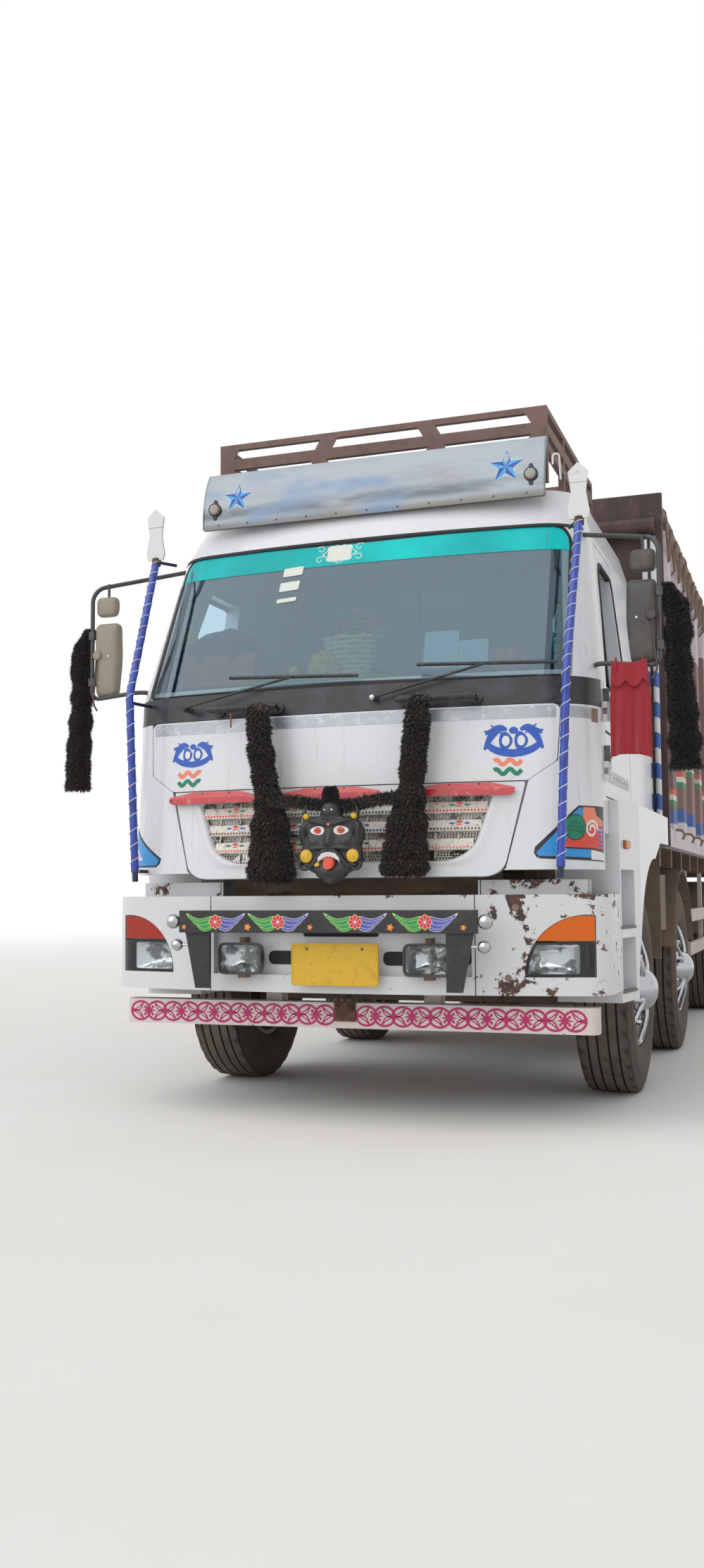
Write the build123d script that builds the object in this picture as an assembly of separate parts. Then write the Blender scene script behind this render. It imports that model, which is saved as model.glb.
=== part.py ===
# A decorated cab-over truck with two steered axles, two twin-tyred rear axles and a
# high-sided steel load body. Sizes are in millimetres.
# X is across, positive to the truck's own left. Y is the station, counted back from the
# bumper's front face. Z is up from the ground. The last section moves the station
# origin to the middle of the whole length.
from build123d import *
from math import asin, atan2, cos, degrees, radians, sin, sqrt
import os

# Clearances
SEAT = 0.3
RUNNING_FIT = 0.05
SWING_GAP = 6
END_PLAY = 2

# Axles, wheels and tyres
AXLE_1 = 1404
AXLE_2 = 3400
AXLE_3 = 6575
AXLE_4 = 7925
STEERED_AXLES = (AXLE_1, AXLE_2)
TWIN_AXLES = (AXLE_3, AXLE_4)
TYRE_RADIUS = 520
TYRE_WIDTH = 288
TREAD_WIDTH = 236
SHOULDER_DROP = 42
BEAD_WIDTH = 214
RIM_RADIUS = 286
RIM_WALL = 22
RIM_EDGE = 8
STEERED_WHEEL_X = 1030
TWIN_OUTER_X = 1050
TWIN_INNER_X = 720
HUB_RADIUS = 100
CAP_TIP_X = 1246

# Kingpins, knuckles and stub axles
KINGPIN_X = 870
KINGPIN_RADIUS = 22
KINGPIN_HALF_HEIGHT = 135
AXLE_EYE_RADIUS = 42
AXLE_EYE_HALF_HEIGHT = 88
FORK_RADIUS = 45
FORK_PLATE = 32
FORK_PLATE_GAP = 6
STUB_RADIUS = 40
STUB_TIP_X = 1155
TWIN_STUB_RADIUS = 50
TWIN_STUB_TIP_X = 980

# Ladder frame
RAIL_OUTER_X = 425
RAIL_WIDTH = 80
RAIL_BOTTOM = 780
RAIL_TOP = 1030
RAIL_WEB = 9
FRAME_FRONT = 220
CROSSMEMBER_DEPTH = 60
CROSSMEMBER_BOTTOM = 925
CROSSMEMBER_TOP = 1021

# Cab skins: height, half width, front station, front radius, corner radius, back station
CAB_LEVELS = (
    (1090, 1150, 30, 8000, 270, 2150),
    (1972, 1150, 95, 8000, 270, 2150),
    (2740, 1060, 414, 6500, 240, 2150),
    (2950, 1000, 560, 6000, 220, 2110),
)
CAB_SKIN = 35
CAB_WALL = 80
CAB_FLOOR_BOTTOM = 1280
CAB_FLOOR_TOP = 1330
CAB_SHELL_TOP = 2740
ROOF_UNDERSIDE = 2900
ROOF_TOP = 2950
PANEL_BACK = 366
FLAP_BOTTOM = 1508
FLAP_TOP = 1845
COWL_TOP = 1970
GLASS_INSET = 5
GLASS_THICKNESS = 6

# Cab doors
DOOR_FRONT = 422
DOOR_BACK = 1250
DOOR_BOTTOM = 1450
DOOR_TOP = 2700
DOOR_BELT = 1950
DOOR_TOP_FRONT = 780
DOOR_BACK_GAP = 12
WINDOW_RIM = 75
WINDOW_BOTTOM = 1960
HINGE_X = 1170
HINGE_STATION = 416
HINGE_BARREL = 12
HINGE_PIN = 6
HINGE_LEAF = 44
HINGE_PART = 28
CAB_HINGES = (1560, 1830)

# Front bumper: half width, front station, front radius, corner radius, back station
BUMPER_PLAN = (1195, 0, 4700, 130, 490)
BUMPER_BOTTOM = 576
BUMPER_TOP = 1010
BUMPER_WALL = 46
BUMPER_RECESS = 30
RECESS_HALF_WIDTH = 615
RECESS_BOTTOM = 655
RECESS_TOP = 858
LAMP_INNER_X = 840
LAMP_OUTER_X = 1137
LAMP_BOTTOM = 655
LAMP_TOP = 920
LAMP_SPLIT = 808
LAMP_DEPTH = 30
UNDERRUN_HALF_WIDTH = 1135
UNDERRUN_FRONT = 160
UNDERRUN_BOTTOM = 408
UNDERRUN_TOP = 523
UNDERRUN_DEPTH = 90

# Crest bar and its balls
CREST_HALF_WIDTH = 692
CREST_BOTTOM = 848
CREST_TOP = 947
CREST_STATION = -150
CREST_PLATE = 20
BALL_RADIUS = 33
BALL_X = 725

# Load body
BODY_FRONT = 2400
BODY_WALL = 40
BODY_BACK = 9880
BODY_HALF_WIDTH = 1220
BODY_SIDE_DEPTH = 70
BODY_INNER_X = BODY_HALF_WIDTH - BODY_SIDE_DEPTH
RIB_DEPTH = 45
RIB_PITCH = 625
RIB_WIDTH = 290
RIB_SLOPE = 40
BODY_BOTTOM = 1285
FLOOR_THICKNESS = 45
BODY_TOP = 3330
FRONT_WALL_TOP = 3410
SILL_WIDTH = 80
BEARER_BOTTOM = 1170
BEARER_DEPTH = 80
TOP_RAIL = 80
SIDE_GUARD_X = BODY_INNER_X - 30
FRAME_BACK = BODY_BACK - 160
SPARE_MEMBER = FRAME_BACK - 570
CROSSMEMBERS = (300, 660, 1980, 2800, 3700, 4560, 5420, 6150, 7000, 7700, 8500, SPARE_MEMBER,
                FRAME_BACK - 40)

# Tail: lower drop board and two upper doors
TAIL_THICKNESS = 40
TAIL_SPLIT = 2080
TAIL_GAP = 8
TAIL_HINGE_Z = 1270
TAIL_HINGE_STATION = BODY_BACK + 45
TAIL_PIN = 12
TAIL_BARREL = 22
TAIL_KNUCKLE = 60
TAIL_KNUCKLES = (-800, 0, 800)
REAR_DOOR_HINGE_X = BODY_HALF_WIDTH - 25
REAR_DOOR_HINGES = (2250, 2650, 3050)

FRONT_TIP = CREST_STATION - BALL_RADIUS
REAR_TIP = TAIL_HINGE_STATION + TAIL_BARREL
MIDDLE = (FRONT_TIP + REAR_TIP) / 2

parts = {}


# Helpers that every section uses
def block(x, y, z):
    """A box between the pairs of limits x, y and z."""
    limits = (x, y, z)
    sizes = [high - low for low, high in limits]
    middles = [(high + low) / 2 for low, high in limits]
    return Pos(*middles) * Box(*sizes)


def rod(start, end, radius):
    """A round bar between two points."""
    run = Vector(*end) - Vector(*start)
    bar = Cylinder(radius, run.length, align=(Align.CENTER, Align.CENTER, Align.MIN))
    return Plane(origin=start, z_dir=run) * bar


def side_plate(points, x):
    """An outline of (station, height) points, extruded across between the pair x."""
    face = Plane.YZ * make_face(Polyline(*points, close=True))
    return Pos(x[0], 0, 0) * extrude(face, amount=x[1] - x[0], dir=(1, 0, 0))


def front_plate(points, y):
    """An outline of (across, height) points, extruded back between the pair y."""
    outline = [(x, 0, z) for x, z in points]
    face = make_face(Polyline(*outline, close=True))
    return Pos(0, y[0], 0) * extrude(face, amount=y[1] - y[0], dir=(0, 1, 0))


def rounded_plate(points, y, radius):
    """A front plate whose corners are rounded."""
    plate = front_plate(points, y)
    return fillet(plate.edges().filter_by(Axis.Y), radius)


def plan_plate(points, z):
    """An outline of (across, station) points, extruded up between the pair z."""
    face = make_face(Polyline(*points, close=True))
    return Pos(0, 0, z[0]) * extrude(face, amount=z[1] - z[0], dir=(0, 0, 1))


def turned(points):
    """A profile of (across, radius) points, turned about the X axis."""
    return revolve(make_face(Polyline(*points, close=True)), Axis.X)


def both_sides(shape):
    return [shape, mirror(shape, about=Plane.YZ)]


def joined(shapes):
    return Part() + shapes


def rounded_plan(plan, inset):
    """A plan face with a bowed front, round front corners and a straight back.
    The plan is half width, front station, front radius, corner radius and back station."""
    half_width, front, front_radius, corner_radius, back = plan
    half_width = half_width - inset
    front = front + inset
    front_radius = front_radius - inset
    corner_radius = max(corner_radius - inset, 5)
    back = back - inset
    bow_centre = front + front_radius
    corner_x = half_width - corner_radius
    reach = front_radius - corner_radius
    corner_y = bow_centre - sqrt(reach ** 2 - corner_x ** 2)
    lean = atan2(corner_x, bow_centre - corner_y)
    touch = (front_radius * sin(lean), bow_centre - front_radius * cos(lean))
    halfway = (lean + radians(90)) / 2
    bend = (corner_x + corner_radius * sin(halfway), corner_y - corner_radius * cos(halfway))
    side = (half_width, corner_y)
    rear = (half_width, back)
    outline = [
        ThreePointArc((-touch[0], touch[1]), (0, front), touch),
        ThreePointArc(touch, bend, side),
        Line(side, rear),
        Line(rear, (-rear[0], rear[1])),
        Line((-rear[0], rear[1]), (-side[0], side[1])),
        ThreePointArc((-side[0], side[1]), (-bend[0], bend[1]), (-touch[0], touch[1])),
    ]
    return make_face(outline)


def cab_form(inset):
    """The cab's whole outer form, set in by the inset all round."""
    faces = [Pos(0, 0, level[0]) * rounded_plan(level[1:], inset) for level in CAB_LEVELS]
    return loft(faces, ruled=True)


EVERYWHERE = (-20000, 20000)

# Ladder frame: two channel rails, and between their webs box crossmembers, a low member
# under the engine and the rear tow eye
ENGINE_MEMBER = 1020
ENGINE_MEMBER_DEPTH = 50
ENGINE_BOTTOM = RAIL_BOTTOM + RAIL_WEB + ENGINE_MEMBER_DEPTH
TOW_EYE_RADIUS = 21
TOW_EYE_HEIGHT = 960
TOW_EYE_REACH = 60
rail_inner_x = RAIL_OUTER_X - RAIL_WIDTH
rail = block((rail_inner_x, RAIL_OUTER_X), (FRAME_FRONT, FRAME_BACK), (RAIL_BOTTOM, RAIL_TOP))
rail -= block((rail_inner_x - 1, RAIL_OUTER_X - RAIL_WEB), (FRAME_FRONT - 1, FRAME_BACK + 1),
              (RAIL_BOTTOM + RAIL_WEB, RAIL_TOP - RAIL_WEB))
web_x = RAIL_OUTER_X - RAIL_WEB
members = []
for station in CROSSMEMBERS:
    span_y = (station - CROSSMEMBER_DEPTH / 2, station + CROSSMEMBER_DEPTH / 2)
    members.append(block((-web_x, web_x), span_y, (CROSSMEMBER_BOTTOM, CROSSMEMBER_TOP)))
span_y = (ENGINE_MEMBER - CROSSMEMBER_DEPTH / 2, ENGINE_MEMBER + CROSSMEMBER_DEPTH / 2)
members.append(block((-web_x, web_x), span_y, (ENGINE_BOTTOM - ENGINE_MEMBER_DEPTH, ENGINE_BOTTOM)))
tow_lug = block((-25, 25), (CROSSMEMBERS[-1], FRAME_BACK + TOW_EYE_REACH + 45),
                (TOW_EYE_HEIGHT - 45, TOW_EYE_HEIGHT + 45))
tow_lug -= rod((-30, FRAME_BACK + TOW_EYE_REACH, TOW_EYE_HEIGHT),
               (30, FRAME_BACK + TOW_EYE_REACH, TOW_EYE_HEIGHT), TOW_EYE_RADIUS)
parts["frame_rails"] = joined(both_sides(rail))
parts["crossmembers"] = joined(members + [tow_lug])

# Engine and gearbox: one heavy block under the cab floor
ENGINE_HALF_WIDTH = 330
ENGINE_FRONT = 720
ENGINE_BACK = 1900
ENGINE_TOP = 1225
parts["engine_block"] = block((-ENGINE_HALF_WIDTH, ENGINE_HALF_WIDTH), (ENGINE_FRONT, ENGINE_BACK),
                              (ENGINE_BOTTOM, ENGINE_TOP))

# Axles: two drop beams with their kingpins, and two round housings with their stubs
BEAM_BOTTOM = TYRE_RADIUS - 80
BEAM_TOP = TYRE_RADIUS + 10
BEAM_HALF_DEPTH = 45
HOUSING_RADIUS = 70
HOUSING_END_X = 560
BANJO_RADIUS = 200
SPRING_SEAT = 80
axle_shapes = []
for station in STEERED_AXLES:
    beam = block((-KINGPIN_X, KINGPIN_X), (station - BEAM_HALF_DEPTH, station + BEAM_HALF_DEPTH),
                 (BEAM_BOTTOM, BEAM_TOP))
    eyes = []
    for side in (-1, 1):
        centre = (side * KINGPIN_X, station)
        eyes.append(rod((*centre, TYRE_RADIUS - AXLE_EYE_HALF_HEIGHT),
                        (*centre, TYRE_RADIUS + AXLE_EYE_HALF_HEIGHT), AXLE_EYE_RADIUS))
        eyes.append(rod((*centre, TYRE_RADIUS - KINGPIN_HALF_HEIGHT),
                        (*centre, TYRE_RADIUS + KINGPIN_HALF_HEIGHT), KINGPIN_RADIUS))
        beam -= block((side * KINGPIN_X - 20, side * KINGPIN_X + 20),
                      (station - BEAM_HALF_DEPTH - 1, station + BEAM_HALF_DEPTH + 1),
                      (BEAM_BOTTOM - 1, BEAM_TOP + 1))
    axle_shapes.append(joined([beam] + eyes))
half_housing = [(0, 0), (0, BANJO_RADIUS), (60, BANJO_RADIUS - 10), (130, BANJO_RADIUS - 70),
                (190, HOUSING_RADIUS), (HOUSING_END_X, HOUSING_RADIUS),
                (HOUSING_END_X, TWIN_STUB_RADIUS), (TWIN_STUB_TIP_X, TWIN_STUB_RADIUS),
                (TWIN_STUB_TIP_X, 0)]
for station in TWIN_AXLES:
    housing = Pos(0, station, TYRE_RADIUS) * joined(both_sides(turned(half_housing)))
    pads = both_sides(block((RAIL_OUTER_X - 60, RAIL_OUTER_X + 50), (station - 60, station + 60),
                            (TYRE_RADIUS, TYRE_RADIUS + SPRING_SEAT)))
    axle_shapes.append(joined([housing] + pads))
parts["axles"] = joined(axle_shapes)

# Leaf springs with their hangers under the rails
SPRING_WIDTH = 90
SPRING_THICKNESS = 60
SPRING_X = RAIL_OUTER_X - RAIL_WIDTH / 2
HANGER_LENGTH = 70
SPRINGS = (  # station, half length, seat height
    (AXLE_1, 660, BEAM_TOP),
    (AXLE_2, 660, BEAM_TOP),
    (AXLE_3, 560, TYRE_RADIUS + SPRING_SEAT),
    (AXLE_4, 560, TYRE_RADIUS + SPRING_SEAT),
)
spring_shapes = []
for station, half_length, seat in SPRINGS:
    eye = RAIL_BOTTOM - 70
    low = seat + 20
    outline = [
        ThreePointArc((station - half_length, eye), (station, low), (station + half_length, eye)),
        Line((station + half_length, eye), (station + half_length, eye + SPRING_THICKNESS)),
        ThreePointArc((station + half_length, eye + SPRING_THICKNESS),
                      (station, low + SPRING_THICKNESS),
                      (station - half_length, eye + SPRING_THICKNESS)),
        Line((station - half_length, eye + SPRING_THICKNESS), (station - half_length, eye)),
    ]
    leaf = extrude(Plane.YZ * make_face(outline), amount=SPRING_WIDTH, dir=(1, 0, 0))
    leaf = Pos(SPRING_X - SPRING_WIDTH / 2, 0, 0) * leaf
    across = (SPRING_X - SPRING_WIDTH / 2, SPRING_X + SPRING_WIDTH / 2)
    pad = block(across, (station - 55, station + 55), (seat, low + 10))
    hangers = []
    for end in (-1, 1):
        place = station + end * (half_length - HANGER_LENGTH / 2)
        hangers.append(block(across, (place - HANGER_LENGTH / 2, place + HANGER_LENGTH / 2),
                             (eye + 20, RAIL_BOTTOM)))
    spring_shapes += both_sides(joined([leaf, pad] + hangers))
parts["leaf_springs"] = joined(spring_shapes)

# Propeller shaft from the engine to the first twin axle
SHAFT_RADIUS = 45
SHAFT_HEIGHT = 870
parts["propeller_shaft"] = rod((0, ENGINE_BACK, SHAFT_HEIGHT),
                               (0, AXLE_3 - BANJO_RADIUS + 2, TYRE_RADIUS + 30), SHAFT_RADIUS)
parts["propeller_shaft"] -= block((-90, 90), (ENGINE_BACK - 50, ENGINE_BACK), (700, 1100))
parts["propeller_shaft"] -= parts["axles"]

# Fuel tank on the right rail, battery box on the left, both on brackets
FRONT_GUARD_RADIUS = 632
GUARD_SHEET = 10
TANK_BACK = 5420
TANK_FRONT = AXLE_2 + FRONT_GUARD_RADIUS + 328
BATTERY_FRONT = 2200
BATTERY_BACK = AXLE_2 - FRONT_GUARD_RADIUS - 48
tank = block((470, 1090), (TANK_FRONT, TANK_BACK), (600, 1060))
tank = fillet(tank.edges().filter_by(Axis.Y), 90)
tank_bracket = block((RAIL_OUTER_X, 480), (TANK_FRONT + 150, TANK_FRONT + 230), (800, 1000))
tank_bracket2 = block((RAIL_OUTER_X, 480), (TANK_BACK - 230, TANK_BACK - 150), (800, 1000))
tank_node = joined([tank, tank_bracket, tank_bracket2])
parts["fuel_tank"] = mirror(tank_node, about=Plane.YZ)
battery = block((560, 1150), (BATTERY_FRONT, BATTERY_BACK), (790, 1120))
battery_arms = [block((RAIL_OUTER_X, 570), (y, y + 60), (850, 1000))
                for y in (BATTERY_FRONT + 60, BATTERY_BACK - 120)]
parts["battery_box"] = joined([battery] + battery_arms)

# Spare wheel, flat under the tail of the frame
SPARE_STATION = SPARE_MEMBER - 150
SPARE_TOP = 770
spare = turned([(-BEAD_WIDTH / 2, RIM_RADIUS), (-TYRE_WIDTH / 2, TYRE_RADIUS - SHOULDER_DROP),
                (-TREAD_WIDTH / 2, TYRE_RADIUS), (TREAD_WIDTH / 2, TYRE_RADIUS),
                (TYRE_WIDTH / 2, TYRE_RADIUS - SHOULDER_DROP), (BEAD_WIDTH / 2, RIM_RADIUS),
                (40, RIM_RADIUS - 10), (40, 110), (20, 110), (20, RIM_RADIUS - 10),
                (0, RIM_RADIUS - 10)])
spare = Pos(0, SPARE_STATION, SPARE_TOP - TYRE_WIDTH / 2) * (Rot(0, 90, 0) * spare)
spare_hook = block((-150, 150), (SPARE_STATION - 30, SPARE_STATION + 30),
                   (SPARE_TOP - TYRE_WIDTH / 2 - 54, SPARE_TOP - TYRE_WIDTH / 2 - 40))
spare_stem = rod((0, SPARE_STATION, SPARE_TOP - TYRE_WIDTH / 2 - 50), (0, SPARE_STATION, 960), 15)
spare_arm = block((-20, 20), (SPARE_STATION, SPARE_MEMBER - CROSSMEMBER_DEPTH / 2), (940, 980))
parts["spare_wheel"] = joined([spare, spare_hook, spare_stem, spare_arm])

# Cab shell: walls, floor and pillars, with its door, window and panel places cut
outer_form = cab_form(0)
skin_form = cab_form(CAB_SKIN)
inner_form = cab_form(CAB_WALL)
shell = outer_form & block(EVERYWHERE, EVERYWHERE, (CAB_FLOOR_BOTTOM, CAB_SHELL_TOP))
shell -= inner_form & block(EVERYWHERE, EVERYWHERE, (CAB_FLOOR_TOP, 4000))
panel_place = block(EVERYWHERE, (-500, PANEL_BACK), (0, COWL_TOP))
shell -= (outer_form - skin_form) & panel_place
GLASS_EDGE = 1046
glass_outline = [(-GLASS_EDGE, COWL_TOP), (GLASS_EDGE, COWL_TOP), (GLASS_EDGE - 20, CAB_SHELL_TOP),
                 (-GLASS_EDGE + 20, CAB_SHELL_TOP)]
glass_back = cab_form(GLASS_INSET + GLASS_THICKNESS + SEAT)
shell -= (outer_form - glass_back) & front_plate(glass_outline, (-100, 520))
SIGHT_BOTTOM = 2000
SIGHT_TOP = 2712
shell -= front_plate([(-1010, SIGHT_BOTTOM), (1010, SIGHT_BOTTOM), (955, SIGHT_TOP),
                      (-955, SIGHT_TOP)], (-100, 720))


def door_outline(edge, back):
    """The door's side outline, grown by edge at the front, top and bottom and by back behind."""
    slope = (DOOR_TOP_FRONT - DOOR_FRONT) / (DOOR_TOP - DOOR_BELT)
    slant = edge * sqrt(1 + slope ** 2)
    top = DOOR_TOP + edge
    top_front = DOOR_FRONT + (top - DOOR_BELT) * slope - slant
    belt = DOOR_BELT + (slant - edge) / slope
    return [(DOOR_FRONT - edge, DOOR_BOTTOM - edge), (DOOR_BACK + back, DOOR_BOTTOM - edge),
            (DOOR_BACK + back, top), (top_front, top), (DOOR_FRONT - edge, belt)]


shell -= side_plate(door_outline(SWING_GAP, DOOR_BACK_GAP), (0, 1400))
shell -= side_plate(door_outline(SWING_GAP, DOOR_BACK_GAP), (-1400, 0))


def hinge_parts(x, station, height, reach):
    """The three knuckles and the pin of one upright hinge: fixed pieces, then the swinging one."""
    leaf_x = (x - (HINGE_X - 1150), x)
    fixed = []
    swinging = []
    for place in (-1, 0, 1):
        low = height + place * (HINGE_PART + 1) - HINGE_PART / 2
        high = low + HINGE_PART
        barrel = rod((x, station, low), (x, station, high), HINGE_BARREL)
        if place == 0:
            leaf = block(leaf_x, (station, station + reach), (low, high))
            hole = rod((x, station, low - 1), (x, station, high + 1), HINGE_PIN + RUNNING_FIT)
            swinging.append(joined([barrel, leaf]) - hole)
        else:
            leaf = block(leaf_x, (station - reach, station), (low, high))
            fixed.append(joined([barrel, leaf]))
    pin_half = 1.5 * HINGE_PART + 1
    fixed.append(rod((x, station, height - pin_half), (x, station, height + pin_half), HINGE_PIN))
    return joined(fixed), joined(swinging)


cab_fixed = []
cab_swinging = []
for height in CAB_HINGES:
    fixed, swinging = hinge_parts(HINGE_X, HINGE_STATION, height, HINGE_LEAF)
    cab_fixed += both_sides(fixed)
    cab_swinging.append(swinging)
parts["cab_shell"] = joined([shell] + cab_fixed)

# Roof cap, with the white visor band as its front
roof = outer_form & block(EVERYWHERE, EVERYWHERE, (CAB_SHELL_TOP, ROOF_TOP))
roof -= inner_form & block(EVERYWHERE, EVERYWHERE, (CAB_SHELL_TOP - 1, ROOF_UNDERSIDE))
parts["roof_cap"] = roof

# Doors: the wall's own thickness, with the window open
window = []
for y, z in [(DOOR_FRONT + WINDOW_RIM, WINDOW_BOTTOM), (DOOR_BACK - WINDOW_RIM, WINDOW_BOTTOM),
             (DOOR_BACK - WINDOW_RIM, DOOR_TOP - WINDOW_RIM),
             (DOOR_TOP_FRONT + WINDOW_RIM / 2, DOOR_TOP - WINDOW_RIM)]:
    window.append((y, z))
door_skin = outer_form - inner_form
door = door_skin & side_plate(door_outline(0, 0), (0, 1400))
door -= side_plate(window, (0, 1400))
door = joined([door] + cab_swinging)
parts["door_left"] = door
parts["door_right"] = mirror(door, about=Plane.YZ)

# Front panels: lifting flap, grille panel, two corner panels and the cowl band
panel_skin = outer_form - cab_form(CAB_SKIN - SEAT)
FLAP_LOW_X = 860
FLAP_SIDE_X = 985
FLAP_SHOULDER = 85
FLAP_HIGH_X = 1000
PANEL_GAP = 4
PANEL_BOTTOM = 1090
CORNER_BOTTOM = 1117
GRILLE_FOOT_X = 700
GRILLE_LOW_X = 762
GRILLE_RISE = 35
PANEL_CORNER = 30
grille_top = FLAP_BOTTOM - PANEL_GAP
grille_top_x = FLAP_LOW_X - PANEL_GAP - 3
flap_half = [(FLAP_LOW_X, FLAP_BOTTOM), (FLAP_SIDE_X, FLAP_BOTTOM + FLAP_SHOULDER),
             (FLAP_HIGH_X, FLAP_TOP)]
grille_half = [(GRILLE_FOOT_X, PANEL_BOTTOM), (GRILLE_LOW_X, PANEL_BOTTOM + GRILLE_RISE),
               (grille_top_x, grille_top)]


def whole_outline(half, grown=0):
    """Both halves of an outline that is given from its foot up, on the left side."""
    left = [(x + grown, z) for x, z in half]
    return left + [(-x, z) for x, z in reversed(left)]


front_zone = (-200, 300)
parts["front_flap"] = panel_skin & rounded_plate(whole_outline(flap_half), front_zone, PANEL_CORNER)
grille_panel = panel_skin & rounded_plate(whole_outline(grille_half), front_zone, PANEL_CORNER)
seam_half = [(GRILLE_FOOT_X, PANEL_BOTTOM - 10), grille_half[1], flap_half[0], flap_half[1],
             (FLAP_HIGH_X, FLAP_TOP + 10)]
corners = panel_skin & block(EVERYWHERE, (-200, PANEL_BACK - SEAT), (CORNER_BOTTOM, FLAP_TOP))
corners -= front_plate(whole_outline(seam_half, PANEL_GAP), front_zone)
parts["corner_panels"] = corners
cowl = outer_form & block(EVERYWHERE, (-200, PANEL_BACK - SEAT), (FLAP_TOP + 3, COWL_TOP - SEAT))
cowl -= cab_form(CAB_SKIN - SEAT)

# Grille: three slat bands with a mesh behind them in a rounded opening, held by thin
# uprights, and three bent plates over the opening's top edge
OPENING_HALF = [(520, 1163), (620, 1215), (702, 1446)]
OPENING_CORNER = 30
OPENING_OVERLAP = 2
MESH_SET = (22, 27)
BAND_FEET = (1374, 1293, 1211)
BAND_LIP = 18
BAND_RISE = 48
BAND_SET = (3, 24)
RISE_SET = (11, 26)
UPRIGHT_PITCH = 105
UPRIGHT_SHIFT = 30
UPRIGHT_WIDTH = 6
opening = rounded_plate(whole_outline(OPENING_HALF), front_zone, OPENING_CORNER)
seated_opening = rounded_plate(whole_outline(OPENING_HALF, OPENING_OVERLAP), front_zone,
                               OPENING_CORNER)
lips = [block((-900, 900), (-150, 250), (foot, foot + BAND_LIP)) for foot in BAND_FEET]
rises = [block((-900, 900), (-150, 250), (foot + BAND_LIP - 1, foot + BAND_RISE))
         for foot in BAND_FEET]
for number in range(-6, 6):
    x = number * UPRIGHT_PITCH + UPRIGHT_SHIFT
    rises.append(block((x - UPRIGHT_WIDTH / 2, x + UPRIGHT_WIDTH / 2), (-150, 250), (1100, 1480)))
lips = joined(lips) & seated_opening
rises = joined(rises) & seated_opening
bands = [(cab_form(BAND_SET[0]) - cab_form(BAND_SET[1])) & lips,
         (cab_form(RISE_SET[0]) - cab_form(RISE_SET[1])) & rises]
mesh_plate = (cab_form(MESH_SET[0]) - cab_form(MESH_SET[1])) & seated_opening
frame_of_grille = grille_panel - opening

# Each bent plate: lip low and high ends, then its top's low and high ends
DEFLECTORS = ((-862, -402, -750, -495), (-274, 206, -168, 85), (347, 809, 466, 702))
DEFLECTOR_REACH = 32
DEFLECTOR_SHEET = 3.5
DEFLECTOR_FOOT = 1441
DEFLECTOR_BEND = 1474
DEFLECTOR_TOP = 1501


def skin_station(x, z):
    """The station of the cab's front skin, between its two lowest levels."""
    low, high = CAB_LEVELS[:2]
    front = low[2] + (high[2] - low[2]) * (z - low[0]) / (high[0] - low[0])
    return front + x * x / (2 * low[3])


deflectors = []
for low_x, high_x, top_low_x, top_high_x in DEFLECTORS:
    centre = (low_x + high_x) / 2
    profile = []
    for out, z in ((-2, DEFLECTOR_TOP), (DEFLECTOR_SHEET - 2, DEFLECTOR_TOP + 2),
                   (DEFLECTOR_REACH, DEFLECTOR_BEND), (DEFLECTOR_REACH, DEFLECTOR_FOOT),
                   (DEFLECTOR_REACH - DEFLECTOR_SHEET, DEFLECTOR_FOOT),
                   (DEFLECTOR_REACH - DEFLECTOR_SHEET, DEFLECTOR_BEND - 2)):
        profile.append((skin_station(0, z) - out, z))
    sheet = side_plate(profile, (-400, 400))
    tilt = degrees(asin(centre / CAB_LEVELS[0][3]))
    pivot = skin_station(0, DEFLECTOR_TOP)
    sheet = Pos(centre, skin_station(centre, DEFLECTOR_TOP), 0) * Rot(0, 0, tilt) * (
        Pos(0, -pivot, 0) * sheet)
    sheet &= front_plate([(low_x, DEFLECTOR_FOOT - 5), (high_x, DEFLECTOR_FOOT - 5),
                          (high_x, DEFLECTOR_BEND), (top_high_x, DEFLECTOR_TOP + 5),
                          (top_low_x, DEFLECTOR_TOP + 5), (low_x, DEFLECTOR_BEND)], (-200, 400))
    deflectors.append(sheet)
parts["grille_panel"] = joined([frame_of_grille, mesh_plate] + bands + deflectors)

# Windshield: one bowed pane in its rebate
GLASS_PLAY = 2
pane_outline = [(-GLASS_EDGE + GLASS_PLAY, COWL_TOP + GLASS_PLAY),
                (GLASS_EDGE - GLASS_PLAY, COWL_TOP + GLASS_PLAY),
                (GLASS_EDGE - 20 - GLASS_PLAY, CAB_SHELL_TOP - GLASS_PLAY),
                (-GLASS_EDGE + 20 + GLASS_PLAY, CAB_SHELL_TOP - GLASS_PLAY)]
pane = cab_form(GLASS_INSET) - cab_form(GLASS_INSET + GLASS_THICKNESS)
parts["windshield"] = pane & front_plate(pane_outline, (-100, 500))

# Grab handles on the cowl, which the front garlands hang from
HANDLE_Z = 1882
HANDLE_RADIUS = 9
HANDLE_STATION = 18
HANDLES = ((-640, -290), (285, 655))
seated_form = cab_form(-SEAT)
handle_shapes = []
for low_x, high_x in HANDLES:
    bar = rod((low_x, HANDLE_STATION, HANDLE_Z), (high_x, HANDLE_STATION, HANDLE_Z), HANDLE_RADIUS)
    posts = [rod((x, HANDLE_STATION, HANDLE_Z), (x, 118, HANDLE_Z), HANDLE_RADIUS - 1)
             for x in (low_x + 20, high_x - 20)]
    handle_shapes.append(joined([bar] + posts))
parts["cowl"] = joined([cowl] + handle_shapes)

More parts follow.
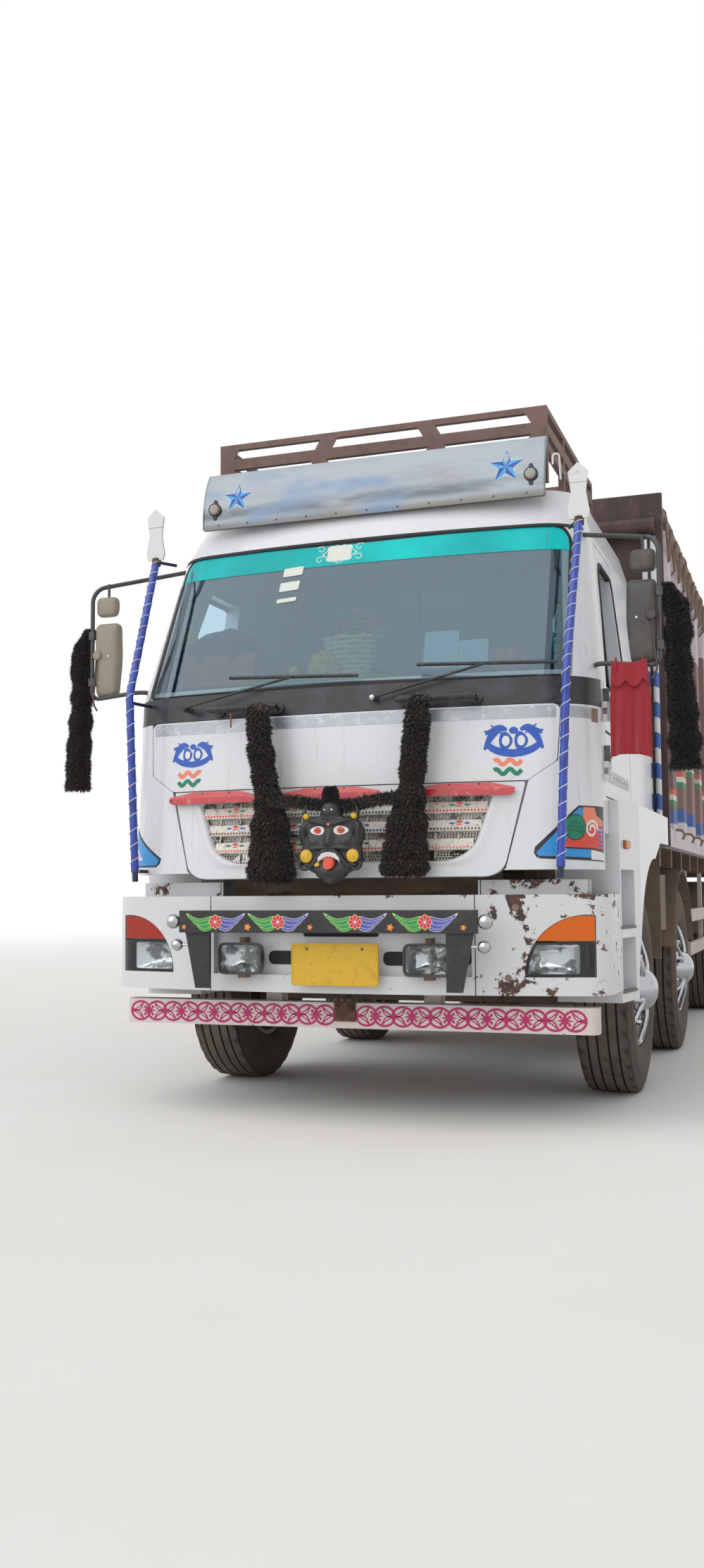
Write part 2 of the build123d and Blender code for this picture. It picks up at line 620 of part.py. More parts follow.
# Dashboard, steering wheel and seats
DASH_HALF_WIDTH = 1040
dash = side_plate([(240, 1500), (560, 1500), (600, 1800), (520, 1965), (240, 1965)],
                  (-DASH_HALF_WIDTH, DASH_HALF_WIDTH))
dash &= cab_form(CAB_WALL + SEAT)
parts["dashboard"] = dash
WHEEL_X = -480
wheel_plane = Plane(origin=(WHEEL_X, 745, 2010), z_dir=(0, 0.55, 0.84))
column = rod((WHEEL_X, 745, 2010), (WHEEL_X, 745 - 0.55 * 300, 2010 - 0.84 * 300), 32)
column -= dash
rim = wheel_plane * Torus(225, 15)
spokes = [wheel_plane * Box(440, 40, 14), wheel_plane * Cylinder(60, 40)]
parts["steering_wheel"] = joined([rim] + spokes + [column])
SEATS = ((-760, -230), (200, 800))
seat_shapes = []
for low_x, high_x in SEATS:
    base = block((low_x + 80, high_x - 80), (1050, 1450), (CAB_FLOOR_TOP, 1600))
    cushion = block((low_x, high_x), (980, 1500), (1600, 1740))
    backrest = side_plate([(1420, 1730), (1500, 1700), (1640, 2300), (1560, 2330)], (low_x, high_x))
    seat_shapes.append(joined([base, cushion, backrest]))
parts["seats"] = joined(seat_shapes)

# Bumper: a bowed shell with a long recess, lamp openings and arms to the frame
bumper_outer = extrude(rounded_plan(BUMPER_PLAN, 0), amount=BUMPER_TOP - BUMPER_BOTTOM)
bumper_inner = extrude(rounded_plan((*BUMPER_PLAN[:4], 900), BUMPER_WALL),
                       amount=BUMPER_TOP - BUMPER_BOTTOM)
bumper = Pos(0, 0, BUMPER_BOTTOM) * (bumper_outer - bumper_inner)
recess_tool = Pos(0, 0, BUMPER_BOTTOM) * (bumper_outer - extrude(
    rounded_plan(BUMPER_PLAN, BUMPER_RECESS), amount=BUMPER_TOP - BUMPER_BOTTOM))
bumper -= recess_tool & block((-RECESS_HALF_WIDTH, RECESS_HALF_WIDTH), (-100, 300),
                              (RECESS_BOTTOM, RECESS_TOP))


def lamp_face(gap, low, high):
    """The lamp's front outline within two heights, shrunk by the gap: level foot, curved brow."""
    foot = [(LAMP_INNER_X + gap, 0, LAMP_BOTTOM + gap), (LAMP_OUTER_X - gap, 0, LAMP_BOTTOM + gap)]
    brow = (LAMP_OUTER_X - gap, 0, LAMP_TOP - gap)
    mid = (LAMP_INNER_X + 105 + gap, 0, LAMP_TOP - 50 - gap)
    face = make_face([Line(*foot), Line(foot[1], brow), ThreePointArc(brow, mid, foot[0])])
    solid = extrude(face, amount=400, dir=(0, 1, 0))
    return (Pos(0, -50, 0) * solid) & block(EVERYWHERE, EVERYWHERE, (low, high))


for opening in both_sides(lamp_face(0, 0, 2000)):
    bumper -= opening & block(EVERYWHERE, (-100, 300), EVERYWHERE)
bumper_arms = both_sides(block((rail_inner_x, RAIL_OUTER_X), (BUMPER_WALL - 15, FRAME_FRONT),
                               (RECESS_TOP + 12, RAIL_TOP - 60)))
FLANGE = 10
UPSTAND_INSET = 110
UPSTAND_SHEET = 12
UPSTAND_TOP = 1075
UPSTAND_INNER_X = 620


def bumper_ring(outer, inner, low, high):
    """A ring of the bumper's plan between two insets and two heights."""
    ring = rounded_plan(BUMPER_PLAN, outer) - rounded_plan((*BUMPER_PLAN[:4], 900), inner)
    return Pos(0, 0, low) * extrude(ring, amount=high - low)


flange = bumper_ring(1, UPSTAND_INSET + UPSTAND_SHEET, BUMPER_TOP - FLANGE, BUMPER_TOP)
upstand = bumper_ring(UPSTAND_INSET, UPSTAND_INSET + UPSTAND_SHEET, BUMPER_TOP - 1, UPSTAND_TOP)
upstand -= block((-UPSTAND_INNER_X, UPSTAND_INNER_X), EVERYWHERE, EVERYWHERE)
parts["bumper"] = joined([bumper, flange, upstand] + bumper_arms)
lamp_skin = extrude(rounded_plan(BUMPER_PLAN, 6), amount=600)
lamp_skin -= extrude(rounded_plan(BUMPER_PLAN, BUMPER_WALL + LAMP_DEPTH), amount=600)
lamp_skin = Pos(0, 0, 500) * lamp_skin
clear_lamp = lamp_skin & lamp_face(SEAT, LAMP_BOTTOM, LAMP_SPLIT - 2)
amber_lamp = lamp_skin & lamp_face(SEAT, LAMP_SPLIT, LAMP_TOP)
FOG_X = (332, 547)
FOG_HEIGHT = (657, 801)
FOG_FRONT = -62
FOG_CORNER = 30
fog_lamp = rounded_plate([(FOG_X[0], FOG_HEIGHT[0]), (FOG_X[1], FOG_HEIGHT[0]),
                          (FOG_X[1], FOG_HEIGHT[1]), (FOG_X[0], FOG_HEIGHT[1])],
                         (FOG_FRONT, 200), FOG_CORNER)
fog_lamp -= Pos(0, 0, 500) * extrude(rounded_plan(BUMPER_PLAN, BUMPER_RECESS - SEAT), amount=600)
parts["headlamps"] = joined(both_sides(clear_lamp) + both_sides(fog_lamp))
parts["indicators"] = joined(both_sides(amber_lamp))

# Underrun bar on two brackets from the frame
underrun = block((-UNDERRUN_HALF_WIDTH, UNDERRUN_HALF_WIDTH),
                 (UNDERRUN_FRONT, UNDERRUN_FRONT + UNDERRUN_DEPTH), (UNDERRUN_BOTTOM, UNDERRUN_TOP))
underrun = fillet(underrun.edges().filter_by(Axis.Z).group_by(Axis.Y)[0], 40)
underrun_arms = both_sides(block((rail_inner_x, RAIL_OUTER_X), (FRAME_FRONT, FRAME_FRONT + 70),
                                 (UNDERRUN_TOP - 10, RAIL_BOTTOM)))
parts["underrun_bar"] = joined([underrun] + underrun_arms)

# Crest bar: a painted plate on two wedge brackets, with chrome balls at its ends
crest = block((-CREST_HALF_WIDTH, CREST_HALF_WIDTH),
              (CREST_STATION - CREST_PLATE / 2, CREST_STATION + CREST_PLATE / 2),
              (CREST_BOTTOM, CREST_TOP))
WEDGE_FRONT = CREST_STATION + CREST_PLATE / 2
WEDGE_SHEET = 14
WEDGE_FOOT = 600
WEDGE_HIGH_X = (550, 690)
WEDGE_LOW_X = 620
crest_wedge = front_plate([(WEDGE_HIGH_X[0], CREST_TOP), (WEDGE_HIGH_X[1], CREST_TOP),
                           (WEDGE_LOW_X, WEDGE_FOOT), (WEDGE_HIGH_X[0], WEDGE_FOOT)],
                          (WEDGE_FRONT, WEDGE_FRONT + WEDGE_SHEET))
crest_arm = block((WEDGE_HIGH_X[0] + 5, WEDGE_HIGH_X[0] + 60), (WEDGE_FRONT, 60), (880, 930))
crest_arm -= Pos(0, 0, BUMPER_BOTTOM) * extrude(rounded_plan(BUMPER_PLAN, -SEAT), amount=500)
parts["crest_bar"] = joined([crest] + both_sides(joined([crest_wedge, crest_arm])))
BALL_HEIGHT = (CREST_BOTTOM + CREST_TOP) / 2
LOW_BALL_X = 714
LOW_BALL_HEIGHT = 792
LOW_BALL_RADIUS = 28
ball = Pos(BALL_X, CREST_STATION, BALL_HEIGHT) * Sphere(BALL_RADIUS)
ball -= block((600, CREST_HALF_WIDTH + SEAT), EVERYWHERE, EVERYWHERE)
wedge_station = WEDGE_FRONT + WEDGE_SHEET / 2
low_ball = joined([Pos(LOW_BALL_X, wedge_station, LOW_BALL_HEIGHT) * Sphere(LOW_BALL_RADIUS),
                   rod((WEDGE_LOW_X, wedge_station, LOW_BALL_HEIGHT),
                       (LOW_BALL_X, wedge_station, LOW_BALL_HEIGHT), WEDGE_SHEET / 2 - 1)])
wedge_room = front_plate([(WEDGE_HIGH_X[0], CREST_TOP), (WEDGE_HIGH_X[1] + SEAT, CREST_TOP),
                          (WEDGE_LOW_X + SEAT, WEDGE_FOOT), (WEDGE_HIGH_X[0], WEDGE_FOOT)],
                         (WEDGE_FRONT - 10, WEDGE_FRONT + WEDGE_SHEET + 10))
low_ball -= wedge_room
parts["chrome_balls"] = joined(both_sides(ball) + both_sides(low_ball))

# Corner poles with marker plates, stood off the cab's corners
POLE_RADIUS = 14
POLE_POINTS = ((1013, 16, 1081), (1054, 22, 1972), (1072, 326, 2718))
pole = joined([rod(POLE_POINTS[0], POLE_POINTS[1], POLE_RADIUS),
               rod(POLE_POINTS[1], POLE_POINTS[2], POLE_RADIUS),
               Pos(*POLE_POINTS[1]) * Sphere(POLE_RADIUS + 2)])
stand_offs = []
for x, y, z in ((1014, 16, 1130), (1054, 22, 1940)):
    stand_offs.append(rod((x, y, z), (x - 30, y + 200, z), 8))
marker = front_plate([(1030, 2706), (1114, 2706), (1122, 2738), (1106, 2830), (1118, 2925),
                      (1072, 2968), (1026, 2925), (1038, 2830), (1022, 2738)], (310, 322))
marker_arm = rod((1070, 318, 2698), (1010, 420, 2698), 8)
pole_node = joined([pole, marker, marker_arm] + stand_offs) - seated_form
parts["corner_poles"] = joined(both_sides(pole_node))

# Name board, curved back at its top, on two feet on the roof
BOARD_HALF_WIDTH = 885
BOARD_THICKNESS = 24
board_face = make_face([
    ThreePointArc((480, 2883), (497, 3060), (560, 3194)),
    Line((560, 3194), (560 + BOARD_THICKNESS, 3194)),
    ThreePointArc((560 + BOARD_THICKNESS, 3194), (497 + BOARD_THICKNESS, 3060),
                  (480 + BOARD_THICKNESS, 2883)),
    Line((480 + BOARD_THICKNESS, 2883), (480, 2883)),
])
board = extrude(Plane.YZ * board_face, amount=2 * BOARD_HALF_WIDTH, dir=(1, 0, 0))
board = Pos(-BOARD_HALF_WIDTH, 0, 0) * board
board_feet = both_sides(side_plate([(515, 3070), (515, 3100), (700, 2962), (700, 2950),
                                    (610, 2950), (610, 2980)], (560, 600)))
parts["name_board"] = joined([board] + board_feet)

# Roof rack: a lattice of flat bars round a tray
RACK_HALF_WIDTH = 870
RACK_FRONT = 650
RACK_BACK = 2000
RACK_TOP = 3380
RACK_FLOOR = 3000
BAR = 30
RACK_RAILS = ((3160, 3205), (3245, 3300), (3350, RACK_TOP))
RACK_STATIONS = (RACK_FRONT, RACK_FRONT + 440, RACK_FRONT + 880, RACK_BACK - BAR)
RACK_UPRIGHTS = (-580, -290, 0, 290, 580)
RACK_FEET_X = (RACK_HALF_WIDTH - 60, RACK_HALF_WIDTH - 20)
GUSSET_X = 290
GUSSET_HALF = 46
GUSSET_LEAN = 30
GUSSET_SHEET = 8
rack_bars = []
for level in RACK_RAILS:
    for y in (RACK_FRONT, RACK_BACK - BAR):
        rack_bars.append(block((-RACK_HALF_WIDTH, RACK_HALF_WIDTH), (y, y + BAR), level))
    rack_bars += both_sides(block((RACK_HALF_WIDTH - BAR, RACK_HALF_WIDTH), (RACK_FRONT, RACK_BACK),
                                  level))
for y in RACK_STATIONS:
    rack_bars += both_sides(block((RACK_HALF_WIDTH - BAR, RACK_HALF_WIDTH), (y, y + BAR),
                                  (RACK_FLOOR, RACK_TOP)))
    rack_bars.append(block((-RACK_HALF_WIDTH, RACK_HALF_WIDTH), (y, y + BAR),
                           (RACK_FLOOR, RACK_FLOOR + BAR)))
    rack_bars += both_sides(block(RACK_FEET_X, (y, y + BAR), (ROOF_TOP, RACK_FLOOR)))
for x in RACK_UPRIGHTS:
    rack_bars.append(block((x - BAR / 2, x + BAR / 2), (RACK_BACK - BAR, RACK_BACK),
                           (RACK_FLOOR, RACK_TOP)))
    rack_bars.append(block((x - BAR / 2, x + BAR / 2), (RACK_FRONT, RACK_FRONT + BAR),
                           (RACK_FLOOR, RACK_RAILS[0][1])))
gusset_depth = (RACK_FRONT, RACK_FRONT + GUSSET_SHEET)
for low_rail, high_rail, lean in ((RACK_RAILS[0], RACK_RAILS[1], -GUSSET_LEAN),
                                  (RACK_RAILS[1], RACK_RAILS[2], GUSSET_LEAN)):
    low, high = low_rail[1] - 1, high_rail[0] + 1
    middle_gusset = front_plate([(-GUSSET_X - GUSSET_HALF, low), (-GUSSET_X + GUSSET_HALF, low),
                                 (-GUSSET_X + GUSSET_HALF + lean, high),
                                 (-GUSSET_X - GUSSET_HALF + lean, high)], gusset_depth)
    end_gusset = front_plate([(-RACK_HALF_WIDTH, low),
                              (-RACK_HALF_WIDTH + 2 * GUSSET_HALF - lean / 2, low),
                              (-RACK_HALF_WIDTH + 2 * GUSSET_HALF + lean / 2, high),
                              (-RACK_HALF_WIDTH, high)], gusset_depth)
    rack_bars += both_sides(middle_gusset) + both_sides(end_gusset)
parts["roof_rack"] = joined(rack_bars)

# Mirrors on bent tube arms, one each side
ARM_RADIUS = 11
ELBOW_RADIUS = ARM_RADIUS + 2
ARM_X = 1424
ARM_STATION = 300
arm_points = ((1000, 640, 2722), (ARM_X, ARM_STATION, 2580), (ARM_X, ARM_STATION, 2010),
              (1150, ARM_STATION, 2036), (1090, 430, 2036))
arm = [rod(a, b, ARM_RADIUS) for a, b in zip(arm_points, arm_points[1:])]
arm += [Pos(*point) * Sphere(ELBOW_RADIUS) for point in arm_points[1:4]]
HEAD_EDGE = 10
mirror_head = rounded_plate([(1300, 2022), (1424, 2022), (1424, 2400), (1280, 2400), (1280, 2210)],
                            (ARM_STATION, ARM_STATION + 52), 18)
mirror_head = fillet(mirror_head.edges().group_by(Axis.Y)[0], HEAD_EDGE)
spot_head = rounded_plate([(1290, 2440), (1410, 2440), (1410, 2540), (1290, 2540)],
                          (ARM_STATION, ARM_STATION + 45), 18)
spotter = joined([fillet(spot_head.edges().group_by(Axis.Y)[0], HEAD_EDGE),
                  rod((1350, 335, 2530), (1350, 335, 2610), 7)])
parts["mirrors"] = joined(both_sides(joined(arm + [mirror_head, spotter]) - seated_form))

# Wipers parked level over the cowl
WIPERS = ((-780, 1900, -556, 2038, 87, 2013), (170, 1900, 369, 2044, 1004, 2018))
wiper_shapes = []
for pivot_x, pivot_z, low_x, low_z, tip_x, tip_z in WIPERS:
    pivot = rod((pivot_x, 40, pivot_z), (pivot_x, 140, pivot_z), 14)
    arm_bar = rod((pivot_x, 45, pivot_z), ((low_x + tip_x) / 2, 80, (low_z + tip_z) / 2), 6)
    blade = rod((low_x, 85, low_z), (tip_x, 85, tip_z), 8)
    wiper_shapes.append(joined([pivot, arm_bar, blade]) - seated_form)
parts["wipers"] = joined(wiper_shapes)

# Arch panels: step boxes in front of the first wheel, and the arch over it
ARCH_CENTRE = (1450, 530)
ARCH_RADIUS = 660
ARCH_FRONT = BUMPER_PLAN[4] + SWING_GAP
ARCH_PLAN = [(900, ARCH_FRONT), (1195, ARCH_FRONT), (1240, 850), (1240, 2110), (900, 2110)]
arch_side = [(ARCH_FRONT, 520), (1450, 520), (1450, 1180), (1720, 1280), (2110, 1280),
             (2110, 1435), (ARCH_FRONT, 1435)]
arch = side_plate(arch_side, (900, 1300)) & plan_plate(ARCH_PLAN, (500, 1500))
arch_cut = rod((800, *ARCH_CENTRE), (1300, *ARCH_CENTRE), ARCH_RADIUS)
arch -= arch_cut
inside = block((0, 1205), (760, 3000), (0, 1400))
liner = rod((860, *ARCH_CENTRE), (1206, *ARCH_CENTRE), ARCH_RADIUS + 15) - arch_cut
liner &= block(EVERYWHERE, (700, 1500), (800, 1300))
arch -= inside
arch -= block((0, CAB_LEVELS[0][1] + SEAT), (0, 2200), (CAB_FLOOR_BOTTOM - SEAT, 1500))
for low, high in ((570, 810), (860, 1120)):
    arch -= block((1060, 1300), (510, 740), (low, high))
arch_arm = rod((RAIL_OUTER_X, 600, 960), (910, 600, 960), 22)
parts["arch_panels"] = joined(both_sides(joined([arch, liner, arch_arm])))

# Guards over the second axle and the twin axles
def guard(station, radius, x, spread):
    """A bent sheet over a wheel, with two stays to the rail."""
    centre = (station, TYRE_RADIUS)
    sheet = rod((x[0], *centre), (x[1], *centre), radius + GUARD_SHEET)
    sheet -= rod((x[0] - 1, *centre), (x[1] + 1, *centre), radius)
    sheet &= block(EVERYWHERE, EVERYWHERE, (TYRE_RADIUS + radius * sin(radians(spread)), 2000))
    stays = []
    for side in (-1, 1):
        y = station + side * (radius + GUARD_SHEET / 2) * cos(radians(45))
        z = TYRE_RADIUS + (radius + GUARD_SHEET / 2) * sin(radians(45))
        stays.append(rod((RAIL_OUTER_X, y, z), (x[1] - 20, y, z), 12))
    return joined([sheet] + stays)


parts["front_mudguards"] = joined(both_sides(guard(AXLE_2, FRONT_GUARD_RADIUS, (KINGPIN_X, 1190), 15)))
rear_guards = []
for station in TWIN_AXLES:
    rear_guards += both_sides(guard(station, 575, (575, 1200), 15))
parts["rear_mudguards"] = joined(rear_guards)

# Load floor with its cross bearers and long sills on the rails
sills = both_sides(block((rail_inner_x, RAIL_OUTER_X), (BODY_FRONT, FRAME_BACK),
                         (RAIL_TOP, BEARER_BOTTOM)))
floor = block((-BODY_INNER_X, BODY_INNER_X), (BODY_FRONT + BODY_WALL, BODY_BACK),
              (BODY_BOTTOM, BODY_BOTTOM + FLOOR_THICKNESS))
bearer_stations = []
station = BODY_FRONT + BODY_WALL + 20
while station + BEARER_DEPTH <= BODY_BACK:
    bearer_stations.append(station)
    station += RIB_PITCH
bearers = [block((-BODY_INNER_X, BODY_INNER_X), (y, y + BEARER_DEPTH), (BEARER_BOTTOM, BODY_BOTTOM))
           for y in bearer_stations]
tail_lugs = []
for x in TAIL_KNUCKLES:
    for side in (-1, 1):
        low_x = x + side * (TAIL_KNUCKLE + 3) - TAIL_KNUCKLE / 2
        across = (low_x, low_x + TAIL_KNUCKLE)
        tail_lugs.append(block(across, (BODY_BACK - 200, TAIL_HINGE_STATION),
                               (TAIL_HINGE_Z - 15, BODY_BOTTOM)))
        tail_lugs.append(rod((across[0], TAIL_HINGE_STATION, TAIL_HINGE_Z),
                             (across[1], TAIL_HINGE_STATION, TAIL_HINGE_Z), TAIL_BARREL))
    tail_lugs.append(rod((x - TAIL_KNUCKLE, TAIL_HINGE_STATION, TAIL_HINGE_Z),
                         (x + TAIL_KNUCKLE, TAIL_HINGE_STATION, TAIL_HINGE_Z), TAIL_PIN))
parts["bed_floor"] = joined(sills + [floor] + bearers + tail_lugs)

# Load sides: ribbed sheet between a top rail and the floor's edge
valley_x = BODY_HALF_WIDTH - RIB_DEPTH
side_plan = [(BODY_INNER_X, BODY_FRONT + BODY_WALL)]
station = BODY_FRONT + BODY_WALL
side_plan.append((valley_x, station))
while station + RIB_PITCH <= BODY_BACK:
    start = station + (RIB_PITCH - RIB_WIDTH) / 2
    side_plan += [(valley_x, start), (BODY_HALF_WIDTH, start + RIB_SLOPE),
                  (BODY_HALF_WIDTH, start + RIB_WIDTH - RIB_SLOPE), (valley_x, start + RIB_WIDTH)]
    station += RIB_PITCH
side_plan += [(valley_x, BODY_BACK), (BODY_INNER_X, BODY_BACK)]
side = plan_plate(side_plan, (BODY_BOTTOM, BODY_TOP - TOP_RAIL))
top_rail = block((BODY_INNER_X, BODY_HALF_WIDTH), (BODY_FRONT + BODY_WALL, BODY_BACK),
                 (BODY_TOP - TOP_RAIL, BODY_TOP))
foot_rail = block((BODY_INNER_X, BODY_HALF_WIDTH), (BODY_FRONT + BODY_WALL, BODY_BACK),
                  (BODY_BOTTOM, BODY_BOTTOM + 110))
post = block((BODY_INNER_X, BODY_HALF_WIDTH), (BODY_BACK - 90, BODY_BACK), (BODY_BOTTOM, BODY_TOP))
side = joined([side, top_rail, foot_rail, post])

rear_fixed = []
rear_swinging = []
for height in REAR_DOOR_HINGES:
    for place in (-1, 0, 1):
        low = height + place * 51 - 25
        high = low + 50
        axis = (REAR_DOOR_HINGE_X, TAIL_HINGE_STATION)
        barrel = rod((*axis, low), (*axis, high), 16)
        if place == 0:
            arm = block((REAR_DOOR_HINGE_X - 70, REAR_DOOR_HINGE_X),
                        (TAIL_HINGE_STATION - 12, TAIL_HINGE_STATION + 4), (low, high))
            hole = rod((*axis, low - 1), (*axis, high + 1), 8 + RUNNING_FIT)
            rear_swinging.append(joined([barrel, arm]) - hole)
        else:
            arm = block((REAR_DOOR_HINGE_X - 8, REAR_DOOR_HINGE_X + 8),
                        (BODY_BACK - 10, TAIL_HINGE_STATION), (low, high))
            rear_fixed.append(joined([barrel, arm]))
    rear_fixed.append(rod((*axis, height - 76), (*axis, height + 76), 8))
side = joined([side] + rear_fixed)
parts["bed_sides"] = joined(both_sides(side))

# Front wall of the load body, with the dark shelf at its top
SHELF_DEPTH = 80
front_wall = block((-BODY_HALF_WIDTH, BODY_HALF_WIDTH), (BODY_FRONT, BODY_FRONT + BODY_WALL),
                   (BODY_BOTTOM, FRONT_WALL_TOP))
shelf_x = BODY_HALF_WIDTH - 40
shelf = block((-shelf_x, shelf_x), (BODY_FRONT - SHELF_DEPTH, BODY_FRONT), (3150, 3250))
shelf = fillet(shelf.edges().filter_by(Axis.X).group_by(Axis.Y)[0], 40)
parts["bed_front_wall"] = joined([front_wall, shelf])

# Striped poles on the front wall
pole_shapes = []
for x in (1125, 1175):
    upright = rod((x, 2300, 1380), (x, 2300, 3120), 17)
    clips = [rod((x, 2300, z), (x, BODY_FRONT, z), 7) for z in (1500, 2250, 3000)]
    pole_shapes += both_sides(joined([upright] + clips))
parts["stripe_poles"] = joined(pole_shapes)

# Tailboard, hinged at its foot, and the two upper doors
tail_y = (BODY_BACK + SWING_GAP, BODY_BACK + SWING_GAP + TAIL_THICKNESS)
board_bottom = BODY_BOTTOM + 12
tailboard = block((-BODY_HALF_WIDTH + 30, BODY_HALF_WIDTH - 30), tail_y, (board_bottom, TAIL_SPLIT))
tail_swinging = []
for x in TAIL_KNUCKLES:
    across = (x - TAIL_KNUCKLE / 2, x + TAIL_KNUCKLE / 2)
    barrel = rod((across[0], TAIL_HINGE_STATION, TAIL_HINGE_Z),
                 (across[1], TAIL_HINGE_STATION, TAIL_HINGE_Z), TAIL_BARREL)
    arm = block(across, (TAIL_HINGE_STATION - 10, TAIL_HINGE_STATION + 1),
                (TAIL_HINGE_Z, board_bottom + 20))
    hole = rod((across[0] - 1, TAIL_HINGE_STATION, TAIL_HINGE_Z),
               (across[1] + 1, TAIL_HINGE_STATION, TAIL_HINGE_Z), TAIL_PIN + RUNNING_FIT)
    tail_swinging.append(joined([barrel, arm]) - hole)
TAIL_RIB = 18
TAIL_RIB_WIDTH = 70
rib_y = (tail_y[1] - 1, tail_y[1] + TAIL_RIB)
tail_ribs = [block((-BODY_HALF_WIDTH + 60, BODY_HALF_WIDTH - 60), rib_y, (z, z + TAIL_RIB_WIDTH))
             for z in (board_bottom + 40, TAIL_SPLIT - 40 - TAIL_RIB_WIDTH)]
for x in (-1000, -600, -200, 200, 600, 1000):
    tail_ribs.append(block((x - TAIL_RIB_WIDTH / 2, x + TAIL_RIB_WIDTH / 2), rib_y,
                           (board_bottom + 41, TAIL_SPLIT - 41)))
parts["tailboard"] = joined([tailboard] + tail_ribs + tail_swinging)
rear_leaf = block((TAIL_GAP / 2, BODY_HALF_WIDTH - 60), tail_y, (TAIL_SPLIT + TAIL_GAP, BODY_TOP - 20))
leaf_ribs = [block((60, BODY_HALF_WIDTH - 160), rib_y, (z, z + TAIL_RIB_WIDTH))
             for z in (TAIL_SPLIT + 60, (TAIL_SPLIT + BODY_TOP) / 2, BODY_TOP - 150)]
LOCK_BAR = 9
lock_y = tail_y[1] + LOCK_BAR - 3
lock_bar = rod((120, lock_y, TAIL_SPLIT + 20), (120, lock_y, BODY_TOP - 40), LOCK_BAR)
rear_leaf = joined([rear_leaf, lock_bar] + leaf_ribs)
rear_leaf = joined([rear_leaf] + rear_swinging)
parts["rear_door_left"] = rear_leaf
parts["rear_door_right"] = mirror(rear_leaf, about=Plane.YZ)

# Side guards between the axles, and the rear underrun bumper
SIDE_GUARD_FRONT = AXLE_2 + FRONT_GUARD_RADIUS + 228
SIDE_GUARD_BACK = 5820
SIDE_GUARD_BOTTOM = 560
rails = [block((SIDE_GUARD_X, SIDE_GUARD_X + 30), (SIDE_GUARD_FRONT, SIDE_GUARD_BACK), (z, z + 90))
         for z in (SIDE_GUARD_BOTTOM, SIDE_GUARD_BOTTOM + 240)]
carried = [y for y in bearer_stations if SIDE_GUARD_FRONT < y < SIDE_GUARD_BACK - BEARER_DEPTH]
posts = [block((SIDE_GUARD_X - 30, SIDE_GUARD_X + 1), (y + 10, y + 60),
               (SIDE_GUARD_BOTTOM, BEARER_BOTTOM)) for y in (carried[0], carried[-1])]
parts["side_guards"] = joined(both_sides(joined(rails + posts)))
rear_bar = block((-1150, 1150), (FRAME_BACK - 80, FRAME_BACK), (450, 570))
rear_legs = both_sides(block((rail_inner_x, RAIL_OUTER_X), (FRAME_BACK - 70, FRAME_BACK - 10),
                             (560, RAIL_BOTTOM)))
parts["rear_bumper"] = joined([rear_bar] + rear_legs)

# Soft decorations: garlands, mask and red cloth
tie_z = HANDLE_Z - HANDLE_RADIUS - SEAT
GARLAND_DEPTH = (-100, 24)
garland_one = front_plate([(-400, tie_z), (-340, tie_z), (-300, 1450), (-148, 1080), (-435, 1080),
                            (-410, 1450)], GARLAND_DEPTH)
garland_two = front_plate([(370, tie_z), (430, tie_z), (440, 1450), (471, 1110), (210, 1110),
                             (330, 1450)], GARLAND_DEPTH)
hang_x = ARM_X + ELBOW_RADIUS + SEAT
fringe = block((-310, 340), (-109.7, -50), (1395, 1450))
parts["garlands"] = joined([joined([garland_one, garland_two, fringe])] + both_sides(
    front_plate([(hang_x, 2385), (hang_x + 40, 2385), (1510, 1900), (1590, 1545), (1310, 1545),
                 (1400, 1960), (hang_x, 1990)], (292, 352))))
parts["mask"] = front_plate([(-100, 1500), (120, 1500), (177, 1330), (90, 1060), (18, 1040),
                             (-60, 1060), (-141, 1330)], (-130, -110))
cloth_back = ARM_STATION - ARM_RADIUS - SEAT
parts["red_cloth"] = front_plate([(1197, 2045), (1211, 2045), (1211, 1926), (1363, 1926),
                                  (1363, 2028), (1377, 2028), (1377, 1610), (1197, 1610)],
                                 (cloth_back - 9, cloth_back))


# Knuckles, wheels and tyres
def knuckle(station):
    """A fork round the kingpin, its plate and its stub, on the left side."""
    axis = (KINGPIN_X, station)
    plate_x = KINGPIN_X + AXLE_EYE_RADIUS + FORK_PLATE_GAP
    shapes = [block((plate_x, plate_x + FORK_PLATE), (station - FORK_RADIUS, station + FORK_RADIUS),
                    (TYRE_RADIUS - KINGPIN_HALF_HEIGHT, TYRE_RADIUS + KINGPIN_HALF_HEIGHT))]
    for side in (-1, 1):
        inner = TYRE_RADIUS + side * (AXLE_EYE_HALF_HEIGHT + END_PLAY)
        tip = TYRE_RADIUS + side * KINGPIN_HALF_HEIGHT
        low, high = sorted((inner, tip))
        lug = joined([rod((*axis, low), (*axis, high), FORK_RADIUS),
                      block((KINGPIN_X, plate_x + 1), (station - FORK_RADIUS, station + FORK_RADIUS),
                            (low, high))])
        shapes.append(lug - rod((*axis, low - 1), (*axis, high + 1), KINGPIN_RADIUS + RUNNING_FIT))
    shapes.append(rod((plate_x, station, TYRE_RADIUS), (STUB_TIP_X, station, TYRE_RADIUS),
                      STUB_RADIUS))
    return joined(shapes)


def tyre(centre_x):
    bead = RIM_RADIUS + SEAT
    shoulder = TYRE_RADIUS - SHOULDER_DROP
    ring = turned([(-BEAD_WIDTH / 2, bead), (-TYRE_WIDTH / 2, shoulder),
                   (-TREAD_WIDTH / 2, TYRE_RADIUS), (TREAD_WIDTH / 2, TYRE_RADIUS),
                   (TYRE_WIDTH / 2, shoulder), (BEAD_WIDTH / 2, bead)])
    return Pos(centre_x, 0, 0) * ring


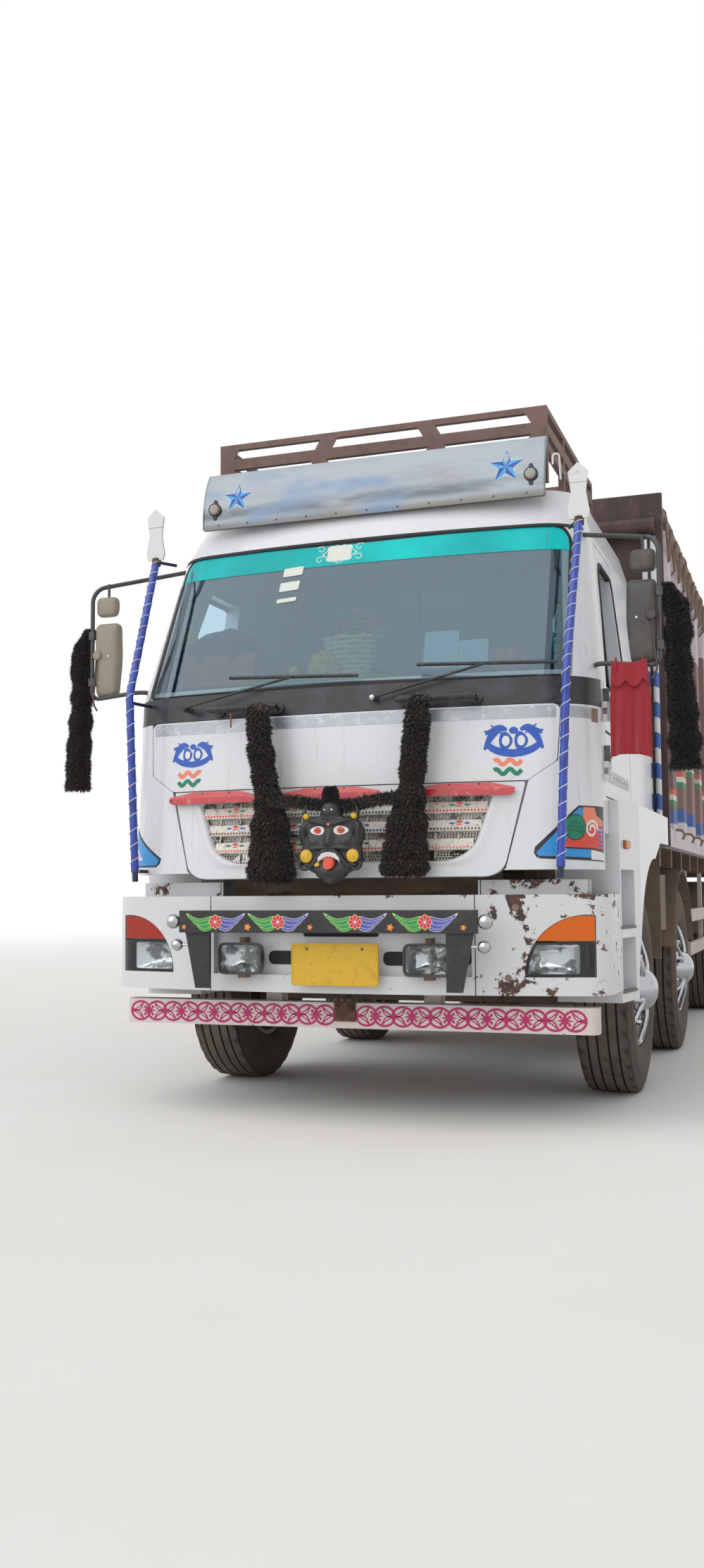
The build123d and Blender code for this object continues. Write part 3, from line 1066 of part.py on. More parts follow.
rim_inner = RIM_RADIUS - RIM_WALL
rim_half = BEAD_WIDTH / 2 + RIM_EDGE
hub_back = KINGPIN_X + AXLE_EYE_RADIUS + FORK_PLATE_GAP + FORK_PLATE + 10
disc_x = STEERED_WHEEL_X + rim_half - 20
steered_rim = turned([
    (hub_back, STUB_RADIUS + RUNNING_FIT), (STUB_TIP_X + 5, STUB_RADIUS + RUNNING_FIT),
    (STUB_TIP_X + 5, 0), (CAP_TIP_X, 0), (CAP_TIP_X, 40), (CAP_TIP_X - 30, 70),
    (disc_x + 20, HUB_RADIUS), (disc_x, 180), (disc_x, rim_inner - 10),
    (STEERED_WHEEL_X + rim_half, RIM_RADIUS - 6), (STEERED_WHEEL_X + rim_half, RIM_RADIUS),
    (STEERED_WHEEL_X - rim_half, RIM_RADIUS), (STEERED_WHEEL_X - rim_half, rim_inner),
    (disc_x - 40, rim_inner), (disc_x - 14, rim_inner - 24), (disc_x - 14, HUB_RADIUS),
    (hub_back, HUB_RADIUS),
])
seam_x = (TWIN_OUTER_X + TWIN_INNER_X) / 2
twin_rim = turned([
    (HOUSING_END_X + 30, TWIN_STUB_RADIUS + RUNNING_FIT),
    (TWIN_STUB_TIP_X + 5, TWIN_STUB_RADIUS + RUNNING_FIT),
    (TWIN_STUB_TIP_X + 5, 0), (TWIN_STUB_TIP_X + 70, 0), (TWIN_STUB_TIP_X + 70, 60),
    (TWIN_STUB_TIP_X + 20, 95), (seam_x + 20, 120), (seam_x + 20, rim_inner - 20),
    (seam_x + 44, rim_inner), (TWIN_OUTER_X + rim_half, rim_inner),
    (TWIN_OUTER_X + rim_half, RIM_RADIUS), (seam_x + 30, RIM_RADIUS), (seam_x, RIM_RADIUS - 34),
    (seam_x - 30, RIM_RADIUS), (TWIN_INNER_X - rim_half, RIM_RADIUS),
    (TWIN_INNER_X - rim_half, rim_inner), (seam_x - 44, rim_inner), (seam_x - 20, rim_inner - 20),
    (seam_x - 20, 120), (HOUSING_END_X + 30, 120),
])
HAND_HOLES = 10
HAND_HOLE_RING = 219
HAND_HOLE_RADIUS = 22


def holed(rim, x):
    """The rim with round hand holes through its disc, between the pair x."""
    for number in range(HAND_HOLES):
        angle = radians(360 / HAND_HOLES * number)
        y, z = HAND_HOLE_RING * cos(angle), HAND_HOLE_RING * sin(angle)
        rim -= rod((x[0], y, z), (x[1], y, z), HAND_HOLE_RADIUS)
    return rim


steered_rim = holed(steered_rim, (disc_x - 20, disc_x + 20))
twin_rim = holed(twin_rim, (seam_x - 30, seam_x + 30))
for number, station in enumerate(STEERED_AXLES, start=1):
    wheel = joined([tyre(STEERED_WHEEL_X), steered_rim])
    placed = Pos(0, station, TYRE_RADIUS) * wheel
    parts[f"knuckle_{number}_left"] = knuckle(station)
    parts[f"knuckle_{number}_right"] = mirror(knuckle(station), about=Plane.YZ)
    parts[f"wheel_{number}_left"] = placed
    parts[f"wheel_{number}_right"] = mirror(placed, about=Plane.YZ)
for number, station in enumerate(TWIN_AXLES, start=3):
    wheel = joined([tyre(TWIN_OUTER_X), tyre(TWIN_INNER_X), twin_rim])
    placed = Pos(0, station, TYRE_RADIUS) * wheel
    parts[f"wheel_{number}_left"] = placed
    parts[f"wheel_{number}_right"] = mirror(placed, about=Plane.YZ)

# Writing: each part to its own file, with the middle of the length at the origin
os.makedirs("parts", exist_ok=True)
for name, shape in parts.items():
    solids = Compound(list(shape.solids()))
    export_step(Pos(0, -MIDDLE, 0) * solids, f"parts/{name}.step")
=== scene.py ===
import bmesh
import bpy
from math import atan2, ceil, cos, floor, hypot, pi, radians, sin, sqrt
from mathutils import Matrix, Vector
from mathutils import noise as field
from random import Random


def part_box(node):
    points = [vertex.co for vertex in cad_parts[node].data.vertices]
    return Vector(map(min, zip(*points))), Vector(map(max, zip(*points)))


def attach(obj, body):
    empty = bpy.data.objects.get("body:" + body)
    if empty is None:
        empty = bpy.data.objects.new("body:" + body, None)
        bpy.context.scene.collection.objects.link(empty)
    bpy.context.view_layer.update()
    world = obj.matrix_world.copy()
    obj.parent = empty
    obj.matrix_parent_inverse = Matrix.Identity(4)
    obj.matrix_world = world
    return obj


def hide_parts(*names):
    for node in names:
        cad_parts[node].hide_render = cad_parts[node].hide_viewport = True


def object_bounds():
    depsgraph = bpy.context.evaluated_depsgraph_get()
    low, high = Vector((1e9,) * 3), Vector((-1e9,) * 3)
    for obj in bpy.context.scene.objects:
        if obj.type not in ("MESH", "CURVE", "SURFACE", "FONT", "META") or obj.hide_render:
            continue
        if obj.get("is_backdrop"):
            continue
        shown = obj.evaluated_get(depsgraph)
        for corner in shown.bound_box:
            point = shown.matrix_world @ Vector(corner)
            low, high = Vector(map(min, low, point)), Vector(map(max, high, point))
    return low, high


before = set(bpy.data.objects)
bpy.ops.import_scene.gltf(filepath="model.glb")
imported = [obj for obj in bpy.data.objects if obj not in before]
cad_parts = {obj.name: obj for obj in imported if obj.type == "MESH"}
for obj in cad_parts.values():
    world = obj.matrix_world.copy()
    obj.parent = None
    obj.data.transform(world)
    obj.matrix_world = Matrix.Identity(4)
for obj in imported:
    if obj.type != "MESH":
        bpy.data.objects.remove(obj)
cad_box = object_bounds()

# Camera: it stands to the truck's left of the middle, a metre up, and looks slightly
# upward along the front. Stations count back from the bumper's face, as on the frame.
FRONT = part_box("bumper")[0].y
CAMERA_X = 2.061
CAMERA_STATION = -5.602
CAMERA_HEIGHT = 1.019
CAMERA_YAW = radians(19.43)
CAMERA_PITCH = radians(4.705)
CAMERA_ROLL = radians(0.362)
CAMERA_FOCAL_PIXELS = 1889.4
FRAME_PIXELS_HIGH = 2227
SENSOR = 36.0
camera_data = bpy.data.cameras.new("camera")
camera = bpy.data.objects.new("camera", camera_data)
bpy.context.scene.collection.objects.link(camera)
bpy.context.scene.camera = camera
camera_data.sensor_width = SENSOR
camera_data.lens = CAMERA_FOCAL_PIXELS * SENSOR / FRAME_PIXELS_HIGH
camera_data.clip_end = 200
turn = Matrix.Rotation(CAMERA_YAW, 4, "Z") @ Matrix.Rotation(pi / 2 + CAMERA_PITCH, 4, "X")
turn = turn @ Matrix.Rotation(-CAMERA_ROLL, 4, "Z")
camera.matrix_world = Matrix.Translation((CAMERA_X, FRONT + CAMERA_STATION, CAMERA_HEIGHT)) @ turn


# Stage and lights: a pale matt floor that fades to white far away, an even pale sky and
# one broad soft lamp from the front, high on the truck's right.
def paint(red, green, blue):
    """A colour written as a painter's card gives it, from 0 to 255, as the shader wants it."""
    shares = [value / 255 for value in (red, green, blue)]
    linear = [s / 12.92 if s <= 0.04045 else ((s + 0.055) / 1.055) ** 2.4 for s in shares]
    return (*linear, 1.0)


class Finish:
    """One material: a shader whose colour, roughness and relief are laid on in coats."""

    def __init__(self, name, colour, roughness=0.5, metallic=0.0, **steady):
        self.material = bpy.data.materials.new(name)
        self.material.use_nodes = True
        self.tree = self.material.node_tree
        self.shader = self.tree.nodes["Principled BSDF"]
        self.place = self.node("ShaderNodeTexCoord").outputs["Object"]
        self.layers = {"Base Color": colour, "Roughness": roughness, "Metallic": metallic}
        self.relief = None
        for socket, value in steady.items():
            self.shader.inputs[socket.replace("_", " ")].default_value = value
        self.settle()

    def feed(self, socket, value):
        if isinstance(value, bpy.types.NodeSocket):
            self.tree.links.new(value, socket)
        elif value is not None:
            card = socket.type == "RGBA" and len(value) == 3
            socket.default_value = paint(*value) if card else value

    def settle(self):
        for name, value in self.layers.items():
            self.feed(self.shader.inputs[name], value)
        return self

    def node(self, kind, *values, **settings):
        made = self.tree.nodes.new(kind)
        for name, value in settings.items():
            setattr(made, name, value)
        for socket, value in zip(made.inputs, values):
            self.feed(socket, value)
        return made

    def sum(self, operation, first, second=None, third=None):
        return self.node("ShaderNodeMath", first, second, third, operation=operation).outputs[0]

    def times(self, first, second):
        return self.sum("MULTIPLY", first, second)

    def zigzag(self, value, top):
        """Climbs to top and falls back to 0, over and over."""
        return self.sum("PINGPONG", value, top)

    def axis(self, letter):
        split = self.node("ShaderNodeSeparateXYZ", self.place)
        return split.outputs["XYZ".index(letter)]

    def stretched(self, scale):
        return self.node("ShaderNodeVectorMath", self.place, scale, operation="MULTIPLY").outputs[0]

    def cloud(self, scale, detail=4.0, rough=0.55, stretch=(1, 1, 1)):
        """Soft random patches, from 0 to 1, about 1/scale metres across."""
        made = self.node("ShaderNodeTexNoise")
        self.feed(made.inputs["Vector"], self.stretched(stretch))
        self.feed(made.inputs["Scale"], scale)
        self.feed(made.inputs["Detail"], detail)
        self.feed(made.inputs["Roughness"], rough)
        return made.outputs["Fac"]

    def cells(self, scale, stretch=(1, 1, 1), feature="F1"):
        made = self.node("ShaderNodeTexVoronoi", feature=feature)
        self.feed(made.inputs["Vector"], self.stretched(stretch))
        self.feed(made.inputs["Scale"], scale)
        return made.outputs["Distance"]

    def ramp(self, value, low, high):
        """0 below low, 1 above high, smooth between; low above high turns it round."""
        made = self.node("ShaderNodeMapRange", value, low, high, interpolation_type="SMOOTHSTEP")
        return made.outputs["Result"]

    def between(self, value, low, high, soft=0.002):
        rise = self.ramp(value, low - soft, low + soft)
        return self.times(rise, self.ramp(value, high + soft, high - soft))

    def past(self, letter, low, high):
        """0 below low and 1 above high along one axis; low above high turns it round."""
        return self.ramp(self.axis(letter), low, high)

    def within(self, letter, low, high, soft=0.002):
        return self.between(self.axis(letter), low, high, soft)

    def hollows(self, reach):
        """1 in corners and crevices nearer than reach, 0 in the open."""
        made = self.node("ShaderNodeAmbientOcclusion", samples=6)
        self.feed(made.inputs["Distance"], reach)
        return self.ramp(made.outputs["AO"], 0.95, 0.35)

    def mixed(self, share, first, second):
        made = self.tree.nodes.new("ShaderNodeMix")
        made.data_type = "RGBA"
        self.feed(made.inputs[0], share)
        self.feed(made.inputs[6], first)
        self.feed(made.inputs[7], second)
        return made.outputs[2]

    def coat(self, share, colour=None, roughness=None, metallic=None):
        """Lays a coat over what is there, as thick as share, from 0 to 1."""
        if colour is not None:
            self.layers["Base Color"] = self.mixed(share, self.layers["Base Color"], colour)
        for name, value in (("Roughness", roughness), ("Metallic", metallic)):
            if value is not None:
                gap = self.sum("SUBTRACT", value, self.layers[name])
                self.layers[name] = self.sum("MULTIPLY_ADD", gap, share, self.layers[name])
        return self.settle()

    def emboss(self, height, depth, strength=1.0):
        """Raises the surface by depth metres where height is 1."""
        made = self.node("ShaderNodeBump")
        self.feed(made.inputs["Strength"], strength)
        self.feed(made.inputs["Distance"], depth)
        self.feed(made.inputs["Height"], height)
        self.feed(made.inputs["Normal"], self.relief)
        self.relief = made.outputs[0]
        self.feed(self.shader.inputs["Normal"], self.relief)
        return self

    def mottle(self, cloud, *look, **named):
        """Lays a coat on as thick as a cloud of these numbers."""
        return self.coat(self.cloud(*cloud), *look, **named)

    def stain(self, cloud, span, *look, **named):
        """Lays a coat on the patches where a cloud rises over the span."""
        return self.coat(self.ramp(self.cloud(*cloud), *span), *look, **named)

    def grain(self, depth, *cloud):
        return self.emboss(self.cloud(*cloud), depth)

    def ribbed(self, letter, pitch, depth):
        """Ridges across one axis, each twice pitch wide."""
        return self.emboss(self.zigzag(self.axis(letter), pitch), depth)

    def dusty(self, colour, level, scale=6.0, reach=None):
        """Road dust: patches, with more of it low down and, if asked, in the corners."""
        low = self.ramp(self.axis("Z"), 1.6, 0.2)
        patches = self.cloud(scale, 6.0, 0.6)
        share = self.times(self.sum("ADD", patches, self.times(low, 0.5)), level)
        if reach:
            share = self.sum("ADD", share, self.times(self.hollows(reach), level))
        self.coat(self.sum("MINIMUM", share, 1.0), colour, 0.85)
        return self


DUST = (150, 128, 108)

floor_finish = Finish("floor", (238, 237, 235), 0.95).mottle((1.5,), (232, 230, 227))
spread = floor_finish.node("ShaderNodeVectorMath", floor_finish.place, operation="LENGTH")
far_white = floor_finish.ramp(spread.outputs["Value"], 8.0, 30.0)
glow = floor_finish.node("ShaderNodeEmission")
blended = floor_finish.node("ShaderNodeMixShader", far_white)
floor_finish.feed(blended.inputs[1], floor_finish.shader.outputs[0])
floor_finish.feed(blended.inputs[2], glow.outputs[0])
floor_end = floor_finish.tree.nodes["Material Output"]
floor_finish.feed(floor_end.inputs["Surface"], blended.outputs[0])
FLOOR_REACH = 60.0
floor_mesh = bpy.data.meshes.new("floor")
corners = [(x * FLOOR_REACH, y * FLOOR_REACH, 0.0) for x, y in ((-1, -1), (1, -1), (1, 1), (-1, 1))]
floor_mesh.from_pydata(corners, [], [(0, 1, 2, 3)])
floor_mesh.materials.append(floor_finish.material)
floor_object = bpy.data.objects.new("floor", floor_mesh)
bpy.context.scene.collection.objects.link(floor_object)
floor_object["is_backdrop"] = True

SKY_LEVEL = 0.62
world = bpy.data.worlds.new("sky")
bpy.context.scene.world = world
world.use_nodes = True
sky = world.node_tree.nodes["Background"]
ray = world.node_tree.nodes.new("ShaderNodeLightPath")
seen = []
for kind in ("Is Camera Ray", "Is Glossy Ray", "Is Transmission Ray"):
    seen.append(ray.outputs[kind])
either = world.node_tree.nodes.new("ShaderNodeMath")
either.operation = "MAXIMUM"
any_seen = world.node_tree.nodes.new("ShaderNodeMath")
any_seen.operation = "MAXIMUM"
level = world.node_tree.nodes.new("ShaderNodeMapRange")
level.inputs["To Min"].default_value = SKY_LEVEL
level.inputs["To Max"].default_value = 1.0
join = world.node_tree.links.new
join(seen[0], either.inputs[0])
join(seen[1], either.inputs[1])
join(either.outputs[0], any_seen.inputs[0])
join(seen[2], any_seen.inputs[1])
join(any_seen.outputs[0], level.inputs["Value"])
join(level.outputs["Result"], sky.inputs["Strength"])
sky.inputs["Color"].default_value = (1.0, 1.0, 1.0, 1.0)

SUN_FROM = Vector((-0.42, -0.72, 0.8))
SUN_STRENGTH = 1.5
SUN_ANGLE = radians(80)
sun_data = bpy.data.lights.new("soft lamp", "SUN")
sun_data.energy = SUN_STRENGTH
sun_data.angle = SUN_ANGLE
sun = bpy.data.objects.new("soft lamp", sun_data)
bpy.context.scene.collection.objects.link(sun)
sun.rotation_mode = "QUATERNION"
sun.rotation_quaternion = SUN_FROM.to_track_quat("Z", "Y")
bpy.context.scene.view_settings.view_transform = "Standard"


# Frame: two pressed channel rails with box crossmembers, riveted, brushed with chassis
# black years ago and now covered with road dust.
def dress(node_name, *finishes):
    """Gives a carried-over CAD node its finish."""
    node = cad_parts[node_name]
    node.data.materials.clear()
    for finish in finishes:
        node.data.materials.append(finish.material)
    return node


chassis_black = Finish("chassis_black", (52, 48, 46), 0.6)
chassis_black.stain((9, 8, 0.7), (0.56, 0.68), (104, 66, 44), 0.85)
chassis_black.dusty(DUST, 0.55, 5.0, 0.05)
chassis_black.grain(0.0012, 160, 3)
for node_name in ("frame_rails", "crossmembers", "rear_bumper"):
    dress(node_name, chassis_black)


# Axles, springs and drive: forged beams, cast housings and rolled leaves under U-bolts,
# all one dull brown of old grease and dust.
def turns(steps):
    """Angles evenly spaced round a full turn."""
    return [2 * pi * k / steps for k in range(steps)]


class Shape:
    """Points and faces gathered for one piece, each face with the number of its finish."""

    def __init__(self):
        self.points = []
        self.faces = []
        self.coats = []

    def add(self, points, faces, coat=0):
        start = len(self.points)
        self.points.extend(Vector(point) for point in points)
        self.faces.extend([start + index for index in face] for face in faces)
        self.coats.extend([coat] * len(faces))
        return self

    def rows(self, rows, coat=0, ring=False, loop=False, ends=False):
        """A skin over rows of points; ring closes each row, loop the set of rows, ends both ends."""
        width = len(rows[0])
        faces = []
        for j in range(len(rows) if loop else len(rows) - 1):
            low = j * width
            high = (j + 1) % len(rows) * width
            for i in range(width if ring else width - 1):
                k = (i + 1) % width
                faces.append((low + i, low + k, high + k, high + i))
        if ends:
            last = (len(rows) - 1) * width
            faces += [range(width), range(last, last + width)]
        return self.add([point for row in rows for point in row], faces, coat)

    def block(self, x, y, z, coat=0):
        points = [(a, b, c) for c in z for b in y for a in x]
        faces = [(0, 2, 3, 1), (4, 5, 7, 6), (0, 1, 5, 4), (2, 6, 7, 3), (0, 4, 6, 2), (1, 3, 7, 5)]
        return self.add(points, faces, coat)

    def tube(self, route, radius, coat=0, sides=10, closed=False):
        """A round bar along a route; radius is one number or one for each point."""
        route = [Vector(point) for point in route]
        count = len(route)
        radii = [radius] * count if isinstance(radius, (int, float)) else radius
        rows = []
        side = None
        for i, point in enumerate(route):
            before = route[i - 1] if i or closed else point
            after = route[(i + 1) % count] if i < count - 1 or closed else point
            run = (after - before).normalized()
            if side is None:
                side = run.orthogonal()
            side = (side - run * side.dot(run)).normalized()
            across = run.cross(side)
            rows.append([point + (side * cos(a) + across * sin(a)) * radii[i] for a in turns(sides)])
        return self.rows(rows, coat, ring=True, loop=closed, ends=not closed)

    def turned(self, profile, centre, coat=0, steps=48, axis="X"):
        """A profile of (along, radius) points, turned about an axis through the centre."""
        rows = []
        for k in range(steps):
            angle = 2 * pi * k / steps
            row = []
            for along, radius in profile:
                a, b = radius * cos(angle), radius * sin(angle)
                spun = {"X": (along, a, b), "Y": (a, along, b), "Z": (a, b, along)}[axis]
                row.append(Vector(centre) + Vector(spun))
            rows.append(row)
        return self.rows(rows, coat, loop=True)

    def slab(self, outline, place, depth, coat=0, back=0.0):
        """A flat outline of (u, v) points, set by place(u, v, out) and as thick as depth."""
        count = len(outline)
        points = [place(u, v, back) for u, v in outline] + [place(u, v, depth) for u, v in outline]
        faces = [list(range(count)), list(range(count, 2 * count))]
        faces += [(i, (i + 1) % count, count + (i + 1) % count, count + i) for i in range(count)]
        return self.add(points, faces, coat)


def stand(name, shape, finishes, body="chassis", slot=None, soft=0.0, sharp=40, tidy=True,
        replaces=None):
    """Makes the gathered shape a piece that rides on a body, in place of a node if one is named.

    soft rounds the edges by so many metres; tidy turns every face outward."""
    mesh = bpy.data.meshes.new(name)
    mesh.from_pydata(shape.points, [], shape.faces)
    for finish in finishes:
        mesh.materials.append(finish.material)
    mesh.polygons.foreach_set("material_index", shape.coats)
    if tidy:
        made = bmesh.new()
        made.from_mesh(mesh)
        bmesh.ops.recalc_face_normals(made, faces=made.faces)
        made.to_mesh(mesh)
        made.free()
    mesh.shade_smooth()
    mesh.set_sharp_from_angle(angle=radians(sharp))
    piece = bpy.data.objects.new(name, mesh)
    bpy.context.scene.collection.objects.link(piece)
    if soft:
        rounding = piece.modifiers.new("soft edges", "BEVEL")
        rounding.width = soft
        rounding.segments = 2
        rounding.angle_limit = radians(35)
        rounding.harden_normals = True
    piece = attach(piece, body)
    if replaces:
        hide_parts(replaces)
    return piece


greasy_steel = Finish("greasy_steel", (58, 50, 44), 0.55, 0.3)
greasy_steel.stain((14, 6, 0.7), (0.5, 0.7), (96, 70, 52), 0.8, 0.0)
greasy_steel.dusty(DUST, 0.6, 7.0, 0.04)
greasy_steel.grain(0.0015, 110, 4)
LEAF_COUNT = 7
leaf_steel = Finish("leaf_steel", (64, 52, 44), 0.6, 0.3)
leaf_steps = leaf_steel.zigzag(leaf_steel.axis("Z"), 0.5 * 0.06 / LEAF_COUNT)
leaf_gap = leaf_steel.ramp(leaf_steps, 0.0008, 0.0002)
leaf_steel.coat(leaf_gap, (20, 17, 15), 0.9)
leaf_steel.dusty(DUST, 0.5, 8.0)
leaf_steel.emboss(leaf_gap, -0.002)
for node_name in ("engine_block", "axles", "propeller_shaft"):
    dress(node_name, greasy_steel)
dress("leaf_springs", leaf_steel)
for number in (1, 2):
    for side_name in ("left", "right"):
        dress(f"knuckle_{number}_{side_name}", greasy_steel)

clamps = Shape()
SPRING_STATIONS = (1.404, 3.4, 6.575, 7.925)
SPRING_LINE = 0.385
for station in SPRING_STATIONS:
    low = 0.4 if station < 5 else 0.45
    for side in (-1, 1):
        for shift in (-0.075, 0.075):
            for edge in (-0.052, 0.052):
                foot = (side * SPRING_LINE + edge, FRONT + station + shift, low)
                head = (foot[0], foot[1], 0.645)
                clamps.tube([foot, head], 0.009, sides=8)
        clamps.block((side * SPRING_LINE - 0.065, side * SPRING_LINE + 0.065),
            (FRONT + station - 0.09, FRONT + station + 0.09), (0.612, 0.63))
stand("spring_clamps", clamps, [greasy_steel])

# Wheels: pressed steel discs with ten round holes, painted silver, under ribbed highway
# tyres with four grooves; the steered ones carry chromed spider caps held by the nuts.
TYRE_RADIUS = 0.52
RIM_RADIUS = 0.286
TYRE_HALF_WIDTH = 0.1435
TREAD_HALF_WIDTH = 0.118
GROOVE_PLACES = (-0.074, -0.027, 0.027, 0.074)
GROOVE_HALF_WIDTH = 0.0055
GROOVE_DEPTH = 0.013
TYRE_STEPS = 96

tyre_rubber = Finish("tyre_rubber", (44, 40, 38), 0.75)
tyre_split = tyre_rubber.node("ShaderNodeSeparateXYZ", tyre_rubber.place)
tyre_reach = tyre_rubber.sum("SQRT",
    tyre_rubber.sum("ADD", tyre_rubber.sum("POWER",
    tyre_rubber.sum("ABSOLUTE", tyre_split.outputs[1]), 2.0),
    tyre_rubber.sum("POWER", tyre_rubber.sum("ABSOLUTE", tyre_split.outputs[2]), 2.0)))
worn = tyre_rubber.ramp(tyre_reach, 0.512, 0.5185)
earth = tyre_rubber.cloud(7, 6, 0.65)
tyre_rubber.coat(tyre_rubber.times(earth, 0.75), (112, 96, 82), 0.9)
tyre_rubber.coat(tyre_rubber.times(worn, tyre_rubber.ramp(earth, 0.25, 0.6)), (104, 94, 86), 0.85)
tyre_rubber.coat(tyre_rubber.between(tyre_reach, 0.5, 0.512, 0.003), (58, 50, 44), 0.9)
fine_rings = tyre_rubber.zigzag(tyre_reach, 0.002)
tyre_rubber.emboss(tyre_rubber.times(fine_rings, 200.0), 0.0006)
tyre_rubber.grain(0.0012, 60, 5, 0.7)


def tyre_profile():
    """Half section points from the inner bead over the tread to the outer bead."""
    wall = [(0.107, RIM_RADIUS + 0.0003), (0.121, 0.297), (0.127, 0.305), (0.131, 0.322),
        (0.14, 0.35), (0.143, 0.378), (TYRE_HALF_WIDTH, 0.402), (0.1434, 0.404), (0.142, 0.43),
        (0.1405, 0.446), (0.1385, 0.4475), (0.135, 0.47), (0.134, 0.472), (0.129, 0.492),
        (0.124, 0.505), (TREAD_HALF_WIDTH, 0.5155)]
    tread = []
    for place in GROOVE_PLACES:
        rise = TYRE_RADIUS - 0.0045 * (place / TREAD_HALF_WIDTH) ** 2
        tread += [(place - GROOVE_HALF_WIDTH, rise),
            (place - GROOVE_HALF_WIDTH * 0.6, rise - GROOVE_DEPTH),
            (place + GROOVE_HALF_WIDTH * 0.6, rise - GROOVE_DEPTH), (place + GROOVE_HALF_WIDTH, rise)]
    crown = tread[:8] + [(0.0, TYRE_RADIUS - 0.0002)] + tread[8:]
    return [(-x, r) for x, r in wall] + crown + list(reversed(wall))


tyre_shape = Shape()
section = tyre_profile()
tyre_rows = []
for k in range(TYRE_STEPS):
    spin = 2 * pi * k / TYRE_STEPS
    row = []
    for x, reach in section:
        if abs(x) == 0.129 or abs(x) == 0.124:
            reach -= 0.004 * (k % 3 == 0)
        if abs(x) == TREAD_HALF_WIDTH:
            reach -= 0.006 * (k % 3 == 0)
        row.append((x, reach * cos(spin), reach * sin(spin)))
    tyre_rows.append(row)
tyre_shape.rows(tyre_rows, loop=True)

rim_silver = Finish("rim_silver", (150, 150, 152), 0.45, 0.6)
rim_silver.stain((18, 7, 0.7), (0.52, 0.66), (112, 70, 48), 0.85, 0.0)
rim_silver.coat(rim_silver.times(rim_silver.cloud(9, 5), 0.7), (128, 116, 104), 0.85, 0.0)
rim_silver.grain(0.0008, 90, 4)
rim_dark = Finish("rim_dark", (30, 27, 25), 0.7).mottle((12, 5), (84, 72, 62), 0.9)
chrome = Finish("chrome", (182, 184, 188), 0.08, 1.0)
chrome.stain((26, 7, 0.7), (0.55, 0.72), (150, 140, 126), 0.5, 0.4)
chrome.grain(0.0006, 14, 2)

HOLES = 10
HOLE_RADIUS = 0.024
HOLE_RING = 0.222
NUT_RING = 0.1675


def holed_disc(shape, x, inner, outer, dish, coat):
    """A ring with round hand holes, built sector by sector; dish sets its inner edge outboard."""
    half = pi / HOLES
    for k in range(HOLES):
        middle = 2 * pi * k / HOLES
        edge = []
        for u, v in [(-1 + i / 2, -1) for i in range(4)] + [(1, -1 + i / 2)
                for i in range(4)] + [(1 - i / 2, 1) for i in range(4)] + [(-1, 1 - i / 2)
                for i in range(4)]:
            edge.append((middle + u * half, inner + (outer - inner) * (v + 1) / 2))
        rings = [[], [], []]
        for angle, reach in edge:
            share = (outer - reach) / (outer - inner)
            rings[0].append((x + dish * share, reach * cos(angle), reach * sin(angle)))
            away = atan2(reach - HOLE_RING, (angle - middle) * HOLE_RING)
            hole = (HOLE_RING + HOLE_RADIUS * sin(away), middle + HOLE_RADIUS * cos(away) / HOLE_RING)
            share = (outer - hole[0]) / (outer - inner)
            for ring, back in ((1, 0.0), (2, -0.012)):
                rings[ring].append((x + dish * share + back, hole[0] * cos(hole[1]),
                    hole[0] * sin(hole[1])))
        shape.rows(rings, coat, ring=True)


def nut_ring(shape, x, coat, length=0.034, radius=0.016):
    """Ten hexagon wheel nuts with domed ends."""
    for k in range(HOLES):
        angle = 2 * pi * (k + 0.5) / HOLES
        rows = []
        for along, reach in ((0, radius), (length * 0.6, radius), (length * 0.7, radius * 0.8),
                (length * 0.95, radius * 0.7), (length, radius * 0.2)):
            rows.append([(x + along, NUT_RING * cos(angle) + reach * cos(t),
                NUT_RING * sin(angle) + reach * sin(t)) for t in (pi * i / 3 for i in range(6))])
        shape.rows(rows, coat, ring=True)


ORIGIN = (0, 0, 0)
steered_rim = Shape()
RIM_HALF = 0.115
DISC_X = 0.095
steered_rim.turned([(-RIM_HALF, RIM_RADIUS - 0.022), (-RIM_HALF, RIM_RADIUS), (-0.107, RIM_RADIUS),
    (-0.1, 0.282), (0.1, 0.282), (0.107, RIM_RADIUS), (RIM_HALF, RIM_RADIUS), (RIM_HALF, 0.279),
    (0.108, 0.272), (0.096, 0.264), (0.07, 0.262), (-RIM_HALF, RIM_RADIUS - 0.022)], ORIGIN, 0, 60)
steered_rim.turned([(0.072, 0.262), (0.088, 0.258), (0.095, 0.25)], ORIGIN, 0, 60)
holed_disc(steered_rim, DISC_X, 0.19, 0.25, 0.004, 0)
steered_rim.turned([(0.099, 0.19), (0.103, 0.182), (0.103, 0.14), (0.094, 0.128), (0.094, 0.088),
    (0.17, 0.084), (0.176, 0.07)], ORIGIN, 0, 60)
steered_rim.turned([(0.08, 0.258), (0.07, 0.1), (-0.02, 0.1), (-0.02, 0.045)], ORIGIN, 1, 40)
nut_ring(steered_rim, 0.103, 2)
steered_rim.turned([(0.118, 0.262), (0.124, 0.274), (0.118, 0.284), (0.108, 0.2855)], ORIGIN, 2, 72)
steered_rim.turned([(0.11, 0.128), (0.136, 0.122), (0.15, 0.104), (0.176, 0.092), (0.196, 0.072),
    (0.21, 0.044), (0.2155, 0.018), (0.216, 0.0005)], ORIGIN, 2, 60)
for k in range(5):
    angle = 2 * pi * (k + 0.5) / 5
    for lean in (-0.24, 0.24):
        arm = []
        for x, reach in ((0.15, 0.104), (0.15, 0.14), (0.142, 0.185), (0.126, 0.238), (0.118, 0.268)):
            turn_by = angle + lean * (reach - 0.104) / 0.164
            arm.append((x, reach * cos(turn_by), reach * sin(turn_by)))
        steered_rim.tube(arm, [0.017, 0.014, 0.012, 0.011, 0.01], 2, 8)

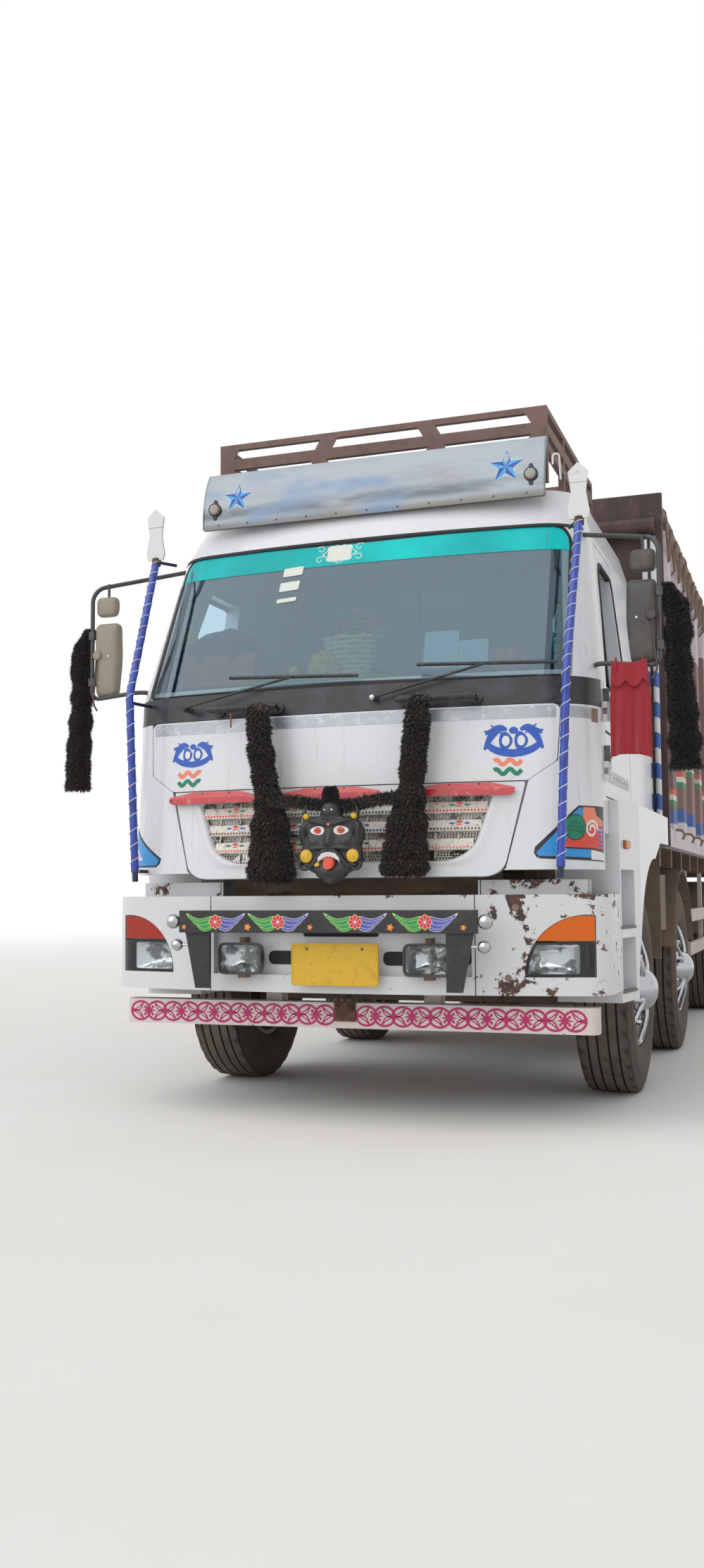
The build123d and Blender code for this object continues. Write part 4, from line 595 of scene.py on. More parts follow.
hub_red = Finish("hub_red", (122, 44, 32), 0.6)
hub_red.stain((16, 6, 0.7), (0.35, 0.6), (112, 92, 76), 0.9)
SEAM = -0.165
twin_rim = Shape()
for centre in (0.0, 2 * SEAM):
    twin_rim.turned([(centre - RIM_HALF, RIM_RADIUS - 0.022), (centre - RIM_HALF, RIM_RADIUS),
        (centre - 0.1, 0.282), (centre + 0.1, 0.282), (centre + RIM_HALF, RIM_RADIUS),
        (centre + RIM_HALF, 0.278), (centre + 0.1, 0.266), (centre - 0.106, 0.262),
        (centre - RIM_HALF, RIM_RADIUS - 0.022)], ORIGIN, 0, 60)
twin_rim.turned([(-0.11, 0.262), (-0.128, 0.255), (-0.136, 0.25)], ORIGIN, 0, 60)
holed_disc(twin_rim, -0.136, 0.19, 0.25, -0.01, 0)
twin_rim.turned([(-0.146, 0.19), (-0.148, 0.15), (-0.148, 0.126)], ORIGIN, 0, 60)
twin_rim.turned([(-0.19, 0.262), (-0.2, 0.12)], ORIGIN, 1, 40)
nut_ring(twin_rim, -0.148, 0)
twin_rim.turned([(-0.148, 0.126), (-0.09, 0.118), (-0.04, 0.112), (-0.034, 0.094), (-0.012, 0.088),
    (-0.006, 0.06), (-0.002, 0.05), (-0.002, 0.0005)], ORIGIN, 3, 48)
for k in range(8):
    angle = 2 * pi * k / 8
    twin_rim.tube([(-0.036, 0.102 * cos(angle), 0.102 * sin(angle)),
        (-0.024, 0.102 * cos(angle), 0.102 * sin(angle))], 0.008, 3, 6)

STEERED_WHEEL_X = 1.03
TWIN_OUTER_X = 1.05
TWIN_INNER_X = 0.72
for number in (1, 2, 3, 4):
    for side_name, side in (("left", 1), ("right", -1)):
        node_name = f"wheel_{number}_{side_name}"
        low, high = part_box(node_name)
        hub = Vector((0, (low.y + high.y) / 2, TYRE_RADIUS))
        steered = number < 3
        tyre_places = (STEERED_WHEEL_X,) if steered else (TWIN_OUTER_X, TWIN_INNER_X)
        rim_shape = steered_rim if steered else twin_rim
        rolled = Matrix.Rotation(0.37 * number + (side < 0), 4, "X")
        made = []
        for tyre_number, place_x in enumerate(tyre_places, start=1):
            made.append((f"tyre_{number}_{side_name}_{tyre_number}", tyre_shape, place_x,
                [tyre_rubber], "tyre"))
        made.append((f"rim_{number}_{side_name}", rim_shape, tyre_places[0],
            [rim_silver, rim_dark, chrome, hub_red], "wheel_paint"))
        for piece_name, shape, place_x, finishes, slot in made:
            spun = Shape()
            spun.add([rolled @ Vector(point) for point in shape.points], shape.faces)
            spun.coats = shape.coats
            piece = stand(piece_name, spun, finishes, node_name, slot)
            facing = Matrix.Rotation(0 if side > 0 else pi, 4, "Z")
            piece.matrix_world = Matrix.Translation(hub + Vector((side * place_x, 0, 0))) @ facing
            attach(piece, node_name)
            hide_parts(node_name)

spare_low, spare_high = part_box("spare_wheel")
SPARE_TOP = 0.77
SPARE_HALF_WIDTH = 0.144
spare_centre = Vector((0, (spare_low.y + spare_high.y) / 2, SPARE_TOP - SPARE_HALF_WIDTH))
spare_tyre = stand("spare_tyre", tyre_shape, [tyre_rubber], "chassis", "tyre")
spare_tyre.matrix_world = Matrix.Translation(spare_centre) @ Matrix.Rotation(pi / 2, 4, "Y")
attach(spare_tyre, "chassis")
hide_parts("spare_wheel")
spare_parts = Shape()
spare_parts.turned([(-RIM_HALF, 0.264), (-RIM_HALF, RIM_RADIUS), (-0.1, 0.282), (0.1, 0.282),
    (RIM_HALF, RIM_RADIUS), (RIM_HALF, 0.278), (0.1, 0.266), (0.03, 0.255), (0.03, 0.11),
    (0.02, 0.11), (0.02, 0.25), (-RIM_HALF, 0.264)], spare_centre, 0, 60, "Z")
SPARE_ARM_END = spare_centre.y + 0.15 - 0.03
spare_parts.block((-0.15, 0.15), (spare_centre.y - 0.03, spare_centre.y + 0.03), (0.572, 0.586), 1)
spare_parts.tube([(0, spare_centre.y, 0.576), (0, spare_centre.y, 0.96)], 0.015, 1)
spare_parts.block((-0.02, 0.02), (spare_centre.y, SPARE_ARM_END), (0.94, 0.98), 1)
stand("spare_rim", spare_parts, [rim_silver, chassis_black], "chassis", "wheel_paint",
    soft=0.002, replaces="spare_wheel")

# Tank, battery box and guards: a rolled steel tank in straps on the right, a moulded box
# on the left, bent mudguard sheets with rubber flaps, and white pipe guards at the sides.
tank_steel = Finish("tank_steel", (124, 122, 120), 0.42, 0.6)
tank_steel.stain((11, 7, 0.7), (0.55, 0.68), (106, 66, 44), 0.85, 0.0)
tank_steel.dusty(DUST, 0.7, 6.0, 0.05)
tank_steel.grain(0.001, 70, 3)
dress("fuel_tank", tank_steel)
box_plastic = Finish("box_plastic", (46, 45, 45), 0.6)
box_plastic.grain(0.0006, 500, 2)
box_plastic.dusty(DUST, 0.75, 6.0, 0.05)
dress("battery_box", box_plastic)
guard_black = Finish("guard_black", (40, 38, 37), 0.7)
guard_black.grain(0.0008, 320, 3)
guard_black.dusty(DUST, 0.8, 5.0, 0.08)
dress("front_mudguards", guard_black)
dress("rear_mudguards", guard_black)
rail_white = Finish("rail_white", (214, 210, 204), 0.5)
rail_white.stain((13, 7, 0.7), (0.6, 0.7), (116, 74, 52), 0.85)
rail_white.dusty(DUST, 0.45, 6.0, 0.04)
rail_white.grain(0.0008, 80, 3)
dress("side_guards", rail_white)


def oblong(low_u, high_u, low_v, high_v):
    foot = [(low_u, low_v), (high_u, low_v)]
    return foot + [(high_u, high_v), (low_u, high_v)]


straps = Shape()
TANK_LOW, TANK_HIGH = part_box("fuel_tank")
TANK_MIDDLE = (TANK_LOW + TANK_HIGH) / 2
TANK_ROUND = 0.1
STRAP_HALF = 0.03
STRAP_PROUD = 1.012
for share in (0.2, 0.8):
    station = TANK_LOW.y + (TANK_HIGH.y - TANK_LOW.y) * share
    ring = []
    for x, z in oblong(TANK_LOW.x, TANK_HIGH.x, TANK_LOW.z, TANK_HIGH.z):
        corner_x = TANK_ROUND if x < TANK_MIDDLE.x else -TANK_ROUND
        corner_z = TANK_ROUND if z < TANK_MIDDLE.z else -TANK_ROUND
        for turn_share in range(7):
            angle = pi / 2 * turn_share / 6
            first, second = (sin(angle), cos(angle))
            if (corner_x > 0) == (corner_z > 0):
                first, second = second, first
            ring.append((x + corner_x - corner_x * first * 1.03,
                z + corner_z - corner_z * second * 1.03))
    rows = []
    for x, z in ring:
        away_x, away_z = x - TANK_MIDDLE.x, z - TANK_MIDDLE.z
        rows.append([(TANK_MIDDLE.x + away_x * grow, station + shift, TANK_MIDDLE.z + away_z * grow)
            for grow, shift in ((STRAP_PROUD, -STRAP_HALF), (STRAP_PROUD, STRAP_HALF),
            (1.0, STRAP_HALF), (1.0, -STRAP_HALF))])
    straps.rows(rows, ring=True, loop=True)
stand("tank_straps", straps, [chassis_black])
cap = Shape()
cap.turned([(0.0, 0.0005), (0.0, 0.05), (0.02, 0.052), (0.026, 0.045), (0.03, 0.02), (0.03, 0.0005)],
    (TANK_LOW.x + 0.16, TANK_LOW.y + 0.25, TANK_HIGH.z), axis="Z", steps=32)
stand("tank_cap", cap, [tank_steel], soft=0.001)

# Load body: ribbed sheet sides on a bearer floor, painted by hand: a white foot, a blue
# band and little stepped flags over it, dusty mauve sheets, white again under the rail.
RIB_PITCH = 0.625
STRIP = RIB_PITCH / 2
FIRST_RIB = FRONT + 2.44 + RIB_PITCH / 4
BODY_MAUVE = (132, 96, 100)
body_paint = Finish("body_paint", BODY_MAUVE, 0.6)
height_up = body_paint.axis("Z")
strip_number = body_paint.sum("FLOOR",
    body_paint.sum("DIVIDE", body_paint.sum("SUBTRACT", body_paint.axis("Y"), FIRST_RIB), STRIP))
body_paint.stain((3.5, 6, 0.6, (1, 1, 0.25)), (0.42, 0.62), (104, 74, 78))
# Every other strip, on the ribs, is painted lighter than the valleys: a painted highlight where the
# ribs catch the light.
rib_highlight_strip = body_paint.zigzag(strip_number, 1.0)
body_paint.coat(body_paint.times(rib_highlight_strip, 0.45), (176, 132, 138))
FOOT_TOP = 1.43
foot_step = body_paint.sum("MULTIPLY_ADD", body_paint.zigzag(strip_number, 3.0), 0.018, FOOT_TOP)
above_foot = body_paint.sum("SUBTRACT", height_up, foot_step)
body_paint.coat(body_paint.ramp(above_foot, 0.002, -0.002), (212, 206, 214))
body_paint.coat(body_paint.between(above_foot, 0.0, 0.085), (24, 92, 170))
flag_step = body_paint.sum("MULTIPLY_ADD", body_paint.zigzag(strip_number, 5.0), 0.06, 0.11)
above_flag = body_paint.sum("SUBTRACT", above_foot, flag_step)
for low, colour in ((0.0, (0, 140, 100)), (0.034, (226, 226, 214)), (0.068, (216, 96, 66))):
    body_paint.coat(body_paint.between(above_flag, low, low + 0.034), colour)
crown_step = body_paint.sum("MULTIPLY_ADD", body_paint.zigzag(strip_number, 2.0), -0.07, 2.86)
body_paint.coat(body_paint.ramp(body_paint.sum("SUBTRACT", height_up, crown_step), -0.003, 0.003),
    (206, 196, 202))
body_paint.coat(body_paint.ramp(height_up, 3.235, 3.245), (104, 82, 74))
streaks = body_paint.cloud(9, 5, 0.7, (1, 1, 0.08))
body_paint.coat(body_paint.times(body_paint.ramp(streaks, 0.5, 0.72), 0.55), (96, 80, 70), 0.8)
body_paint.stain((16, 8, 0.75), (0.62, 0.7), (92, 62, 46), 0.85)
body_paint.dusty(DUST, 0.28, 4.0, 0.05)
body_paint.grain(0.006, 6, 3)
body_paint.grain(0.0012, 60, 4)
wall_brown = Finish("wall_brown", (86, 66, 62), 0.7)
wall_brown.stain((7, 7, 0.7, (1, 1, 0.2)), (0.4, 0.65), (60, 46, 44))
wall_brown.stain((20, 6, 0.75), (0.58, 0.7), (124, 104, 92), 0.8)
wall_brown.grain(0.003, 30, 5, 0.7, (1, 1, 0.3))
inside_boards = Finish("inside_boards", (112, 92, 76), 0.8).mottle((12, 6, 0.7, (1, 0.1, 1)),
    (78, 62, 50))
inside_boards.coat(inside_boards.ramp(inside_boards.zigzag(inside_boards.axis("X"), 0.0725),
    0.003, 0.001), (28, 22, 18))
inside_boards.dusty(DUST, 0.5, 8.0, 0.05)
dress("bed_sides", body_paint)
dress("bed_front_wall", wall_brown)
dress("bed_floor", inside_boards)
for node_name in ("tailboard", "rear_door_left", "rear_door_right"):
    dress(node_name, body_paint)

BODY_HALF_WIDTH = 1.22
BODY_START = FRONT + 2.44
TIE_PITCH = 0.305
RAIL_UNDERSIDE = 3.265
ties = Shape()
for side in (-1, 1):
    outer = side * (BODY_HALF_WIDTH + 0.008)
    for number in range(24):
        start = BODY_START + 0.08 + number * TIE_PITCH
        ties.tube([(outer, start, RAIL_UNDERSIDE), (outer + side * 0.004, start + 0.15, 3.06),
            (outer - side * 0.03, start + 0.17, 3.03)], 0.008, sides=6)
        ties.tube([(outer, start + 0.29, RAIL_UNDERSIDE),
            (outer + side * 0.004, start + 0.16, 3.06)], 0.008, sides=6)
        ties.block((outer - side * 0.03, outer + side * 0.012), (start - 0.012, start + 0.012),
            (3.255, 3.29))
    for number in range(12):
        station = BODY_START + 0.31 + number * RIB_PITCH
        hook = [(outer - side * 0.04, station, 1.4), (outer + side * 0.03, station, 1.39),
            (outer + side * 0.045, station, 1.36), (outer + side * 0.03, station, 1.335)]
        ties.tube(hook, 0.008, sides=6)
tie_steel = Finish("tie_steel", (150, 132, 116), 0.7).mottle((24, 5), (98, 74, 60), 0.8)
stand("rail_ties_and_hooks", ties, [tie_steel])

SHEET_ROLL_HEIGHT = 3.345
ROLL_TURNS = 3
ROLL_LENGTH = 7.2
rolls = []
for side, side_name in ((-1, "right"), (1, "left")):
    roll = Shape()
    rows = []
    for number in range(61):
        station = BODY_START + 0.1 + ROLL_LENGTH * number / 60
        swell = 0.036 + 0.006 * sin(number * 1.7) + 0.004 * sin(number * 0.6 + side)
        if number % 10 == 0:
            swell *= 0.72
        row = []
        for k in range(16 * ROLL_TURNS + 1):
            reach = swell * (1 - 0.3 * k / (16 * ROLL_TURNS))
            angle = side * 2 * pi * k / 16
            row.append((side * (BODY_HALF_WIDTH - 0.045) + reach * cos(angle),
                station, SHEET_ROLL_HEIGHT + 0.01 + reach * 0.8 * sin(angle)))
        rows.append(row)
    roll.rows(rows)
    rolls.append((side_name, roll))
canvas_tan = Finish("canvas_tan", (150, 132, 112), 0.85).mottle((9, 6), (112, 92, 80))
weave = canvas_tan.times(canvas_tan.zigzag(canvas_tan.axis("Y"), 0.003),
    canvas_tan.zigzag(canvas_tan.axis("Z"), 0.003))
canvas_tan.emboss(canvas_tan.times(weave, 100000.0), 0.0006)
canvas_tan.grain(0.008, 25, 5)
for side_name, roll in rolls:
    tarp = stand(f"rolled_tarpaulin_{side_name}", roll, [canvas_tan], sharp=80)
    tarp.modifiers.new("thickness", "SOLIDIFY").thickness = 0.0015

# Cab: welded sheet pressings, white, with a bowed front that turns into tight corners and
# leans back over the belt line; the roof cap's front edge is the white visor band.
CAB_LEVELS = (  # height, half width, front, front radius, corner radius, back
    (1.090, 1.150, 0.030, 8.0, 0.270, 2.15),
    (1.972, 1.150, 0.095, 8.0, 0.270, 2.15),
    (2.740, 1.060, 0.414, 6.5, 0.240, 2.15),
    (2.950, 1.000, 0.560, 6.0, 0.220, 2.11),
)


def plan_point(level, across):
    """Where a cab level's outline is, across metres round it from the middle of the front."""
    height, half, front, bow, corner, back = level
    turn_x = half - corner
    centre = front + bow
    turn_y = centre - sqrt((bow - corner) ** 2 - turn_x ** 2)
    lean = atan2(turn_x, centre - turn_y)
    front_run = bow * lean
    corner_run = corner * (pi / 2 - lean)
    if across <= front_run:
        return bow * sin(across / bow), centre - bow * cos(across / bow)
    if across <= front_run + corner_run:
        angle = lean + (across - front_run) / corner
        return turn_x + corner * sin(angle), turn_y - corner * cos(angle)
    return half, turn_y + across - front_run - corner_run


def skin_point(across, height):
    side = -1 if across < 0 else 1
    for low, high in zip(CAB_LEVELS, CAB_LEVELS[1:]):
        if height <= high[0]:
            break
    share = (height - low[0]) / (high[0] - low[0])
    first = plan_point(low, abs(across))
    second = plan_point(high, abs(across))
    return Vector((side * (first[0] + (second[0] - first[0]) * share),
        FRONT + first[1] + (second[1] - first[1]) * share, height))


def on_cab(across, height, out=0.0):
    """A point on the cab's skin, or out metres proud of it; across follows the skin round."""
    place = skin_point(across, height)
    if not out:
        return place
    along = skin_point(across + 0.004, height) - skin_point(across - 0.004, height)
    up = skin_point(across, height + 0.004) - skin_point(across, height - 0.004)
    return place + along.cross(up).normalized() * out


def inlay(shape, outline, place, coat=0, proud=0.0014, step=0.05, back=0.0):
    """A film or plate cut to a flat outline and bent over a curved skin."""
    cut = bmesh.new()
    cut.faces.new([cut.verts.new((u, v, 0)) for u, v in outline])
    low = min(u for u, v in outline)
    high = max(u for u, v in outline)
    number = ceil((high - low) / step)
    for k in range(1, number):
        across = low + (high - low) * k / number
        whole = cut.verts[:] + cut.edges[:] + cut.faces[:]
        bmesh.ops.bisect_plane(cut, geom=whole, plane_co=(across, 0, 0), plane_no=(1, 0, 0))
    cut.verts.index_update()
    count = len(cut.verts)
    points = [place(v.co.x, v.co.y, proud) for v in cut.verts]
    points += [place(v.co.x, v.co.y, back) for v in cut.verts]
    faces = []
    for face in cut.faces:
        loop = [v.index for v in face.verts]
        faces += [loop, [count + index for index in reversed(loop)]]
    for edge in cut.edges:
        if edge.is_boundary:
            first, second = (v.index for v in edge.verts)
            faces.append([first, second, count + second, count + first])
    cut.free()
    return shape.add(points, faces, coat)


def disc(u, v, radius, steps=24, squash=1.0):
    return [(u + radius * cos(2 * pi * k / steps), v + radius * squash * sin(2 * pi * k / steps))
        for k in range(steps)]


def ribbon(route, width):
    """The outline of a stroke along a route of (u, v) points; width is one number or a list."""
    widths = [width] * len(route) if isinstance(width, (int, float)) else width
    left, right = [], []
    for i, (u, v) in enumerate(route):
        before = route[max(i - 1, 0)]
        after = route[min(i + 1, len(route) - 1)]
        du, dv = after[0] - before[0], after[1] - before[1]
        size = hypot(du, dv)
        left.append((u - dv / size * widths[i] / 2, v + du / size * widths[i] / 2))
        right.append((u + dv / size * widths[i] / 2, v - du / size * widths[i] / 2))
    return left + right[::-1]


cab_white = Finish("cab_white", (222, 224, 228), 0.3, Coat_Weight=0.35, Coat_Roughness=0.12)
cab_white.coat(cab_white.times(cab_white.cloud(2.2, 6, 0.6), 0.5), (204, 207, 213))
cab_white.stain((13, 8, 0.75), (0.66, 0.74), (150, 134, 118), 0.7)
streaks = cab_white.cloud(22, 5, 0.7, (1, 1, 0.06))
cab_white.coat(cab_white.times(cab_white.ramp(streaks, 0.55, 0.78), 0.35), (150, 144, 138), 0.6)
cab_white.dusty(DUST, 0.1, 5.0, 0.03)
cab_white.grain(0.003, 2.5, 2)
cab_white.grain(0.0002, 300, 2)
for node_name in ("cab_shell", "roof_cap", "door_left", "door_right", "front_flap",
        "corner_panels", "arch_panels"):
    dress(node_name, cab_white)

seam_rubber = Finish("seam_rubber", (26, 26, 27), 0.7)
seam_rubber.grain(0.0005, 200, 3)
seams = Shape()
VISOR_LOW = 2.744
inlay(seams, oblong(-1.1, 1.1, VISOR_LOW - 0.014, VISOR_LOW), on_cab, 0, 0.004)
stand("visor_seam", seams, [seam_rubber])

# Front flap and corner panels: pressed steel covers, with tight dark gaps between them; the
# flap lifts for the coolant and the washer bottle. Films and paint are laid on both.
film_grey = Finish("film_grey", (158, 163, 170), 0.3, 0.5)
film_grey.stain((26, 6, 0.7), (0.5, 0.7), (198, 200, 204), 0.5)
film_grey.emboss(film_grey.cells(260), 0.0004)
film_brown = Finish("film_brown", (132, 104, 78), 0.4, 0.3).mottle((40, 5), (96, 78, 62))
film_blue = Finish("film_blue", (28, 76, 168), 0.35).mottle((12, 4), (38, 92, 190))
film_sky = Finish("film_sky", (40, 136, 204), 0.35).mottle((14, 4), (56, 150, 214))
film_orange = Finish("film_orange", (226, 122, 92), 0.45).mottle((30, 4), (234, 142, 116))
film_green = Finish("film_green", (0, 112, 86), 0.45).mottle((30, 4), (24, 128, 98))
film_red = Finish("film_red", (196, 48, 44), 0.4).mottle((22, 4), (222, 86, 66))
film_black = Finish("film_black", (22, 24, 30), 0.4).mottle((30, 4), (44, 46, 52))
film_white = Finish("film_white", (232, 232, 230), 0.4).mottle((30, 4), (214, 214, 212))
films = [film_grey, film_brown, film_blue, film_sky, film_orange, film_green, film_red,
    film_black, film_white]
GREY, BROWN, BLUE, SKY, ORANGE, GREEN, RED, BLACK, WHITE = range(9)

flap_films = Shape()
inlay(flap_films, oblong(-0.985, 0.985, 1.783, 1.838), on_cab, GREY)
for side in (-1, 1):
    for height, coat in ((1.59, ORANGE), (1.548, GREEN)):
        wave = []
        for k in range(25):
            u = k / 24
            wave.append((side * 0.775 + 0.122 * (u - 0.5),
                height + 0.011 * sin(u * 4 * pi * side + 0.6)))
        inlay(flap_films, ribbon(wave, 0.019), on_cab, coat)
    centre_u, centre_v = side * 0.8 + (0.04 if side < 0 else 0.0), 1.682
    size = 1.0 if side > 0 else 0.84
    crescent = []
    for k in range(33):
        angle = pi * (1.02 + 0.96 * k / 32)
        crescent.append((centre_u + size * 0.128 * cos(angle), centre_v + size * 0.07 * sin(angle)))
    for k in range(33):
        angle = pi * (1.98 - 0.96 * k / 32)
        crescent.append((centre_u + size * 0.112 * cos(angle),
            centre_v + size * (0.016 + 0.052 * sin(angle))))
    inlay(flap_films, crescent, on_cab, BLUE)
    for turn_side in (-1, 1):
        wing = []
        for k in range(17):
            u = k / 16
            wing.append((centre_u + turn_side * size * (0.03 + 0.098 * u),
                centre_v + size * (0.05 - 0.085 * u * u + 0.02 * sin(u * pi))))
        inlay(flap_films, ribbon(wing,
            [size * (0.012 + 0.026 * sin(pi * k / 16)) for k in range(17)]), on_cab, BLUE)
        petal = []
        for k in range(20):
            angle = 2 * pi * k / 20
            petal.append((centre_u + turn_side * size * (0.034 + 0.03 * cos(angle)),
                centre_v + size * (0.002 + 0.04 * sin(angle) * (1 - 0.3 * cos(angle) * turn_side))))
        inlay(flap_films, petal, on_cab, BLUE, 0.0014)
        inlay(flap_films, disc(centre_u + turn_side * size * 0.034, centre_v + size * 0.002,
            size * 0.017, 20, 1.35), on_cab, WHITE, 0.002)
        staff = [(centre_u + turn_side * size * 0.052, centre_v + size * 0.034),
            (centre_u + turn_side * size * 0.1, centre_v + size * 0.074)]
        inlay(flap_films, ribbon(staff, size * 0.006), on_cab, BLUE)
        tip_u, tip_v = staff[1]
        pennant = [(tip_u, tip_v), (tip_u - turn_side * 0.006, tip_v - 0.012)]
        pennant += [(tip_u + turn_side * size * u, tip_v - size * v) for u,
            v in ((0.012, 0.022), (0.034, 0.026), (0.024, 0.034), (0.026, 0.044), (-0.004, 0.04),
            (-0.03, 0.026))]
        inlay(flap_films, pennant if turn_side > 0 else pennant[::-1], on_cab, BLUE)
    inlay(flap_films, disc(centre_u, centre_v + size * 0.048, size * 0.02, 18, 0.8), on_cab, BLUE)
    inlay(flap_films, disc(centre_u, centre_v - size * 0.06, size * 0.012, 14), on_cab, BLUE, 0.0016)
stand("flap_films", flap_films, films, sharp=60)

corner_films = Shape()
for outline, coat, proud in (([(1.012, 1.786), (1.166, 1.784), (1.166, 1.834), (1.012, 1.838)],
        GREY, 0.0014), ([(1.17, 1.772), (1.222, 1.77), (1.222, 1.832), (1.17, 1.834)], BROWN, 0.0014),
        ([(-0.925, 1.166), (-0.917, 1.19), (-1.15, 1.345), (-1.2, 1.345), (-1.2, 1.15),
        (-0.945, 1.15)], BLACK, 0.001),
        ([(-0.935, 1.17), (-0.93, 1.184), (-1.15, 1.332), (-1.196, 1.332), (-1.196, 1.158),
        (-0.948, 1.158)], SKY, 0.0018),
        ([(-1.05, 1.186), (-1.19, 1.186), (-1.19, 1.286)], WHITE, 0.0022),
        ([(-1.085, 1.196), (-1.185, 1.196), (-1.185, 1.266)], RED, 0.0026),
        ([(0.888, 1.188), (0.9, 1.17), (0.92, 1.164), (1.276, 1.15), (1.276, 1.395), (1.09, 1.395),
        (1.06, 1.372), (0.892, 1.214)], BLACK, 0.001),
        ([(0.898, 1.19), (0.91, 1.176), (1.16, 1.168), (1.16, 1.202), (0.995, 1.208), (1.11, 1.33),
        (1.11, 1.385), (1.092, 1.385), (1.066, 1.364)], SKY, 0.0018),
        ([(1.16, 1.16), (1.274, 1.156), (1.274, 1.19), (1.16, 1.202)], WHITE, 0.0018),
        ([(1.004, 1.215), (1.266, 1.206), (1.266, 1.262), (1.18, 1.29), (1.098, 1.312)], RED, 0.0018),
        ([(1.112, 1.318), (1.262, 1.262), (1.262, 1.33), (1.2, 1.352), (1.185, 1.388),
        (1.112, 1.388)], ORANGE, 0.0018)):
    inlay(corner_films, outline, on_cab, coat, proud, 0.02)
for number in range(5):
    low = 1.218 + 0.02 * number
    inlay(corner_films, [(1.215, low), (1.262, low - 0.003), (1.262, low + 0.006),
        (1.215, low + 0.009)], on_cab, BLUE, 0.0024, 0.02)
swirl = [(1.165 + (0.042 - 0.032 * k / 30) * cos(0.33 * k),
    1.292 + (0.042 - 0.032 * k / 30) * sin(0.33 * k)) for k in range(31)]
inlay(corner_films, ribbon(swirl, 0.01), on_cab, WHITE, 0.0024, 0.02)
inlay(corner_films, disc(1.072, 1.3, 0.055, 28, 1.05), on_cab, BLACK, 0.0026, 0.02)
inlay(corner_films, disc(1.072, 1.3, 0.051, 28, 1.05), on_cab, GREEN, 0.0032, 0.02)
for bend in (-0.018, 0.0, 0.018):
    curl = [(1.032 + 0.08 * k / 10, 1.276 + bend + 0.03 * sin(pi * k / 10)) for k in range(11)]
    inlay(corner_films, ribbon(curl, 0.0022), on_cab, BLACK, 0.0038, 0.02)
stand("corner_films", corner_films, films, sharp=60)

# Grille: a pressed surround with a rounded opening; three painted slat bands and a
# honeycomb sheet behind it, dotted and diamonded by hand, under three red acrylic plates.
def spread_from(outline, centre, angle):
    """How far an outline lies from its centre in one direction."""
    run, rise = cos(angle), sin(angle)
    far = 0.0
    for (x1, z1), (x2, z2) in zip(outline, outline[1:] + outline[:1]):
        dx, dz = x2 - x1, z2 - z1
        cross = run * dz - rise * dx
        if abs(cross) > 1e-12:
            away = ((x1 - centre[0]) * dz - (z1 - centre[1]) * dx) / cross
            share = ((x1 - centre[0]) * rise - (z1 - centre[1]) * run) / cross
            if away > 0 and -1e-9 <= share <= 1 + 1e-9:
                far = max(far, away)
    return far


def rounded(outline, radius, steps=6):
    """The outline with each corner turned by a curve that starts radius away from it."""
    points = []
    for i, (x, z) in enumerate(outline):
        before = outline[i - 1]
        after = outline[(i + 1) % len(outline)]
        size = radius[i] if isinstance(radius, (list, tuple)) else radius
        first = Vector((before[0] - x, before[1] - z))
        second = Vector((after[0] - x, after[1] - z))
        size = min(size, first.length / 2.01, second.length / 2.01)
        start = Vector((x, z)) + first.normalized() * size
        end = Vector((x, z)) + second.normalized() * size
        for k in range(steps + 1):
            t = k / steps
            point = start * (1 - t) ** 2 + Vector((x, z)) * (2 * t * (1 - t)) + end * t * t
            points.append((point.x, point.y))
    return points


PANEL_EDGE = rounded([(-0.7, 1.09), (0.7, 1.09), (0.762, 1.125), (0.853, 1.503), (-0.853, 1.503),
    (-0.762, 1.125)], [0.1, 0.1, 0.05, 0.012, 0.012, 0.05])
GRILLE_OPENING = rounded([(-0.52, 1.163), (0.52, 1.163), (0.62, 1.215), (0.702, 1.446),
    (-0.702, 1.446), (-0.62, 1.215)], [0.05, 0.05, 0.09, 0.02, 0.02, 0.09])
GRILLE_MIDDLE = (0.0, 1.3)
angles = {atan2(z - GRILLE_MIDDLE[1], x - GRILLE_MIDDLE[0]) for x, z in PANEL_EDGE + GRILLE_OPENING}
angles |= {2 * pi * k / 160 - pi for k in range(160)}
angles = sorted(angles)
panel = Shape()
rows = []
for share, out in ((0, -0.034), (0, -0.003), (0.006, 0.0), (0.25, 0.0), (0.5, 0.0), (0.72, 0.0),
        (0.8, 0.005), (0.9, 0.004), (0.97, -0.006), (1.0, -0.034), (0.5, -0.034)):
    row = []
    for angle in angles:
        outer = spread_from(PANEL_EDGE, GRILLE_MIDDLE, angle)
        inner = spread_from(GRILLE_OPENING, GRILLE_MIDDLE, angle)
        reach = outer + (inner - outer) * share
        row.append(on_cab(GRILLE_MIDDLE[0] + reach * cos(angle),
            GRILLE_MIDDLE[1] + reach * sin(angle), out))
    rows.append(row)
panel.rows(rows, 0, ring=True, loop=True)
stand("grille_surround", panel, [cab_white], slot="white_paint", sharp=50, replaces="grille_panel")

slat_white = Finish("slat_white", (222, 218, 210), 0.5)
slat_white.stain((22, 8, 0.75), (0.6, 0.64), (42, 38, 36), 0.8)
slat_white.stain((60, 6, 0.7), (0.5, 0.66), (176, 160, 140), 0.7)
slat_white.grain(0.0006, 120, 4)
mesh_white = Finish("mesh_white", (204, 200, 192), 0.6)
mesh_white.stain((11, 8, 0.75), (0.52, 0.55), (34, 31, 30), 0.8)
mesh_white.stain((50, 5, 0.7), (0.5, 0.7), (150, 134, 116), 0.8)
mesh_white.grain(0.0005, 200, 3)


def opening_half(height):
    """Half the opening's width at a height."""
    best = 0.0
    for (x1, z1), (x2, z2) in zip(GRILLE_OPENING, GRILLE_OPENING[1:] + GRILLE_OPENING[:1]):
        if min(z1, z2) <= height <= max(z1, z2) and z1 != z2:
            best = max(best, x1 + (x2 - x1) * (height - z1) / (z2 - z1))
    return best


